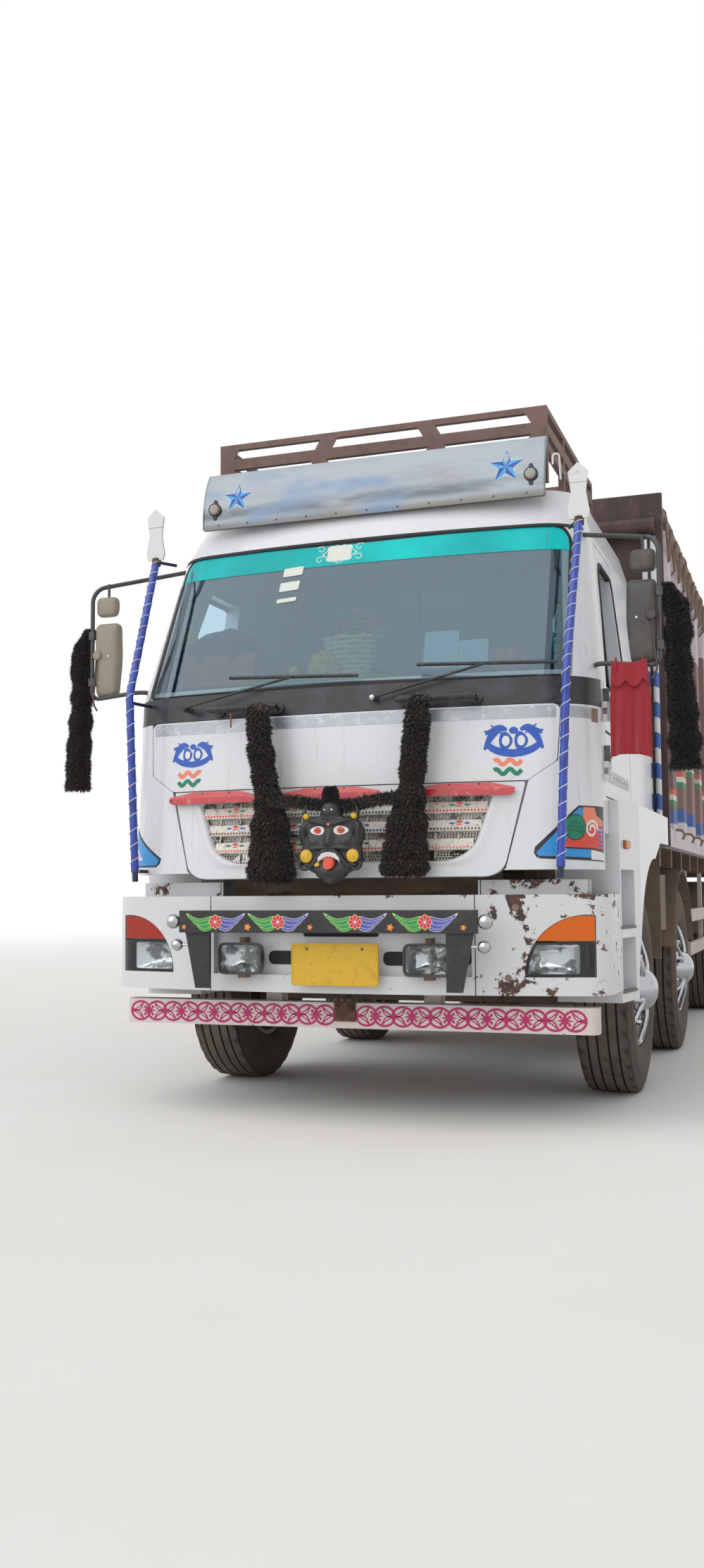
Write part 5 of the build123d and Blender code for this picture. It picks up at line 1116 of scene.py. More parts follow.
BAND_FEET = (1.374, 1.293, 1.211)
BAND_RISE = 0.048
bands = Shape()
dots = Shape()
for foot, dot_coat in zip(BAND_FEET, (RED, BROWN, ORANGE)):
    half = opening_half(foot + 0.02) + 0.004
    rows = []
    for k in range(41):
        across = -half + 2 * half * k / 40
        rows.append([on_cab(across, z, out) for z,
            out in ((foot - 0.003, -0.026), (foot - 0.003, -0.006), (foot + 0.001, -0.003),
            (foot + 0.016, -0.003), (foot + 0.019, -0.006), (foot + BAND_RISE, -0.014),
            (foot + BAND_RISE, -0.026))])
    bands.rows(rows, ring=True)
    count = int(2 * half / 0.0155)
    for k in range(count):
        across = -half + 0.01 + (2 * half - 0.02) * k / (count - 1)
        near_middle = abs(across) < 0.34
        coat = (GREEN if foot > 1.35 else BLUE if foot > 1.25 else RED) if near_middle else dot_coat
        inlay(dots, disc(across, foot + 0.0085, 0.0052, 8), on_cab, coat, -0.0015, back=-0.004)
    lozenges = [centre for centre in (-0.52, -0.22, 0.1, 0.36, 0.56) if abs(centre) < half - 0.09]
    for number, centre in enumerate(lozenges):
        for shift, drop, size, coat in ((-0.034, 0, 0.9, GREEN), (0.034, 0, 0.9, GREEN),
                (0, 0.0075, 1.0, RED), (0, -0.0075, 1.0, RED)):
            if foot < 1.35 and coat == GREEN:
                coat = BLUE
            if foot < 1.25 and coat == BLUE:
                coat = GREEN
            u, v = centre + shift, foot + 0.033 + drop
            kite = [(u - 0.017 * size, v), (u, v - 0.006 * size), (u + 0.017 * size, v),
                (u, v + 0.006 * size)]
            inlay(dots, kite, on_cab, coat, -0.0075, back=-0.012)
stand("slat_bands", bands, [slat_white], soft=0.001, replaces="grille_panel")
stand("slat_dots", dots, films, sharp=60, replaces="grille_panel")

honeycomb = Shape()
HEX_PITCH = 0.0135
HEX_HOLE = 0.0054
row_number = 0
height = 1.15
while height < 1.462:
    half = opening_half(min(max(height, 1.166), 1.444)) + 0.02
    gap_here = all(not foot + 0.004 < height < foot + BAND_RISE - 0.004 for foot in BAND_FEET)
    if gap_here:
        across = -half + (row_number % 2) * HEX_PITCH / 2
        while across <= half:
            outer, inner, sunk = [], [], []
            for k in range(6):
                angle = pi / 6 + pi / 3 * k
                wide = HEX_PITCH / sqrt(3)
                outer.append(on_cab(across + wide * cos(angle), height + wide * sin(angle), -0.022))
                inner.append(on_cab(across + HEX_HOLE * cos(angle), height + HEX_HOLE * sin(angle),
                    -0.022))
                sunk.append(on_cab(across + HEX_HOLE * cos(angle), height + HEX_HOLE * sin(angle),
                    -0.026))
            honeycomb.rows([outer, inner, sunk], 0, ring=True)
            across += HEX_PITCH
    height += HEX_PITCH * sqrt(3) / 2
    row_number += 1
for number in range(-6, 7):
    for low, high in ((1.163, BAND_FEET[2]), (BAND_FEET[2] + BAND_RISE, BAND_FEET[1]),
            (BAND_FEET[1] + BAND_RISE, BAND_FEET[0]), (BAND_FEET[0] + BAND_RISE, 1.446)):
        across = number * 0.105 + 0.03
        if abs(across) < opening_half((low + high) / 2) - 0.02:
            inlay(honeycomb, [(across - 0.003, low), (across + 0.003, low), (across + 0.006, high),
                (across, high)], on_cab, 0, -0.008, back=-0.024)
stand("grille_honeycomb", honeycomb, [mesh_white], tidy=False, replaces="grille_panel")

acrylic_red = Finish("acrylic_red", (206, 58, 66), 0.22, Transmission_Weight=0.25, IOR=1.49)
# The plates' upper faces are painted lighter than their lips: a painted highlight where they face the
# sky.
acrylic_red.coat(acrylic_red.past("Z", 1.47, 1.478), (232, 108, 108))
acrylic_red.stain((30, 6, 0.7), (0.56, 0.7), (222, 150, 140), 0.5)
acrylic_red.grain(0.002, 10, 3)
plates = Shape()
for low_x, high_x, top_low, top_high in ((-0.862, -0.402, -0.75, -0.495),
        (-0.274, 0.206, -0.168, 0.085), (0.347, 0.809, 0.466, 0.702)):
    rows = []
    for k in range(25):
        u = k / 24
        lip = low_x + (high_x - low_x) * u
        top = top_low + (top_high - top_low) * u
        end = min(u, 1 - u) * (high_x - low_x)
        curl = 0.01 * max(0.0, 1 - end / 0.014) ** 2
        rows.append([on_cab(top, 1.501, 0.004), on_cab(lip, 1.475, 0.03),
            on_cab(lip, 1.471, 0.033), on_cab(lip, 1.442 + curl, 0.035),
            on_cab(lip, 1.441 + curl, 0.031), on_cab(lip, 1.471, 0.029),
            on_cab(lip, 1.474, 0.026), on_cab(top, 1.501, 0.0008)])
    plates.rows(rows, 0, ring=True, ends=True)
    for share in (0.22, 0.78):
        u = top_low + (top_high - top_low) * share
        inlay(plates, disc(u, 1.494, 0.004, 10), on_cab, 1, 0.014, back=0.006)
    inlay(plates, disc(low_x + 0.012, 1.461, 0.0035, 10), on_cab, 1, 0.038, back=0.03)
stand("red_deflectors", plates, [acrylic_red, seam_rubber], soft=0.0006, replaces="grille_panel")

# Garlands: thick tassels of short black strips knotted on a cord, hung from the cowl's grab
# handles and the mirror arms against the evil eye, with a fringe slung between the two.
garland_black = Finish("garland_black", (30, 28, 27), 0.6, Sheen_Weight=0.25, Sheen_Roughness=0.4)
garland_black.stain((38, 5, 0.7), (0.45, 0.7), (74, 66, 58), 0.7)
garland_black.stain((5, 4), (0.5, 0.72), (62, 54, 47))
garland_fine = Finish("garland_fine", (21, 22, 25), 0.6, Sheen_Weight=0.2, Sheen_Roughness=0.4)
garland_fine.stain((60, 5, 0.7), (0.5, 0.75), (46, 46, 50), 0.7)
garland_brown = Finish("garland_brown", (40, 35, 31), 0.7, Sheen_Weight=0.2, Sheen_Roughness=0.4)
garland_brown.stain((45, 5, 0.7), (0.45, 0.7), (72, 60, 48), 0.8)


# Most garland strips are black; three in ten take a lighter brown and one in ten a pale finish, painted
# highlights of strips catching the sun.
STRAND_MIX = (0, 0, 0, 0, 0, 0, 1, 1, 1, 2)
garland_highlight_brown = Finish("garland_highlight_brown", (70, 61, 53), 0.6, Sheen_Weight=0.2,
    Sheen_Roughness=0.4).mottle((50, 5), (46, 40, 36))
garland_highlight_pale = Finish("garland_highlight_pale", (112, 102, 92), 0.35).mottle((50, 5), (84, 76, 70))


def garland(name, stations, count, leaf, leaf_width, droop, seed, finish, core=0.6):
    """Strips set all over a string of round bunches: (x, y, z, half width, half depth)."""
    draw = Random(seed)
    shape = Shape()
    rows = []
    for x, y, z, half, deep in stations:
        rows.append([(x + half * core * cos(2 * pi * k / 16) * (1 + 0.1 * draw.uniform(-1, 1)),
            y + deep * core * sin(2 * pi * k / 16) * (1 + 0.1 * draw.uniform(-1, 1)), z)
            for k in range(16)])
    shape.rows(rows, ring=True, ends=True)
    core_faces = 16 * (len(stations) - 1)
    spans = []
    total = 0.0
    for first, second in zip(stations, stations[1:]):
        size = (Vector(second[:3]) - Vector(first[:3])).length * (first[3] + second[3] + first[4]
            + second[4])
        total += size
        spans.append(total)
    points, faces = [], []
    number = 0
    for span, (first, second) in zip(spans, zip(stations, stations[1:])):
        target = round(count * span / total)
        while number < target:
            number += 1
            share = draw.random()
            x, y, z, half, deep = (a + (b - a) * share for a, b in zip(first, second))
            angle = draw.uniform(0, 2 * pi)
            outward = Vector((cos(angle) / max(half, 0.01), sin(angle) / max(deep, 0.01),
                0)).normalized()
            root = Vector((x + half * core * cos(angle), y + deep * core * sin(angle), z))
            lean = Vector((draw.uniform(-0.5, 0.5), draw.uniform(-0.5, 0.5),
                draw.uniform(-0.6, 0.3) - droop))
            way = (outward + lean).normalized()
            size = draw.uniform(*leaf)
            reach_x = abs(half * (1 - core) * cos(angle)) + abs(deep * (1 - core) * sin(angle))
            size = min(size, reach_x * 1.25 + leaf[0] * 0.75)
            side = way.cross(outward + Vector((0.01, 0.3, draw.uniform(-1, 1)))).normalized()
            half_leaf = leaf_width * draw.uniform(0.35, 0.6)
            middle = root + way * size * 0.5
            start = len(points)
            points += [root, middle + side * half_leaf,
                root + way * size + Vector((0, 0, -size * 0.12)), middle - side * half_leaf]
            faces.append((start, start + 1, start + 2, start + 3))
    shape.add(points, faces)
    # Some strips get the painted highlight finishes at random.
    shape.coats = [draw.choice(STRAND_MIX) if len(face) == 4 and i > core_faces else 0 for i,
        face in enumerate(shape.faces)]
    return stand(name, shape, [finish, garland_highlight_brown, garland_highlight_pale], tidy=False, sharp=60)


def strung(points, step=0.02, bunch=0.0, pitch=0.11):
    """Closer stations between the given ones, swelling into bunches on the way down."""
    stations = []
    for first, second in zip(points, points[1:]):
        length = (Vector(second[:3]) - Vector(first[:3])).length
        parts = max(1, ceil(length / step))
        for k in range(parts):
            stations.append([a + (b - a) * k / parts for a, b in zip(first, second)])
    stations.append(list(points[-1]))
    for station in stations:
        swell = 1 + bunch * (sin(2 * pi * station[2] / pitch) + 0.6
            * sin(41 * station[2] + 30 * station[0]))
        station[3] *= swell
        station[4] *= swell
    return stations


GARLAND_Y = FRONT - 0.04
first_garland = strung([(-0.365, FRONT + 0.01, 1.902, 0.022, 0.02),
    (-0.362, GARLAND_Y + 0.01, 1.87, 0.04, 0.034), (-0.345, GARLAND_Y, 1.7, 0.052, 0.044),
    (-0.325, GARLAND_Y, 1.56, 0.05, 0.046), (-0.3, GARLAND_Y, 1.47, 0.056, 0.048),
    (-0.298, GARLAND_Y, 1.42, 0.078, 0.056), (-0.296, GARLAND_Y, 1.3, 0.104, 0.06),
    (-0.292, GARLAND_Y, 1.18, 0.132, 0.062), (-0.29, GARLAND_Y, 1.11, 0.14, 0.06),
    (-0.29, GARLAND_Y, 1.085, 0.12, 0.05)], bunch=0.1)
second_garland = strung([(0.403, FRONT + 0.01, 1.902, 0.022, 0.02),
    (0.402, GARLAND_Y + 0.01, 1.87, 0.036, 0.032), (0.405, GARLAND_Y, 1.79, 0.05, 0.042),
    (0.385, GARLAND_Y, 1.62, 0.05, 0.044), (0.375, GARLAND_Y, 1.5, 0.044, 0.044),
    (0.365, GARLAND_Y, 1.44, 0.072, 0.054), (0.35, GARLAND_Y, 1.31, 0.102, 0.06),
    (0.342, GARLAND_Y, 1.2, 0.128, 0.062), (0.338, GARLAND_Y, 1.14, 0.13, 0.06),
    (0.334, GARLAND_Y, 1.112, 0.1, 0.05)], bunch=0.1)
for name, stations, seed in (("garland_right", first_garland, 11),
        ("garland_left", second_garland, 12)):
    piece = garland(name, stations, 24000, (0.024, 0.044), 0.011, 0.5, seed, garland_black)
    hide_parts("garlands")
fringe = []
for k in range(31):
    u = k / 30
    fringe.append((-0.3 + 0.65 * u, FRONT - 0.078, 1.428 + 0.012 * sin(u * 9) - 0.01 * sin(u * pi),
        0.0, 0.0))
fringe_shape = Shape()
fringe_shape.tube([point[:3] for point in fringe], 0.01, sides=8)
draw = Random(13)
for number in range(5200):
    spot = fringe[min(int(draw.random() * 30), 29)]
    root = Vector((spot[0] + draw.uniform(0, 0.0217), spot[1] + draw.uniform(-0.006, 0.006),
        spot[2] + draw.uniform(-0.01, 0.01)))
    way = Vector((draw.uniform(-0.7, 0.7), draw.uniform(-0.45, 0.3),
        draw.uniform(-1.0, 0.45))).normalized()
    size = draw.uniform(0.022, 0.036)
    side = way.cross(Vector((0.2, 1, draw.uniform(-1, 1)))).normalized() * draw.uniform(0.003, 0.0055)
    middle = root + way * size * 0.5
    fringe_shape.add([root, middle + side, root + way * size, middle - side], [(0, 1, 2, 3)])
stand("garland_fringe", fringe_shape, [garland_black], tidy=False, sharp=60, replaces="garlands")

MIRROR_GARLAND_X = 1.512
MIRROR_GARLAND_STATIONS = ((-0.062, 2.383, 0.018, 0.016), (-0.05, 2.35, 0.024, 0.022),
    (-0.022, 2.3, 0.048, 0.028), (-0.012, 2.2, 0.06, 0.03), (-0.018, 2.08, 0.054, 0.03),
    (-0.014, 1.96, 0.058, 0.03), (-0.006, 1.84, 0.066, 0.03), (0.0, 1.72, 0.072, 0.03),
    (0.002, 1.62, 0.076, 0.03), (0.002, 1.56, 0.07, 0.028))
for side_name, side, finish, seed in (("left", 1, garland_fine, 14), ("right", -1, garland_brown, 15)):
    points = [(side * (MIRROR_GARLAND_X + shift), FRONT + 0.322, z, half, deep) for shift, z, half,
        deep in MIRROR_GARLAND_STATIONS]
    piece = garland(f"mirror_garland_{side_name}", strung(points, bunch=0.12, pitch=0.118), 30000,
        (0.02, 0.036), 0.0052, 0.25, seed, finish)
    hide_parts("garlands")

# Mirrors: black moulded heads on bent steel tube arms, each with a round knuckle at its
# back, a drop rod, and a small wide-angle head over it.
mirror_black = Finish("mirror_black", (50, 52, 56), 0.42)
mirror_black.grain(0.0004, 600, 2)
mirror_black.stain((6, 5, 0.6), (0.45, 0.75), (84, 82, 78), 0.6)
mirror_black.dusty(DUST, 0.18, 6.0, 0.02)
mirror_pale = Finish("mirror_pale", (150, 142, 128), 0.55)
mirror_pale.grain(0.0004, 600, 2)
mirror_pale.dusty(DUST, 0.35, 6.0, 0.03)
arm_grey = Finish("arm_grey", (72, 70, 70), 0.5, 0.2)
arm_grey.stain((26, 7, 0.75), (0.55, 0.68), (112, 92, 78), 0.8)
arm_grey.grain(0.0008, 90, 4)
mirror_glass = Finish("mirror_glass", (206, 212, 216), 0.03, 1.0)
mirror_glass.stain((7, 7, 0.7), (0.55, 0.8), (160, 156, 150), 0.3)
knob_white = Finish("knob_white", (226, 226, 222), 0.4).mottle((60, 4), (200, 198, 190))


def shrunk(outline, middle, share):
    """The outline drawn in towards its middle."""
    return [(middle[0] + (x - middle[0]) * share, middle[1] + (z - middle[1]) * share) for x,
        z in outline]


def head(shape, low, high, front, back, taper, coat=0, glass=None, side=1):
    """A moulded mirror head: crowned towards the front, its glass sunk in the back."""
    middle_x, middle_z = (low[0] + high[0]) / 2, (low[1] + high[1]) / 2
    outline = rounded([(low[0] + taper, low[1]), (high[0] - taper * 0.4, low[1]), (high[0], middle_z),
        (high[0] - 0.004, high[1]), (low[0] + 0.006, high[1]), (low[0], middle_z)],
        [0.03, 0.03, 0.06, 0.026, 0.026, 0.06], 6)
    depth = back - front
    rows = []
    for scale, share in ((0.02, 0.0), (0.35, 0.01), (0.7, 0.06), (0.88, 0.15), (0.96, 0.3),
            (1.0, 0.52), (1.0, 0.8), (0.985, 0.96), (0.97, 1.0), (0.93, 1.0), (0.92, 0.9), (0.02, 0.9)):
        rows.append([(side * x, FRONT + front + depth * share, z) for x,
            z in shrunk(outline, (middle_x, middle_z), scale)])
    shape.rows(rows, coat, ring=True)
    if glass is not None:
        outer = [(side * x, FRONT + front + depth * 0.925, z) for x,
            z in shrunk(outline, (middle_x, middle_z), 0.915)]
        inner = [(x, y - depth * 0.02, z) for x, y, z in outer]
        shape.rows([inner, outer], glass, ring=True)
        start = len(shape.points) - len(outline)
        shape.faces.append(list(range(start, start + len(outline))))
        shape.coats.append(glass)


def bent(route, radius=0.06, steps=6):
    """A route with each corner turned on a curve."""
    points = [Vector(route[0])]
    for before, here, after in zip(route, route[1:], route[2:]):
        here = Vector(here)
        first = Vector(before) - here
        second = Vector(after) - here
        size = min(radius, first.length / 2.05, second.length / 2.05)
        start = here + first.normalized() * size
        end = here + second.normalized() * size
        for k in range(steps + 1):
            t = k / steps
            points.append(start * (1 - t) ** 2 + here * (2 * t * (1 - t)) + end * t * t)
    points.append(Vector(route[-1]))
    return points


def beside(side, *points):
    """Points given for the left side, with y from the front, set on one side of the truck."""
    return [(side * x, FRONT + y, z) for x, y, z in points]


for side_name, side, finish in (("left", 1, mirror_black), ("right", -1, mirror_pale)):
    mirror = Shape()
    arm = [(1.0, 0.64, 2.722), (1.395, 0.322, 2.59), (1.424, 0.3, 2.54), (1.424, 0.3, 2.01),
        (1.15, 0.3, 2.036), (1.09, 0.43, 2.036)]
    mirror.tube(bent(beside(side, *arm), 0.05), 0.011, 1, 12)
    head(mirror, (1.272, 2.022), (1.412, 2.402), 0.286, 0.348, 0.02, 0, 2, side)
    head(mirror, (1.29, 2.44), (1.41, 2.54), 0.3, 0.345, 0.01, 0, 2, side)
    mirror.tube(beside(side, (1.35, 0.335, 2.53), (1.35, 0.335, 2.61)), 0.007, 1, 8)
    for height in (2.1, 2.34):
        mirror.tube(beside(side, (1.38, 0.32, height), (1.424, 0.3, height)), 0.009, 1, 8)
        mirror.block((side * 1.408, side * 1.438), (FRONT + 0.286, FRONT + 0.314),
            (height - 0.02, height + 0.02), 1)
    mirror.turned([(0.0, 0.0004), (0.0, 0.02), (0.006, 0.024), (0.016, 0.026), (0.016, 0.0004)],
        (side * 1.386, FRONT + 0.272, 2.235), 0, 24, "Y")
    mirror.tube(bent(beside(side, (1.39, 0.282, 2.22), (1.396, 0.28, 2.1), (1.408, 0.282, 1.99),
        (1.385, 0.284, 1.95))), 0.005, 1, 8)
    mirror.turned([(0.0, 0.0004), (0.0, 0.0052), (0.004, 0.0062), (0.006, 0.0062), (0.006, 0.0004)],
        (side * 1.322, FRONT + 0.281, 2.228), 3, 16, "Y")
    stand(f"mirror_{side_name}", mirror, [finish, arm_grey, mirror_glass, knob_white],
        slot="mirror_shell", sharp=50, replaces="mirrors")

# Red cloth: a square of cotton knotted to the right mirror's lower arm, doubled over once
# so that its scalloped flap lies on the folds.
cotton_red = Finish("cotton_red", (168, 42, 50), 0.9, Sheen_Weight=0.3,
    Sheen_Roughness=0.5).mottle((16, 6), (144, 34, 44))
threads = cotton_red.sum("ADD", cotton_red.zigzag(cotton_red.axis("X"), 0.0006),
    cotton_red.zigzag(cotton_red.axis("Z"), 0.0006))
cotton_red.emboss(cotton_red.times(threads, 800.0), 0.0003)
cotton_red.grain(0.003, 30, 4)
CLOTH_LOW_X, CLOTH_HIGH_X = 1.197, 1.377
CLOTH_TOP, CLOTH_FOOT = 2.028, 1.612
CLOTH_Y = FRONT + 0.284


def cloth_point(u, v, layer):
    """A point of the hung cloth; u runs across it and v down it from the arm."""
    gather = 0.86 + 0.14 * min(1.0, v * 2.5)
    x = (CLOTH_LOW_X + CLOTH_HIGH_X) / 2 + (u - 0.5) * (CLOTH_HIGH_X - CLOTH_LOW_X) * gather
    fold = 0.011 * sin(u * 13 + 1.4 * v) * (0.35 + 0.65 * v) + 0.006 * sin(u * 27 + 3 + 2 * v) * v
    sag = 0.012 * sin(pi * u) * (1 - v)
    return Vector((x, CLOTH_Y + fold - layer, CLOTH_TOP + (CLOTH_FOOT - CLOTH_TOP) * v - sag))


cloth = Shape()
rows = []
for j in range(49):
    v = j / 48
    rows.append([cloth_point(i / 40, v * (1 - 0.035 * sin(i / 40 * pi) + 0.02 * (i / 40)), 0.0)
        for i in range(41)])
cloth.rows(rows)
rows = []
for j in range(21):
    rows.append([cloth_point(i / 40, j / 20 * (0.17 + 0.075 * abs(sin(i / 40 * 2.2 * pi + 0.4))),
        0.013) for i in range(41)])
cloth.rows(rows)
rows = []
for j in range(7):
    angle = pi * j / 6
    rows.append([cloth_point(i / 40, 0.0,
        0.0065 - 0.0065 * cos(angle)) + Vector((0, 0, 0.012 * sin(angle))) for i in range(41)])
cloth.rows(rows)
cloth_piece = stand("red_cloth_sheet", cloth, [cotton_red], sharp=80, slot="red_cloth")
thick = cloth_piece.modifiers.new("thickness", "SOLIDIFY")
thick.thickness = 0.0012
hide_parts("red_cloth")
ties = Shape()
for x in (1.225, 1.345):
    ties.tube(bent([(x, CLOTH_Y - 0.012, 1.985), (x, CLOTH_Y - 0.014, 2.03),
        (x, CLOTH_Y + 0.01, 2.06), (x, CLOTH_Y + 0.034, 2.03), (x, CLOTH_Y + 0.01, 2.0)], 0.015,
        4), 0.004, 0, 8)
tie_piece = stand("red_cloth_ties", ties, [cotton_red], replaces="red_cloth")

# Windshield: one bowed pane of tinted glass in a black rubber, with a teal sun strip across
# its top, a scroll ornament on the strip and three paper stickers under it.
GLASS_INSET = 0.005
glass_clear = Finish("glass_clear", (168, 198, 214), 0.0, 0.055, Transmission_Weight=1.0, IOR=1.45)
glass_clear.stain((5, 6, 0.7), (0.45, 0.8), roughness=0.06)
strip_teal = Finish("strip_teal", (0, 164, 166), 0.3, Specular_IOR_Level=0.2)
strip_teal.stain((2.2, 3), (0.35, 0.75), (0, 200, 198))
strip_teal.grain(0.0015, 7, 2)
paper_white = Finish("paper_white", (226, 228, 218), 0.7).mottle((20, 4), (208, 214, 206))
paper_white.grain(0.001, 30, 3)


def on_glass(across, height, out=0.0):
    return on_cab(across, height, out - GLASS_INSET)


GLASS_LOW, GLASS_HIGH, GLASS_SIDE = 1.974, 2.738, 1.034
glass_outline = rounded([(-GLASS_SIDE - 0.02, GLASS_LOW), (GLASS_SIDE + 0.02, GLASS_LOW),
    (GLASS_SIDE, GLASS_HIGH), (-GLASS_SIDE, GLASS_HIGH)], [0.05, 0.05, 0.11, 0.11], 8)
glass_middle = (0.0, (GLASS_LOW + GLASS_HIGH) / 2)
glass_angles = {atan2(z - glass_middle[1], x) for x, z in glass_outline}
glass_angles = sorted(glass_angles | {2 * pi * k / 120 - pi for k in range(120)})
pane = Shape()
inlay(pane, glass_outline, on_glass, 0, 0.0, 0.03, back=-0.006)
stand("windshield_pane", pane, [glass_clear], slot="glass", sharp=30, replaces="windshield")
rubber = Shape()
rows = []
for grow, out in ((0.004, -0.004), (0.004, 0.002), (-0.003, 0.005), (-0.014, 0.004), (-0.018, 0.001),
        (-0.018, -0.004)):
    row = []
    for angle in glass_angles:
        reach = spread_from(glass_outline, glass_middle, angle) + grow
        row.append(on_glass(reach * cos(angle), glass_middle[1] + reach * sin(angle), out))
    rows.append(row)
rubber.rows(rows, ring=True, loop=True)
stand("windshield_rubber", rubber, [seam_rubber], sharp=60)
strip = Shape()
STRIP_LOW = 2.611
half_low = spread_from(glass_outline, (0.0, STRIP_LOW), 0.0) - 0.01
strip_outline = [(-half_low, STRIP_LOW), (half_low, STRIP_LOW)]
for k in range(13):
    z = STRIP_LOW + (GLASS_HIGH - 0.008 - STRIP_LOW) * k / 12
    strip_outline.append((spread_from(glass_outline, (0.0, z), 0.0) - 0.01, z))
strip_outline += [(-x, z) for x, z in reversed(strip_outline[2:])]
inlay(strip, strip_outline, on_glass, 0, 0.0012, 0.05)
ORNAMENT_MIDDLE = (-0.11, 2.675)
for low, high, shift in ((2.571, 2.623, 0.0), (2.491, 2.545, -0.008), (2.43, 2.457, -0.012)):
    label = [(-0.395 + shift, low), (-0.292 + shift, low + 0.006), (-0.29 + shift, high),
        (-0.394 + shift, high - 0.006)]
    inlay(strip, rounded(label, 0.006, 3), on_glass, 1, 0.0022, 0.05)
for side in (-1, 1):
    for rise in (-1, 1):
        centre = (ORNAMENT_MIDDLE[0] + side * 0.1, ORNAMENT_MIDDLE[1] + rise * 0.028)
        curl = [(centre[0] + side * rise * (0.024 - 0.017 * k / 20) * cos(0.3 * k + 0.5),
            centre[1] + (0.02 - 0.013 * k / 20) * sin(0.3 * k + 0.5)) for k in range(21)]
        inlay(strip, ribbon(curl, 0.004), on_glass, 1, 0.002, 0.02)
    inlay(strip, disc(ORNAMENT_MIDDLE[0] + side * 0.086, ORNAMENT_MIDDLE[1], 0.0055, 10), on_glass,
        1, 0.002, 0.02)
inlay(strip, rounded(oblong(-0.172, -0.048, 2.633, 2.717), 0.012, 4), on_glass, 1, 0.0022, 0.03)
frame_curve = [(-0.11 + 0.078 * cos(a) * (1 + 0.08 * cos(8 * a)),
    2.675 + 0.048 * sin(a) * (1 + 0.06 * cos(8 * a))) for a in (2 * pi * k / 64 for k in range(65))]
inlay(strip, ribbon(frame_curve, 0.004), on_glass, 1, 0.002, 0.02)
stand("glass_strip", strip, [strip_teal, paper_white], sharp=60)

# Cab inside: a moulded dash with a raised ledge behind the glass, a wrapped steering wheel and
# two cloth seats on sheet boxes. The crew's things lie along the ledge on a green mat.
def grained(name, colour, second, rough=0.6):
    finish = Finish(name, colour, rough)
    finish.mottle((6, 4), second)
    return finish.emboss(finish.cells(900), 0.0003)


def cotton(name, colour, second, thread=0.0012):
    finish = Finish(name, colour, 0.85, Sheen_Weight=0.25, Sheen_Roughness=0.5)
    finish.mottle((18, 5), second)
    over = finish.zigzag(finish.axis("X"), thread)
    under = finish.zigzag(finish.axis("Z"), thread)
    finish.emboss(finish.times(finish.times(over, under), thread ** -2), 0.0004)
    return finish.grain(0.004, 30, 4)


dash_plastic = grained("dash_plastic", (52, 54, 58), (42, 44, 47))
wheel_wrap = grained("wheel_wrap", (30, 30, 32), (44, 42, 42), 0.5)
wheel_wrap.ribbed("X", 0.012, 0.004)
dress("dashboard", dash_plastic)
dress("steering_wheel", wheel_wrap)
seat_weave = cotton("seat_weave", (52, 58, 84), (38, 42, 62), 0.002)
seat_stripe = seat_weave.zigzag(seat_weave.axis("X"), 0.045)
seat_weave.coat(seat_weave.ramp(seat_stripe, 0.036, 0.04), (122, 84, 70))
# The cloth is painted near black in its seams, creases and corners: painted shade.
seat_weave.coat(seat_weave.hollows(0.03), (24, 26, 38))


PAD_ROWS, PAD_SIDES = 57, 64


def bell(distance, power=2):
    """1 at no distance, falling softly to nearly 0 past 2."""
    return 2.718 ** -(distance ** power)


def stuffed(name, place, thick, channels, finish):
    """A sewn pad; place takes u and v from -1 to 1 and channels are the v of its seams."""
    shape = Shape()
    rows = []
    for j in range(PAD_ROWS):
        v = -cos(pi * j / (PAD_ROWS - 1))
        end = (1 - 0.999 * abs(v) ** 7) ** 0.4
        seam = sum(bell((v - line) / 0.035) for line in channels)
        row = []
        for i in range(PAD_SIDES):
            turn = 2 * pi * (i + 0.5) / PAD_SIDES
            across, out = cos(turn), sin(turn)
            across = abs(across) ** 0.45 * (1 if across > 0 else -1)
            out = abs(out) ** 0.6 * (1 if out > 0 else -1)
            crown = 0.88 + 0.12 * (1 - across ** 2) * (1 - v * v)
            pull = 0.97 + 0.03 * max(abs(v), abs(across)) ** 4
            row.append(place(across * end ** 0.5 * pull, v,
                out * end * thick * crown * (1 - 0.26 * seam)))
        rows.append(row)
    shape.rows(rows, ring=True, ends=True)
    pad = stand(name, shape, [finish], slot="seat_cloth", sharp=80)
    return pad


CUSHION = (1.24, 1.67)
BACK_FOOT, BACK_TOP = Vector((0, 1.462, 1.722)), Vector((0, 1.598, 2.312))
back_up = (BACK_TOP - BACK_FOOT) / 2
back_out = Vector((0, -back_up.z, back_up.y)).normalized()
seat_base = Shape()
for who, low, high in (("driver", -0.76, -0.23), ("mate", 0.2, 0.8)):
    middle, half = (low + high) / 2, (high - low) / 2

    def seat_point(u, v, out):
        return Vector((middle + u * half, FRONT + CUSHION[0] + v * 0.258, CUSHION[1] + out))

    def back_point(u, v, out):
        spot = (BACK_FOOT + BACK_TOP) / 2 + back_up * v + back_out * out
        return Vector((middle + u * half * 0.98, FRONT + spot.y, spot.z))

    cushion = stuffed(f"{who}_cushion", seat_point, 0.068, (-0.4, 0.05, 0.5), seat_weave)
    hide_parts("seats")
    backrest = stuffed(f"{who}_backrest", back_point, 0.04, (-0.5, 0.0, 0.5), seat_weave)
    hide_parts("seats")
    seat_base.block((low + 0.08, high - 0.08), (FRONT + 1.05, FRONT + 1.45),
        (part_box("seats")[0].z, 1.604))
stand("seat_boxes", seat_base, [dash_plastic], slot="black_plastic", soft=0.01, replaces="seats")


def ledge_height(station):
    return 2.0 + 0.088 * (station - 0.272) / 0.273


def behind_glass(point, gap=0.02):
    """The point itself, or as far back as the pane and its curve need."""
    across = max(-1.0, min(1.0, point[0]))
    return Vector((point[0], max(point[1], on_glass(across, min(point[2], 2.7)).y + gap), point[2]))


def things(name, shape, finishes, **how):
    shape.points = [behind_glass(point) for point in shape.points]
    return stand(name, shape, finishes, **how)


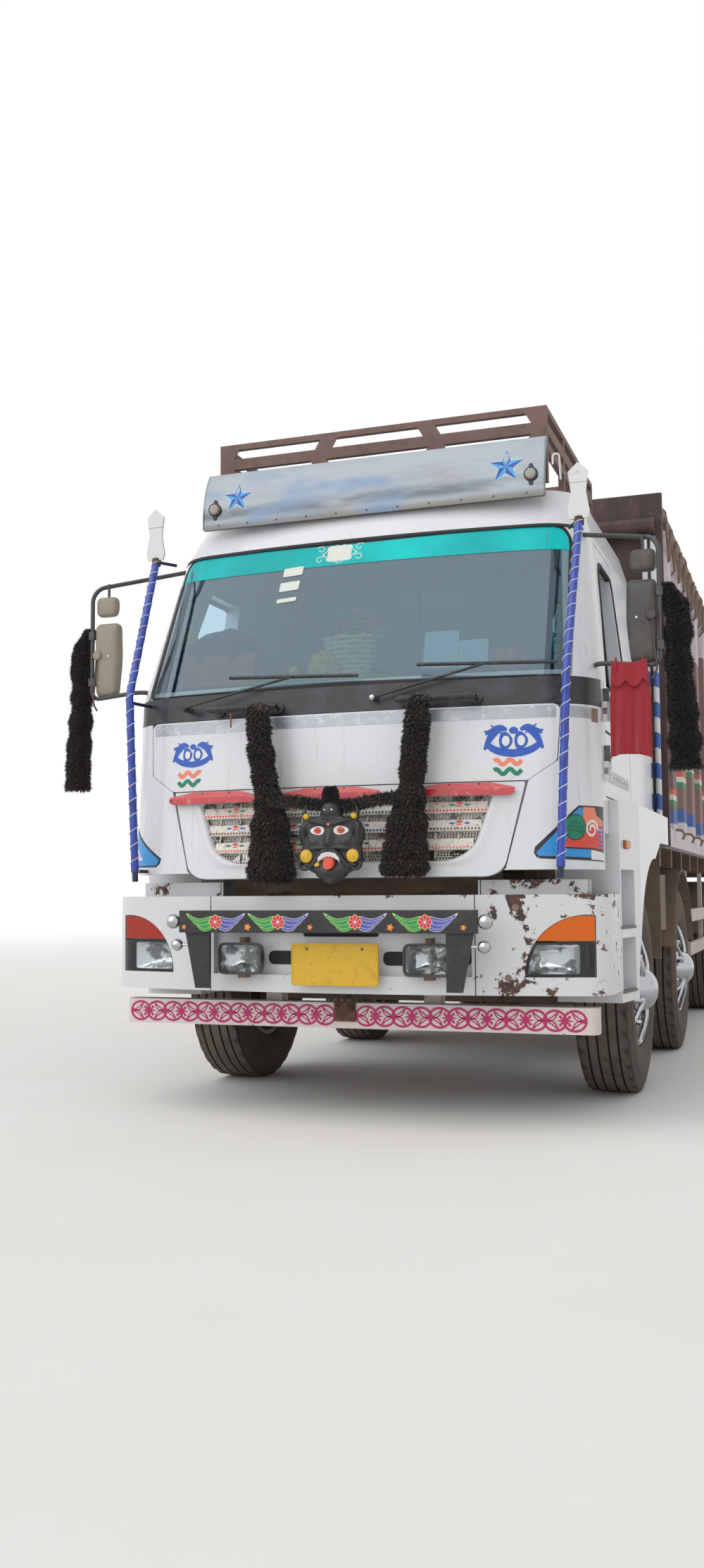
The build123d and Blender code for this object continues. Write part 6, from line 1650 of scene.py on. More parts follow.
ledge = Shape()
rows = []
for k in range(41):
    x = -1.02 + 2.04 * k / 40
    profile = ((0.262, 1.962), (0.264, 1.99), (0.272, 2.0), (0.4, ledge_height(0.4)), (0.545, 2.088),
        (0.556, 2.086), (0.562, 2.074), (0.562, 1.962))
    rows.append([(x, FRONT + station, height) for station, height in profile])
ledge.rows(rows, ring=True, ends=True)
things("dash_ledge", ledge, [dash_plastic], sharp=50)


def bundle(name, middle, half, folds, seed, finish):
    """Cloth rolled and tied up, lying on the ledge: middle and half size across, back and up."""
    shape = Shape()
    rows = []
    for j in range(41):
        rise = pi * (j / 40 - 0.5)
        row = []
        for i in range(80):
            turn = 2 * pi * i / 80
            way = Vector((cos(rise) * cos(turn), cos(rise) * sin(turn), sin(rise)))
            swell = 1 + folds * field.noise(way * 2.2 + Vector((seed, 0, 0)))
            swell += 0.3 * folds * sin(9 * turn + 5 * field.noise(way * 1.6)) * cos(rise) ** 0.5
            x = middle[0] + half[0] * way.x * swell
            station = middle[1] + half[1] * way.y * swell
            low = ledge_height(min(station, 0.545)) + 0.001
            row.append((x, FRONT + station, max(low, middle[2] + half[2] * way.z * swell)))
        rows.append(row)
    shape.rows(rows, ring=True)
    return things(name, shape, [finish], sharp=80)


navy = cotton("navy_cloth", (34, 42, 84), (22, 28, 60))
saffron = cotton("saffron_cloth", (206, 104, 52), (180, 82, 40))
yellow = cotton("yellow_cloth", (222, 188, 62), (196, 156, 44))
pink = cotton("pink_cloth", (214, 116, 112), (222, 146, 96))
bundle("navy_bundle", (-0.775, 0.49, 2.2), (0.215, 0.075, 0.15), 0.22, 3, navy)
bundle("yellow_bundle", (-0.205, 0.43, 2.11), (0.078, 0.05, 0.085), 0.34, 5, yellow)
bundle("pink_heap", (0.71, 0.42, 2.085), (0.078, 0.06, 0.062), 0.4, 8, pink)
bundle("basket_cloth", (-0.985, 0.52, 2.31), (0.048, 0.04, 0.085), 0.3, 12, yellow)
towel = Shape()
TOWEL = (0.39, 0.235)
rows = []
for j in range(33):
    along = TOWEL[1] * j / 32
    row = []
    for i in range(49):
        x = -0.96 + TOWEL[0] * i / 48
        wave = 0.005 * sin(34 * x + 3 * along) + 0.003 * sin(71 * x)
        upright = min(along, 0.16)
        over = along - upright
        row.append((x, FRONT + 0.395 + 0.16 * upright + wave + 0.92 * over,
            2.055 + upright * 0.98 + 0.35 * over))
    rows.append(row)
towel.rows(rows)
towel_piece = things("saffron_towel", towel, [saffron], sharp=80)
towel_piece.modifiers.new("thickness", "SOLIDIFY").thickness = 0.0015

grass = Finish("grass_green", (74, 132, 54), 0.7).mottle((40, 5), (112, 160, 72))
mat = Shape()
draw = Random(31)
blades = []
for number in range(2600):
    x, station = draw.uniform(-0.575, 0.16), draw.uniform(0.3, 0.54)
    root = Vector((x, FRONT + station, ledge_height(station)))
    lean = Vector((draw.uniform(-0.4, 0.4), draw.uniform(-0.4, 0.4), 1)) * draw.uniform(0.012, 0.03)
    half = Vector((draw.uniform(-1, 1), draw.uniform(-1, 1), 0)).normalized() * 0.0016
    start = len(blades)
    blades += [root - half, root + half, root + lean + half * 0.3, root + lean - half * 0.3]
    mat.faces.append([start, start + 1, start + 2, start + 3])
    mat.coats.append(0)
mat.points = blades
mat.rows([[(x, FRONT + s, ledge_height(s) + 0.002) for s in (0.298, 0.42, 0.542)]
    for x in (-0.578, -0.2, 0.163)])
things("grass_mat", mat, [grass], tidy=False)

cane = Finish("cane_cream", (226, 212, 176), 0.6).mottle((60, 5), (190, 166, 122))
petal = Finish("petal_red", (196, 34, 58), 0.5, Sheen_Weight=0.3).mottle((70, 4), (226, 74, 104))
leaf = Finish("leaf_green", (64, 122, 66), 0.45).mottle((50, 4), (96, 158, 84))
posy = Shape()
BASKET = Vector((-0.085, FRONT + 0.485, 2.07))
for k in range(9):
    height = 0.205 + 0.003 * k
    ring = 0.08 + 0.045 * (k / 8)
    posy.tube([BASKET + Vector((ring * cos(a) * 1.05, ring * sin(a) * 0.52,
        0.024 * k + 0.004 * sin(6 * a + pi * k))) for a in turns(48)], 0.0125, 0, 8, closed=True)
for k in range(20):
    angle = 2 * pi * k / 20
    foot = BASKET + Vector((0.083 * cos(angle), 0.045 * sin(angle), -0.004))
    rim = BASKET + Vector((0.131 * cos(angle), 0.072 * sin(angle), 0.2))
    posy.tube([foot, rim], 0.006, 0, 6)
draw = Random(17)
for number in range(150):
    angle, reach = draw.uniform(0, 2 * pi), draw.uniform(0, 1)
    root = BASKET + Vector((0.16 * reach * cos(angle) + 0.05, 0.05 * reach * sin(angle), 0.2))
    root.z += 0.13 * (1 - reach * reach) * draw.uniform(0.2, 1.0)
    facing = Vector((draw.uniform(-1, 1), -1.2, draw.uniform(-0.3, 1))).normalized()
    across = facing.cross(Vector((draw.uniform(-1, 1), 0.1, draw.uniform(-1, 1)))).normalized()
    up = facing.cross(across)
    flower = number % 6 == 0
    count = 6 if flower else 1
    for p in range(count):
        spin = 2 * pi * p / count
        way = across * cos(spin) + up * sin(spin)
        side = up * cos(spin) - across * sin(spin)
        long = 0.024 if flower else 0.034
        wide = 0.011 if flower else 0.008
        tip = root + way * long + facing * 0.006
        posy.add([root, root + way * long * 0.55 + side * wide, tip,
            root + way * long * 0.55 - side * wide], [[0, 1, 2, 3]], 1 if flower else 2)
things("flower_basket", posy, [cane, petal, leaf], tidy=False, sharp=60)

papers = Shape()
for low, high, foot, top, tilt in ((0.29, 0.46, 2.085, 2.27, 0.02), (0.465, 0.61, 2.08, 2.215, -0.015)):
    def paper_point(u, v, out):
        return Vector((u + tilt * v, FRONT + 0.435 + 0.28 * v + 0.004 * sin(30 * u) - out, foot + v))

    papers.slab(rounded(oblong(low, high, 0, top - foot), 0.004, 3), paper_point, 0.0008)
things("blank_papers", papers, [paper_white], sharp=60)

teal = Finish("mesh_teal", (28, 158, 160), 0.4).mottle((30, 4), (18, 128, 134))
lemon = Finish("ball_yellow", (232, 196, 40), 0.4).mottle((30, 4), (214, 170, 30))
lemon.emboss(lemon.cells(220), 0.0006)
bottle_skin = Finish("bottle_skin", (196, 222, 206), 0.1, Transmission_Weight=0.8,
    IOR=1.4).mottle((20, 3), roughness=0.18)
bottle_skin.ribbed("Z", 0.012, 0.002)
odds = Shape()
for centre_x, station, foot, high, ring in ((0.935, 0.52, 2.078, 0.14, 0.046),
        (-0.985, 0.52, 2.078, 0.19, 0.046)):
    centre = Vector((centre_x, FRONT + station, foot))
    for level in range(7):
        rise = high * level / 6
        odds.tube([centre + Vector((ring * cos(a), ring * sin(a), rise)) for a in turns(32)], 0.003
            if level in (0, 6) else 0.0016, 0, 6, closed=True)
    for way in (-1, 1):
        for k in range(16):
            odds.tube([centre + Vector((ring * cos(a), ring * sin(a),
                high * (a - 2 * pi * k / 16) * way / 1.2))
                for a in (2 * pi * k / 16 + way * 1.2 * i / 6 for i in range(7))], 0.0014, 0, 6)
    odds.turned([(0.0, 0.0004), (0.0, ring), (0.003, ring), (0.003, 0.0004)], centre, 0, 32, "Z")
ball_spot = Vector((-0.38, FRONT + 0.47, ledge_height(0.47) + 0.055))
odds.turned([(0.026 * cos(a), 0.026 * sin(a) + 0.0003)
    for a in (pi * k / 14 for k in range(15))], ball_spot, 1, 32, "Z")
things("baskets_and_ball", odds, [teal, lemon], sharp=60)
bottle = Shape()
bottle.turned([(0.0, 0.0004), (0.0, 0.028), (0.006, 0.032), (0.2, 0.032), (0.245, 0.014),
    (0.262, 0.0125), (0.262, 0.0004)], (0.935, FRONT + 0.52, 2.082), 0, 40, "Z")
bottle.turned([(0.262, 0.0004), (0.262, 0.015), (0.284, 0.015), (0.284, 0.0004)],
    (0.935, FRONT + 0.52, 2.082), 1, 32, "Z")
things("water_bottle", bottle, [bottle_skin, lemon], sharp=50)


# Cowl: a black moulded band with two ribbed grab handles, wiper arms on chromed nuts, and a
# small charm of brown seeds tied at the right handle.
cowl_black = Finish("cowl_black", (36, 37, 42), 0.32)
cowl_black.grain(0.0003, 500, 2)
cowl_black.stain((7, 6, 0.65), (0.45, 0.8), (74, 76, 82), 0.5)
handle_black = Finish("handle_black", (40, 40, 42), 0.5)
handle_black.stain((30, 5), (0.45, 0.75), (78, 74, 70), 0.7)
handle_black.grain(0.0006, 260, 3)
dress("cowl", cowl_black)
dress("wipers", handle_black)
grips = Shape()
HANDLES = ((-0.64, -0.29), (0.285, 0.655))
HANDLE_POINT = (FRONT + 0.018, 1.882)
for low_x, high_x in HANDLES:
    route, radii = [], []
    for k in range(61):
        u = k / 60
        end = min(u, 1 - u) * 60
        route.append((low_x + (high_x - low_x) * u, HANDLE_POINT[0] + 0.006, HANDLE_POINT[1]))
        radii.append(0.0185 * min(1.0, 0.55 + 0.15 * end) - (0.0022 if 6 < k < 54 and k % 3 == 0
            else 0.0))
    grips.tube(route, radii, 0, 14)
    for x in (low_x + 0.02, high_x - 0.02):
        inlay(grips, disc(x, HANDLE_POINT[1], 0.03, 18, 0.9), on_cab, 0, 0.012, 0.05)
stand("grab_handles", grips, [handle_black], sharp=30)
nuts = Shape()
for x in (-0.78, 0.17):
    spot = on_cab(x, 1.9, 0.0)
    nuts.turned([(0.0, 0.0004), (0.0, 0.016), (-0.045, 0.014), (-0.06, 0.012), (-0.064, 0.006),
        (-0.064, 0.0004)], (x, spot.y, 1.9), 0, 20, "Y")
stand("wiper_nuts", nuts, [chrome])
seed_brown = Finish("seed_brown", (176, 98, 56), 0.45).mottle((90, 4), (130, 66, 40))
charm = Shape()
charm.tube([(-0.505, FRONT + 0.012, 1.88), (-0.507, FRONT - 0.006, 1.85),
    (-0.508, FRONT - 0.006, 1.802)], 0.0016, 1, 6)
for k in range(6):
    z = 1.85 - 0.011 * k
    charm.turned([(-0.0058, 0.0004), (-0.004, 0.0042), (0.0, 0.0058), (0.004, 0.0042),
        (0.0058, 0.0004)], (-0.5075, FRONT - 0.006, z), 0, 10, "Z")
stand("seed_charm", charm, [seed_brown, seam_rubber])

# Bumper: three welded sheet pieces, white, its corner paint broken off down to dark primer
# and rust around the lamp; clear fluted headlamps, amber indicators and two fog lamps.
BUMPER_PLAN = (0.0, 1.195, 0.0, 4.7, 0.13, 0.49)


def on_bumper(x, height, out=0.0):
    """A point of the bumper's face straight behind x, or out metres in front of it."""
    half, front, bow, corner = BUMPER_PLAN[1:5]
    turn_x = half - corner
    turn_y = front + bow - sqrt((bow - corner) ** 2 - turn_x ** 2)
    edge_x = bow * turn_x / (bow - corner)
    if abs(x) <= edge_x:
        centre, radius, shift = (0.0, front + bow), bow, abs(x)
    else:
        centre, radius, shift = (turn_x, turn_y), corner, abs(x) - turn_x
    shift = min(shift, radius * 0.999)
    away = sqrt(radius * radius - shift * shift)
    normal = (shift / radius, -away / radius)
    side = -1 if x < 0 else 1
    return Vector((side * (centre[0] + shift + normal[0] * out),
        FRONT + centre[1] - away + normal[1] * out, height))


bumper_white = Finish("bumper_white", (214, 216, 218), 0.36, Coat_Weight=0.2, Coat_Roughness=0.2)
bumper_white.coat(bumper_white.times(bumper_white.cloud(3, 6, 0.6), 0.5), (194, 196, 200))
seam_line = bumper_white.between(bumper_white.sum("ABSOLUTE", bumper_white.axis("X")), 0.6285,
    0.6325, 0.0008)
bumper_white.coat(seam_line, (40, 36, 36), 0.9)
flaking = bumper_white.cloud(10, 9, 0.72)
left_corner = bumper_white.past("X", 0.6, 0.8)
low_corner = bumper_white.times(bumper_white.past("Z", 0.72, 0.62),
    bumper_white.within("X", 0.64, 0.84, 0.03))
high_corner = bumper_white.times(bumper_white.within("Z", 0.9, 1.0, 0.02),
    bumper_white.within("X", 0.7, 0.84, 0.03))
edges_worn = bumper_white.past("Z", 0.988, 1.004)
worn_level = bumper_white.sum("MULTIPLY_ADD", left_corner, 0.085, flaking)
worn_level = bumper_white.sum("MULTIPLY_ADD", low_corner, 0.1, worn_level)
worn_level = bumper_white.sum("MULTIPLY_ADD", high_corner, 0.085, worn_level)
worn_level = bumper_white.sum("MULTIPLY_ADD", edges_worn, 0.05, worn_level)
flaked = bumper_white.ramp(worn_level, 0.662, 0.668)
rust = bumper_white.mixed(bumper_white.ramp(bumper_white.cloud(34, 5, 0.7), 0.42, 0.6), (54, 48, 50),
    (96, 60, 46))
bumper_white.coat(bumper_white.ramp(worn_level, 0.645, 0.664), (176, 152, 132), 0.7)
bumper_white.coat(flaked, rust, 0.8)
bumper_white.emboss(flaked, -0.0009)
bumper_white.emboss(seam_line, -0.002)
bumper_white.grain(0.003, 3, 2)
dress("bumper", bumper_white)

# The bumper's openings are near-black plates laid on the recess floor: painted shade in place of the
# dark inside of real openings. Two bolt heads go on the same piece.
opening_shade_black = Finish("opening_shade_black", (24, 23, 24), 0.7).mottle((14, 5), (44, 42, 42), 0.8)
shaded_openings_and_bolts = Shape()
RECESS = 0.03
for low_x, high_x, low, high, round_off in ((-0.34, -0.185, 0.7, 0.762, 0.03),
        (0.215, 0.345, 0.7, 0.762, 0.03), (0.535, 0.612, 0.7, 0.795, 0.03),
        (-0.165, 0.195, 0.826, 0.852, 0.012)):
    hole = rounded(oblong(low_x, high_x, low, high), round_off, 5)
    inlay(shaded_openings_and_bolts, hole, on_bumper, 0, -RECESS + 0.0012, 0.05, back=-RECESS - 0.004)
for x, z in ((0.805, 0.955), (0.77, 0.652)):
    for radius, proud, coat in ((0.026, 0.003, 1), (0.015, 0.006, 2)):
        inlay(shaded_openings_and_bolts, disc(x, z, radius, 20), on_bumper, coat, proud, 0.02)
stand("bumper_opening_shades", shaded_openings_and_bolts, [opening_shade_black, bumper_white, tie_steel], soft=0.0005)

lens_clear = Finish("lens_clear", (236, 240, 240), 0.02, Transmission_Weight=1.0, IOR=1.35)
lens_clear.ribbed("X", 0.007, 0.06)
lens_amber = Finish("lens_amber", (255, 118, 10), 0.12, Transmission_Weight=0.45, IOR=1.4)
grid = lens_amber.sum("MINIMUM", lens_amber.zigzag(lens_amber.axis("X"), 0.003),
    lens_amber.zigzag(lens_amber.axis("Z"), 0.003))
lens_amber.coat(lens_amber.ramp(grid, 0.0005, 0.0015), (255, 142, 32))
lens_amber.coat(lens_amber.past("X", -0.5, -0.6), (198, 54, 22))
lens_amber.emboss(grid, 0.2)
reflector = Finish("reflector", (222, 224, 226), 0.16, 0.95)
reflector.stain((14, 2), (0.5, 0.62), (120, 122, 126), 0.2)
reflector.ribbed("X", 0.01, 0.04)
lamp_case = Finish("lamp_case", (46, 48, 52), 0.35)
lamp_case.ribbed("X", 0.004, 0.4)

LAMP_X, LAMP_Z, LAMP_SPLIT = (0.84, 1.137), (0.655, 0.92), 0.808
LAMP_MID = (LAMP_X[0] + 0.105, LAMP_Z[1] - 0.05)


def arc_through(points):
    """The middle and the radius of the circle through three points."""
    (ax, az), (bx, bz), (cx, cz) = points
    d = 2 * (ax * (bz - cz) + bx * (cz - az) + cx * (az - bz))
    a2, b2, c2 = ax * ax + az * az, bx * bx + bz * bz, cx * cx + cz * cz
    x = (a2 * (bz - cz) + b2 * (cz - az) + c2 * (az - bz)) / d
    z = (a2 * (cx - bx) + b2 * (ax - cx) + c2 * (bx - ax)) / d
    return x, z, hypot(ax - x, az - z)


BROW_ARC = arc_through([(LAMP_X[0], LAMP_Z[0]), LAMP_MID, (LAMP_X[1], LAMP_Z[1])])


def brow(height):
    """The lamp's inner edge: a curve through its foot, its middle and its outer top corner."""
    x, z, reach = BROW_ARC
    return x - sqrt(max(0.0, reach * reach - (height - z) ** 2))


def lamp_part(low, high, gap, outer=LAMP_X[1]):
    """The outline of one glass between two heights, drawn in by gap; its inner edge is the brow."""
    heights = [low + gap + (high - low - 2 * gap) * k / 10 for k in range(11)]
    inner = [(min(brow(z) + gap, outer - gap - 0.002), z) for z in heights]
    return [(outer - gap, low + gap), (outer - gap, high - gap)] + inner[::-1]


for side_name, side in (("left", 1), ("right", -1)):
    lamp = Shape()

    def sided(x, z, out=0.0):
        return on_bumper(side * x, z, out)

    clear = lamp_part(LAMP_Z[0], LAMP_SPLIT - 0.002, 0.003)
    inlay(lamp, clear, sided, 3, -0.075, 0.03, back=-0.08)
    low_ring = [sided(x, z, -0.075) for x, z in clear]
    high_ring = [sided(x, z, -0.01) for x, z in clear]
    lamp.rows([low_ring, high_ring], 3, ring=True)
    window = rounded(lamp_part(LAMP_Z[0], LAMP_SPLIT, 0.014, 1.085), 0.012, 4)
    middle = (sum(x for x, z in window) / len(window), sum(z for x, z in window) / len(window))
    bowl = []
    for share, depth in ((1.0, -0.014), (0.92, -0.03), (0.75, -0.048), (0.5, -0.062), (0.25, -0.068),
            (0.06, -0.068)):
        bowl.append([sided(x, z, depth) for x, z in shrunk(window, middle, share)])
    lamp.rows(bowl, 2, ring=True)
    bulb = sided(middle[0], middle[1], -0.068)
    lamp.turned([(0.0, 0.012), (-0.012, 0.013), (-0.03, 0.009), (-0.036, 0.0004)], bulb, 4, 16, "Y")
    inlay(lamp, clear, sided, 0, -0.003, 0.02, back=-0.007)
    stand(f"headlamp_{side_name}", lamp,
        [lens_clear, lens_amber, reflector, lamp_case, paper_white], slot="lamp_glass",
        sharp=40, replaces="headlamps")
    lamp = Shape()
    amber = lamp_part(LAMP_SPLIT, LAMP_Z[1], 0.003)
    inlay(lamp, amber, sided, 0, -0.003, 0.02, back=-0.012)
    inlay(lamp, amber, sided, 1, -0.04, 0.03, back=-0.044)
    stand(f"indicator_{side_name}", lamp, [lens_amber, reflector], slot="amber_glass",
        sharp=40, replaces="indicators")

    FOG_X, FOG_Z, FOG_FRONT = (0.332, 0.547), (0.657, 0.801), -0.062
    fog = Shape()
    corner = rounded(oblong(*FOG_X, *FOG_Z), 0.036, 6)
    middle = ((FOG_X[0] + FOG_X[1]) / 2, (FOG_Z[0] + FOG_Z[1]) / 2)
    rows = []
    for inset, depth in ((0.02, 0.085), (0.006, 0.05), (0.0, 0.012), (0.0, 0.004), (0.003, 0.0),
            (0.008, 0.0), (0.01, 0.004), (0.011, 0.012)):
        row = []
        for x, z in corner:
            share_x = 1 - inset / (FOG_X[1] - middle[0])
            share_z = 1 - inset / (FOG_Z[1] - middle[1])
            row.append((side * (middle[0] + (x - middle[0]) * share_x),
                FRONT + FOG_FRONT + depth, middle[1] + (z - middle[1]) * share_z))
        rows.append(row)
    fog.rows(rows[:4], 3, ring=True)
    fog.rows(rows[3:], 1, ring=True)
    rows = []
    for share, depth in ((0.89, 0.014), (0.8, 0.03), (0.55, 0.055), (0.25, 0.068), (0.05, 0.07)):
        rows.append([(side * x, FRONT + FOG_FRONT + depth, z) for x,
            z in shrunk(corner, middle, share)])
    fog.rows(rows, 2, ring=True)
    fog.turned([(0.068, 0.011), (0.05, 0.012), (0.034, 0.008), (0.03, 0.0004)],
        (side * middle[0], FRONT + FOG_FRONT, middle[1]), 4, 16, "Y")

    def fog_place(u, v, out):
        swell = 0.006 * max(0.0, 1 - ((u - middle[0]) / 0.1) ** 2) * max(0.0,
            1 - ((v - middle[1]) / 0.07) ** 2)
        return Vector((side * u, FRONT + FOG_FRONT + 0.006 - out - swell, v))

    inlay(fog, shrunk(corner, middle, 0.9), fog_place, 0, 0.0, 0.012, back=-0.004)
    fog.block((side * middle[0] - 0.02, side * middle[0] + 0.02),
        (FRONT + FOG_FRONT + 0.03, FRONT + 0.034), (FOG_Z[0] - 0.016, FOG_Z[0] + 0.004), 5)
    fog.block((side * middle[0] - 0.013, side * middle[0] + 0.013),
        (FRONT + FOG_FRONT + 0.036, FRONT + 0.034), (FOG_Z[1] - 0.004, FOG_Z[1] + 0.022), 5)
    stand(f"fog_lamp_{side_name}", fog,
        [lens_clear, arm_grey, reflector, lamp_case, paper_white, greasy_steel],
        slot="lamp_glass", sharp=35, replaces="headlamps")

# Number plate: pressed sheet, yellow and left blank, with a raised rim, on two short straps
# screwed to the bumper.
plate_yellow = Finish("plate_yellow", (214, 172, 40), 0.35)
plate_yellow.stain((24, 7, 0.7), (0.5, 0.72), (190, 150, 48), 0.6)
plate_yellow.stain((60, 5, 0.7), (0.6, 0.68), (120, 88, 40), 0.8)
plate = Shape()
PLATE_X, PLATE_Z, PLATE_STATION = (-0.19, 0.22), (0.613, 0.8), -0.05


def upright(station):
    """Places (u, v, out) on an upright face across the truck at a station."""
    def place(u, v, out=0.0):
        return Vector((u, FRONT + station - out, v))
    return place


on_plate = upright(PLATE_STATION)
plate_edge = rounded(oblong(*PLATE_X, *PLATE_Z), 0.016, 5)
plate_middle = ((PLATE_X[0] + PLATE_X[1]) / 2, (PLATE_Z[0] + PLATE_Z[1]) / 2)
rows = []
for inset, out in ((0.0, -0.001), (0.0, 0.002), (0.003, 0.0045), (0.006, 0.0045), (0.009, 0.0014)):
    rows.append([on_plate(x + (inset if x < plate_middle[0] else -inset),
        z + (inset if z < plate_middle[1] else -inset), out) for x, z in plate_edge])
plate.rows(rows, 0, ring=True)
plate.slab(plate_edge, on_plate, 0.0016, 0, back=-0.0012)
for x in (-0.115, 0.145):
    plate.turned([(-0.0015, 0.0004), (-0.005, 0.0035), (-0.004, 0.0065), (0.0, 0.007)],
        (x, FRONT + PLATE_STATION, 0.775), 1, 14, "Y")
    plate.block((x - 0.015, x + 0.015), (FRONT + PLATE_STATION + 0.001, FRONT + 0.034), (0.76, 0.79), 2)
stand("number_plate", plate, [plate_yellow, tie_steel, chassis_black], sharp=35)

# Crest bar: a black plate on two wedges with chrome balls, hand painted with four winged
# flowers; below it the white underrun bar with its magenta scroll.
crest_black = Finish("crest_black", (34, 33, 36), 0.38)
crest_black.stain((12, 7, 0.7), (0.5, 0.75), (62, 56, 54), 0.6)
crest_black.stain((30, 7, 0.75), (0.64, 0.68), (116, 74, 54), 0.85)
crest_black.grain(0.0006, 80, 4)
dress("crest_bar", crest_black)
dress("chrome_balls", chrome)
enamel = []
for name, first, second in (("gold", (226, 176, 60), (238, 206, 110)),
        ("leaf", (0, 138, 74), (34, 166, 92)), ("lime", (150, 214, 90), (196, 226, 130)),
        ("magenta", (188, 24, 84), (214, 60, 112)), ("violet", (66, 72, 150), (96, 104, 180)),
        ("pale", (206, 202, 224), (226, 222, 236)), ("orange", (224, 112, 30), (240, 150, 60))):
    made = Finish(f"enamel_{name}", first, 0.4)
    made.mottle((60, 4), second)
    enamel.append(made)
GOLD, LEAF, LIME, MAGENTA, VIOLET, PALE, TANGERINE = range(7)


on_crest = upright(-0.16)
# A step this long leaves an inlay's face whole, since both bars are flat.
WHOLE = 9


def blossom(u, v, radius, petals, wave, steps):
    """A round outline whose edge swells by the share wave at each petal."""
    swells = [(a, radius * (1 + wave * cos(petals * a))) for a in turns(steps)]
    return [(u + reach * cos(a), v + reach * sin(a)) for a, reach in swells]


CREST_LINE = 0.896
BUD_LINE = 0.873
FLOWER_RADIUS = 0.031
BUD_RADIUS = 0.013
motif = Shape()
for number, centre in enumerate((-0.512, -0.209, 0.151, 0.465)):
    for side, edge, body, reflected_dark_band in ((-1, LIME, LEAF, GOLD), (1, PALE, VIOLET, PALE)):
        for feather, (drop, length, lift) in enumerate(((0.014, 0.122, 0.024), (-0.003, 0.1, 0.022),
                (-0.019, 0.074, 0.018))):
            route = []
            for k in range(13):
                t = k / 12
                route.append((centre + side * (0.022 + length * t),
                    CREST_LINE + drop - 0.013 * sin(pi * t) + lift * t ** 3))
            outer = [0.0215 * (1 - t * t) ** 0.5 + 0.003 for t in (k / 12 for k in range(13))]
            inlay(motif, ribbon(route, outer), on_crest, edge, 0.0006 + 0.0002 * feather, WHOLE)
            inlay(motif, ribbon(route[:12], [w - 0.0042 for w in outer[:12]]), on_crest, body,
                0.0009 + 0.0002 * feather, WHOLE)
            inlay(motif, ribbon(route[1:11], 0.0016), on_crest, reflected_dark_band, 0.0013 + 0.0002 * feather,
                WHOLE)
    petals = blossom(centre, CREST_LINE, FLOWER_RADIUS, 8, 0.09, 64)
    inlay(motif, petals, on_crest, GOLD, 0.0018, WHOLE)
    inlay(motif, shrunk(petals, (centre, CREST_LINE), 0.88), on_crest, MAGENTA, 0.0021, WHOLE)
    for k in range(8):
        angle = 2 * pi * (k + 0.5) / 8
        inlay(motif, ribbon([(centre + 0.007 * cos(angle), CREST_LINE + 0.007 * sin(angle)),
            (centre + 0.025 * cos(angle), CREST_LINE + 0.025 * sin(angle))], 0.0018), on_crest,
            GOLD, 0.0024, WHOLE)
    inlay(motif, disc(centre, CREST_LINE, 0.006, 12), on_crest, PALE, 0.0026, WHOLE)
for x, size in ((-0.355, 1.0), (0.31, 1.0), (-0.058, 0.8), (0.632, 0.8), (-0.668, 0.7)):
    inlay(motif, blossom(x, BUD_LINE, BUD_RADIUS * size, 5, 0.25, 40), on_crest, TANGERINE,
        0.0012, WHOLE)
    inlay(motif, disc(x, BUD_LINE, 0.0035 * size, 8), on_crest, GOLD, 0.0016, WHOLE)
stand("crest_painting", motif, enamel, sharp=60)

underrun_white = Finish("underrun_white", (220, 212, 208), 0.5)
underrun_white.stain((14, 8, 0.75), (0.56, 0.66), (190, 168, 148), 0.7)
underrun_white.stain((20, 8, 0.75), (0.64, 0.67), (98, 66, 50), 0.85)
underrun_white.dusty(DUST, 0.2, 6.0, 0.03)
underrun_white.grain(0.0008, 70, 4)
dress("underrun_bar", underrun_white)
magenta_paint = Finish("magenta_paint", (166, 26, 90), 0.42).mottle((8, 5), (186, 34, 104))
magenta_paint.stain((40, 8, 0.75), (0.66, 0.7), (214, 200, 196), 0.6)


on_underrun = upright(0.16)
SCROLL_LINE = 0.466
SCROLL_PITCH = 0.172
scroll = Shape()
for start in (-1.098, 0.048):
    for k in range(12):
        centre = start + SCROLL_PITCH * (k + 0.5) / 2
        ring = [(centre + (SCROLL_PITCH / 4 + 0.006) * cos(2 * pi * i / 28),
            SCROLL_LINE + 0.043 * sin(2 * pi * i / 28)) for i in range(29)]
        inlay(scroll, ribbon(ring, 0.0105), on_underrun, 0, 0.0008 + 0.0002 * (k % 2), WHOLE)
    for k in range(7):
        centre = start + SCROLL_PITCH * k
        inside = [side for side in (-1, 1)
            if start - 0.01 < centre + side * 0.05 < start + 6 * SCROLL_PITCH + 0.01]
        for side in inside:
            for rise in (-1, 1):
                leaf = [(centre + side * (0.006 + 0.052 * t),
                    SCROLL_LINE + rise * (0.004 + 0.036 * t - 0.012 * sin(pi * t)))
                    for t in (i / 8 for i in range(9))]
                inlay(scroll, ribbon(leaf, [0.004 + 0.014 * sin(pi * i / 8)
                    for i in range(9)]), on_underrun, 0, 0.0014, WHOLE)
                inlay(scroll, ribbon(leaf[2:7],
                    [0.001 + 0.006 * sin(pi * i / 4) for i in range(5)]), on_underrun, 1, 0.0018, WHOLE)
        inlay(scroll, disc(centre, SCROLL_LINE, 0.011, 12), on_underrun, 0, 0.0016, WHOLE)
    for k in range(6):
        centre = start + SCROLL_PITCH * (k + 0.5)
        for side in (-1, 1):
            for rise in (-1, 1):
                hook = [(centre + side * (0.004 + 0.02 * sin(t * 1.9)),
                    SCROLL_LINE + rise * (0.004 + 0.026 * t - 0.01 * t * t))
                    for t in (i / 8 for i in range(9))]
                inlay(scroll, ribbon(hook, [0.0095 - 0.0006 * i for i in range(9)]), on_underrun,
                    0, 0.0014, WHOLE)
                inlay(scroll, disc(hook[-1][0] - side * 0.003, hook[-1][1] - rise * 0.002, 0.0058,
                    10), on_underrun, 0, 0.0016, WHOLE)
        spear = [(centre - 0.04, SCROLL_LINE), (centre, SCROLL_LINE + 0.007),
            (centre + 0.04, SCROLL_LINE), (centre, SCROLL_LINE - 0.007)]
        inlay(scroll, spear[::-1], on_underrun, 0, 0.0017, WHOLE)
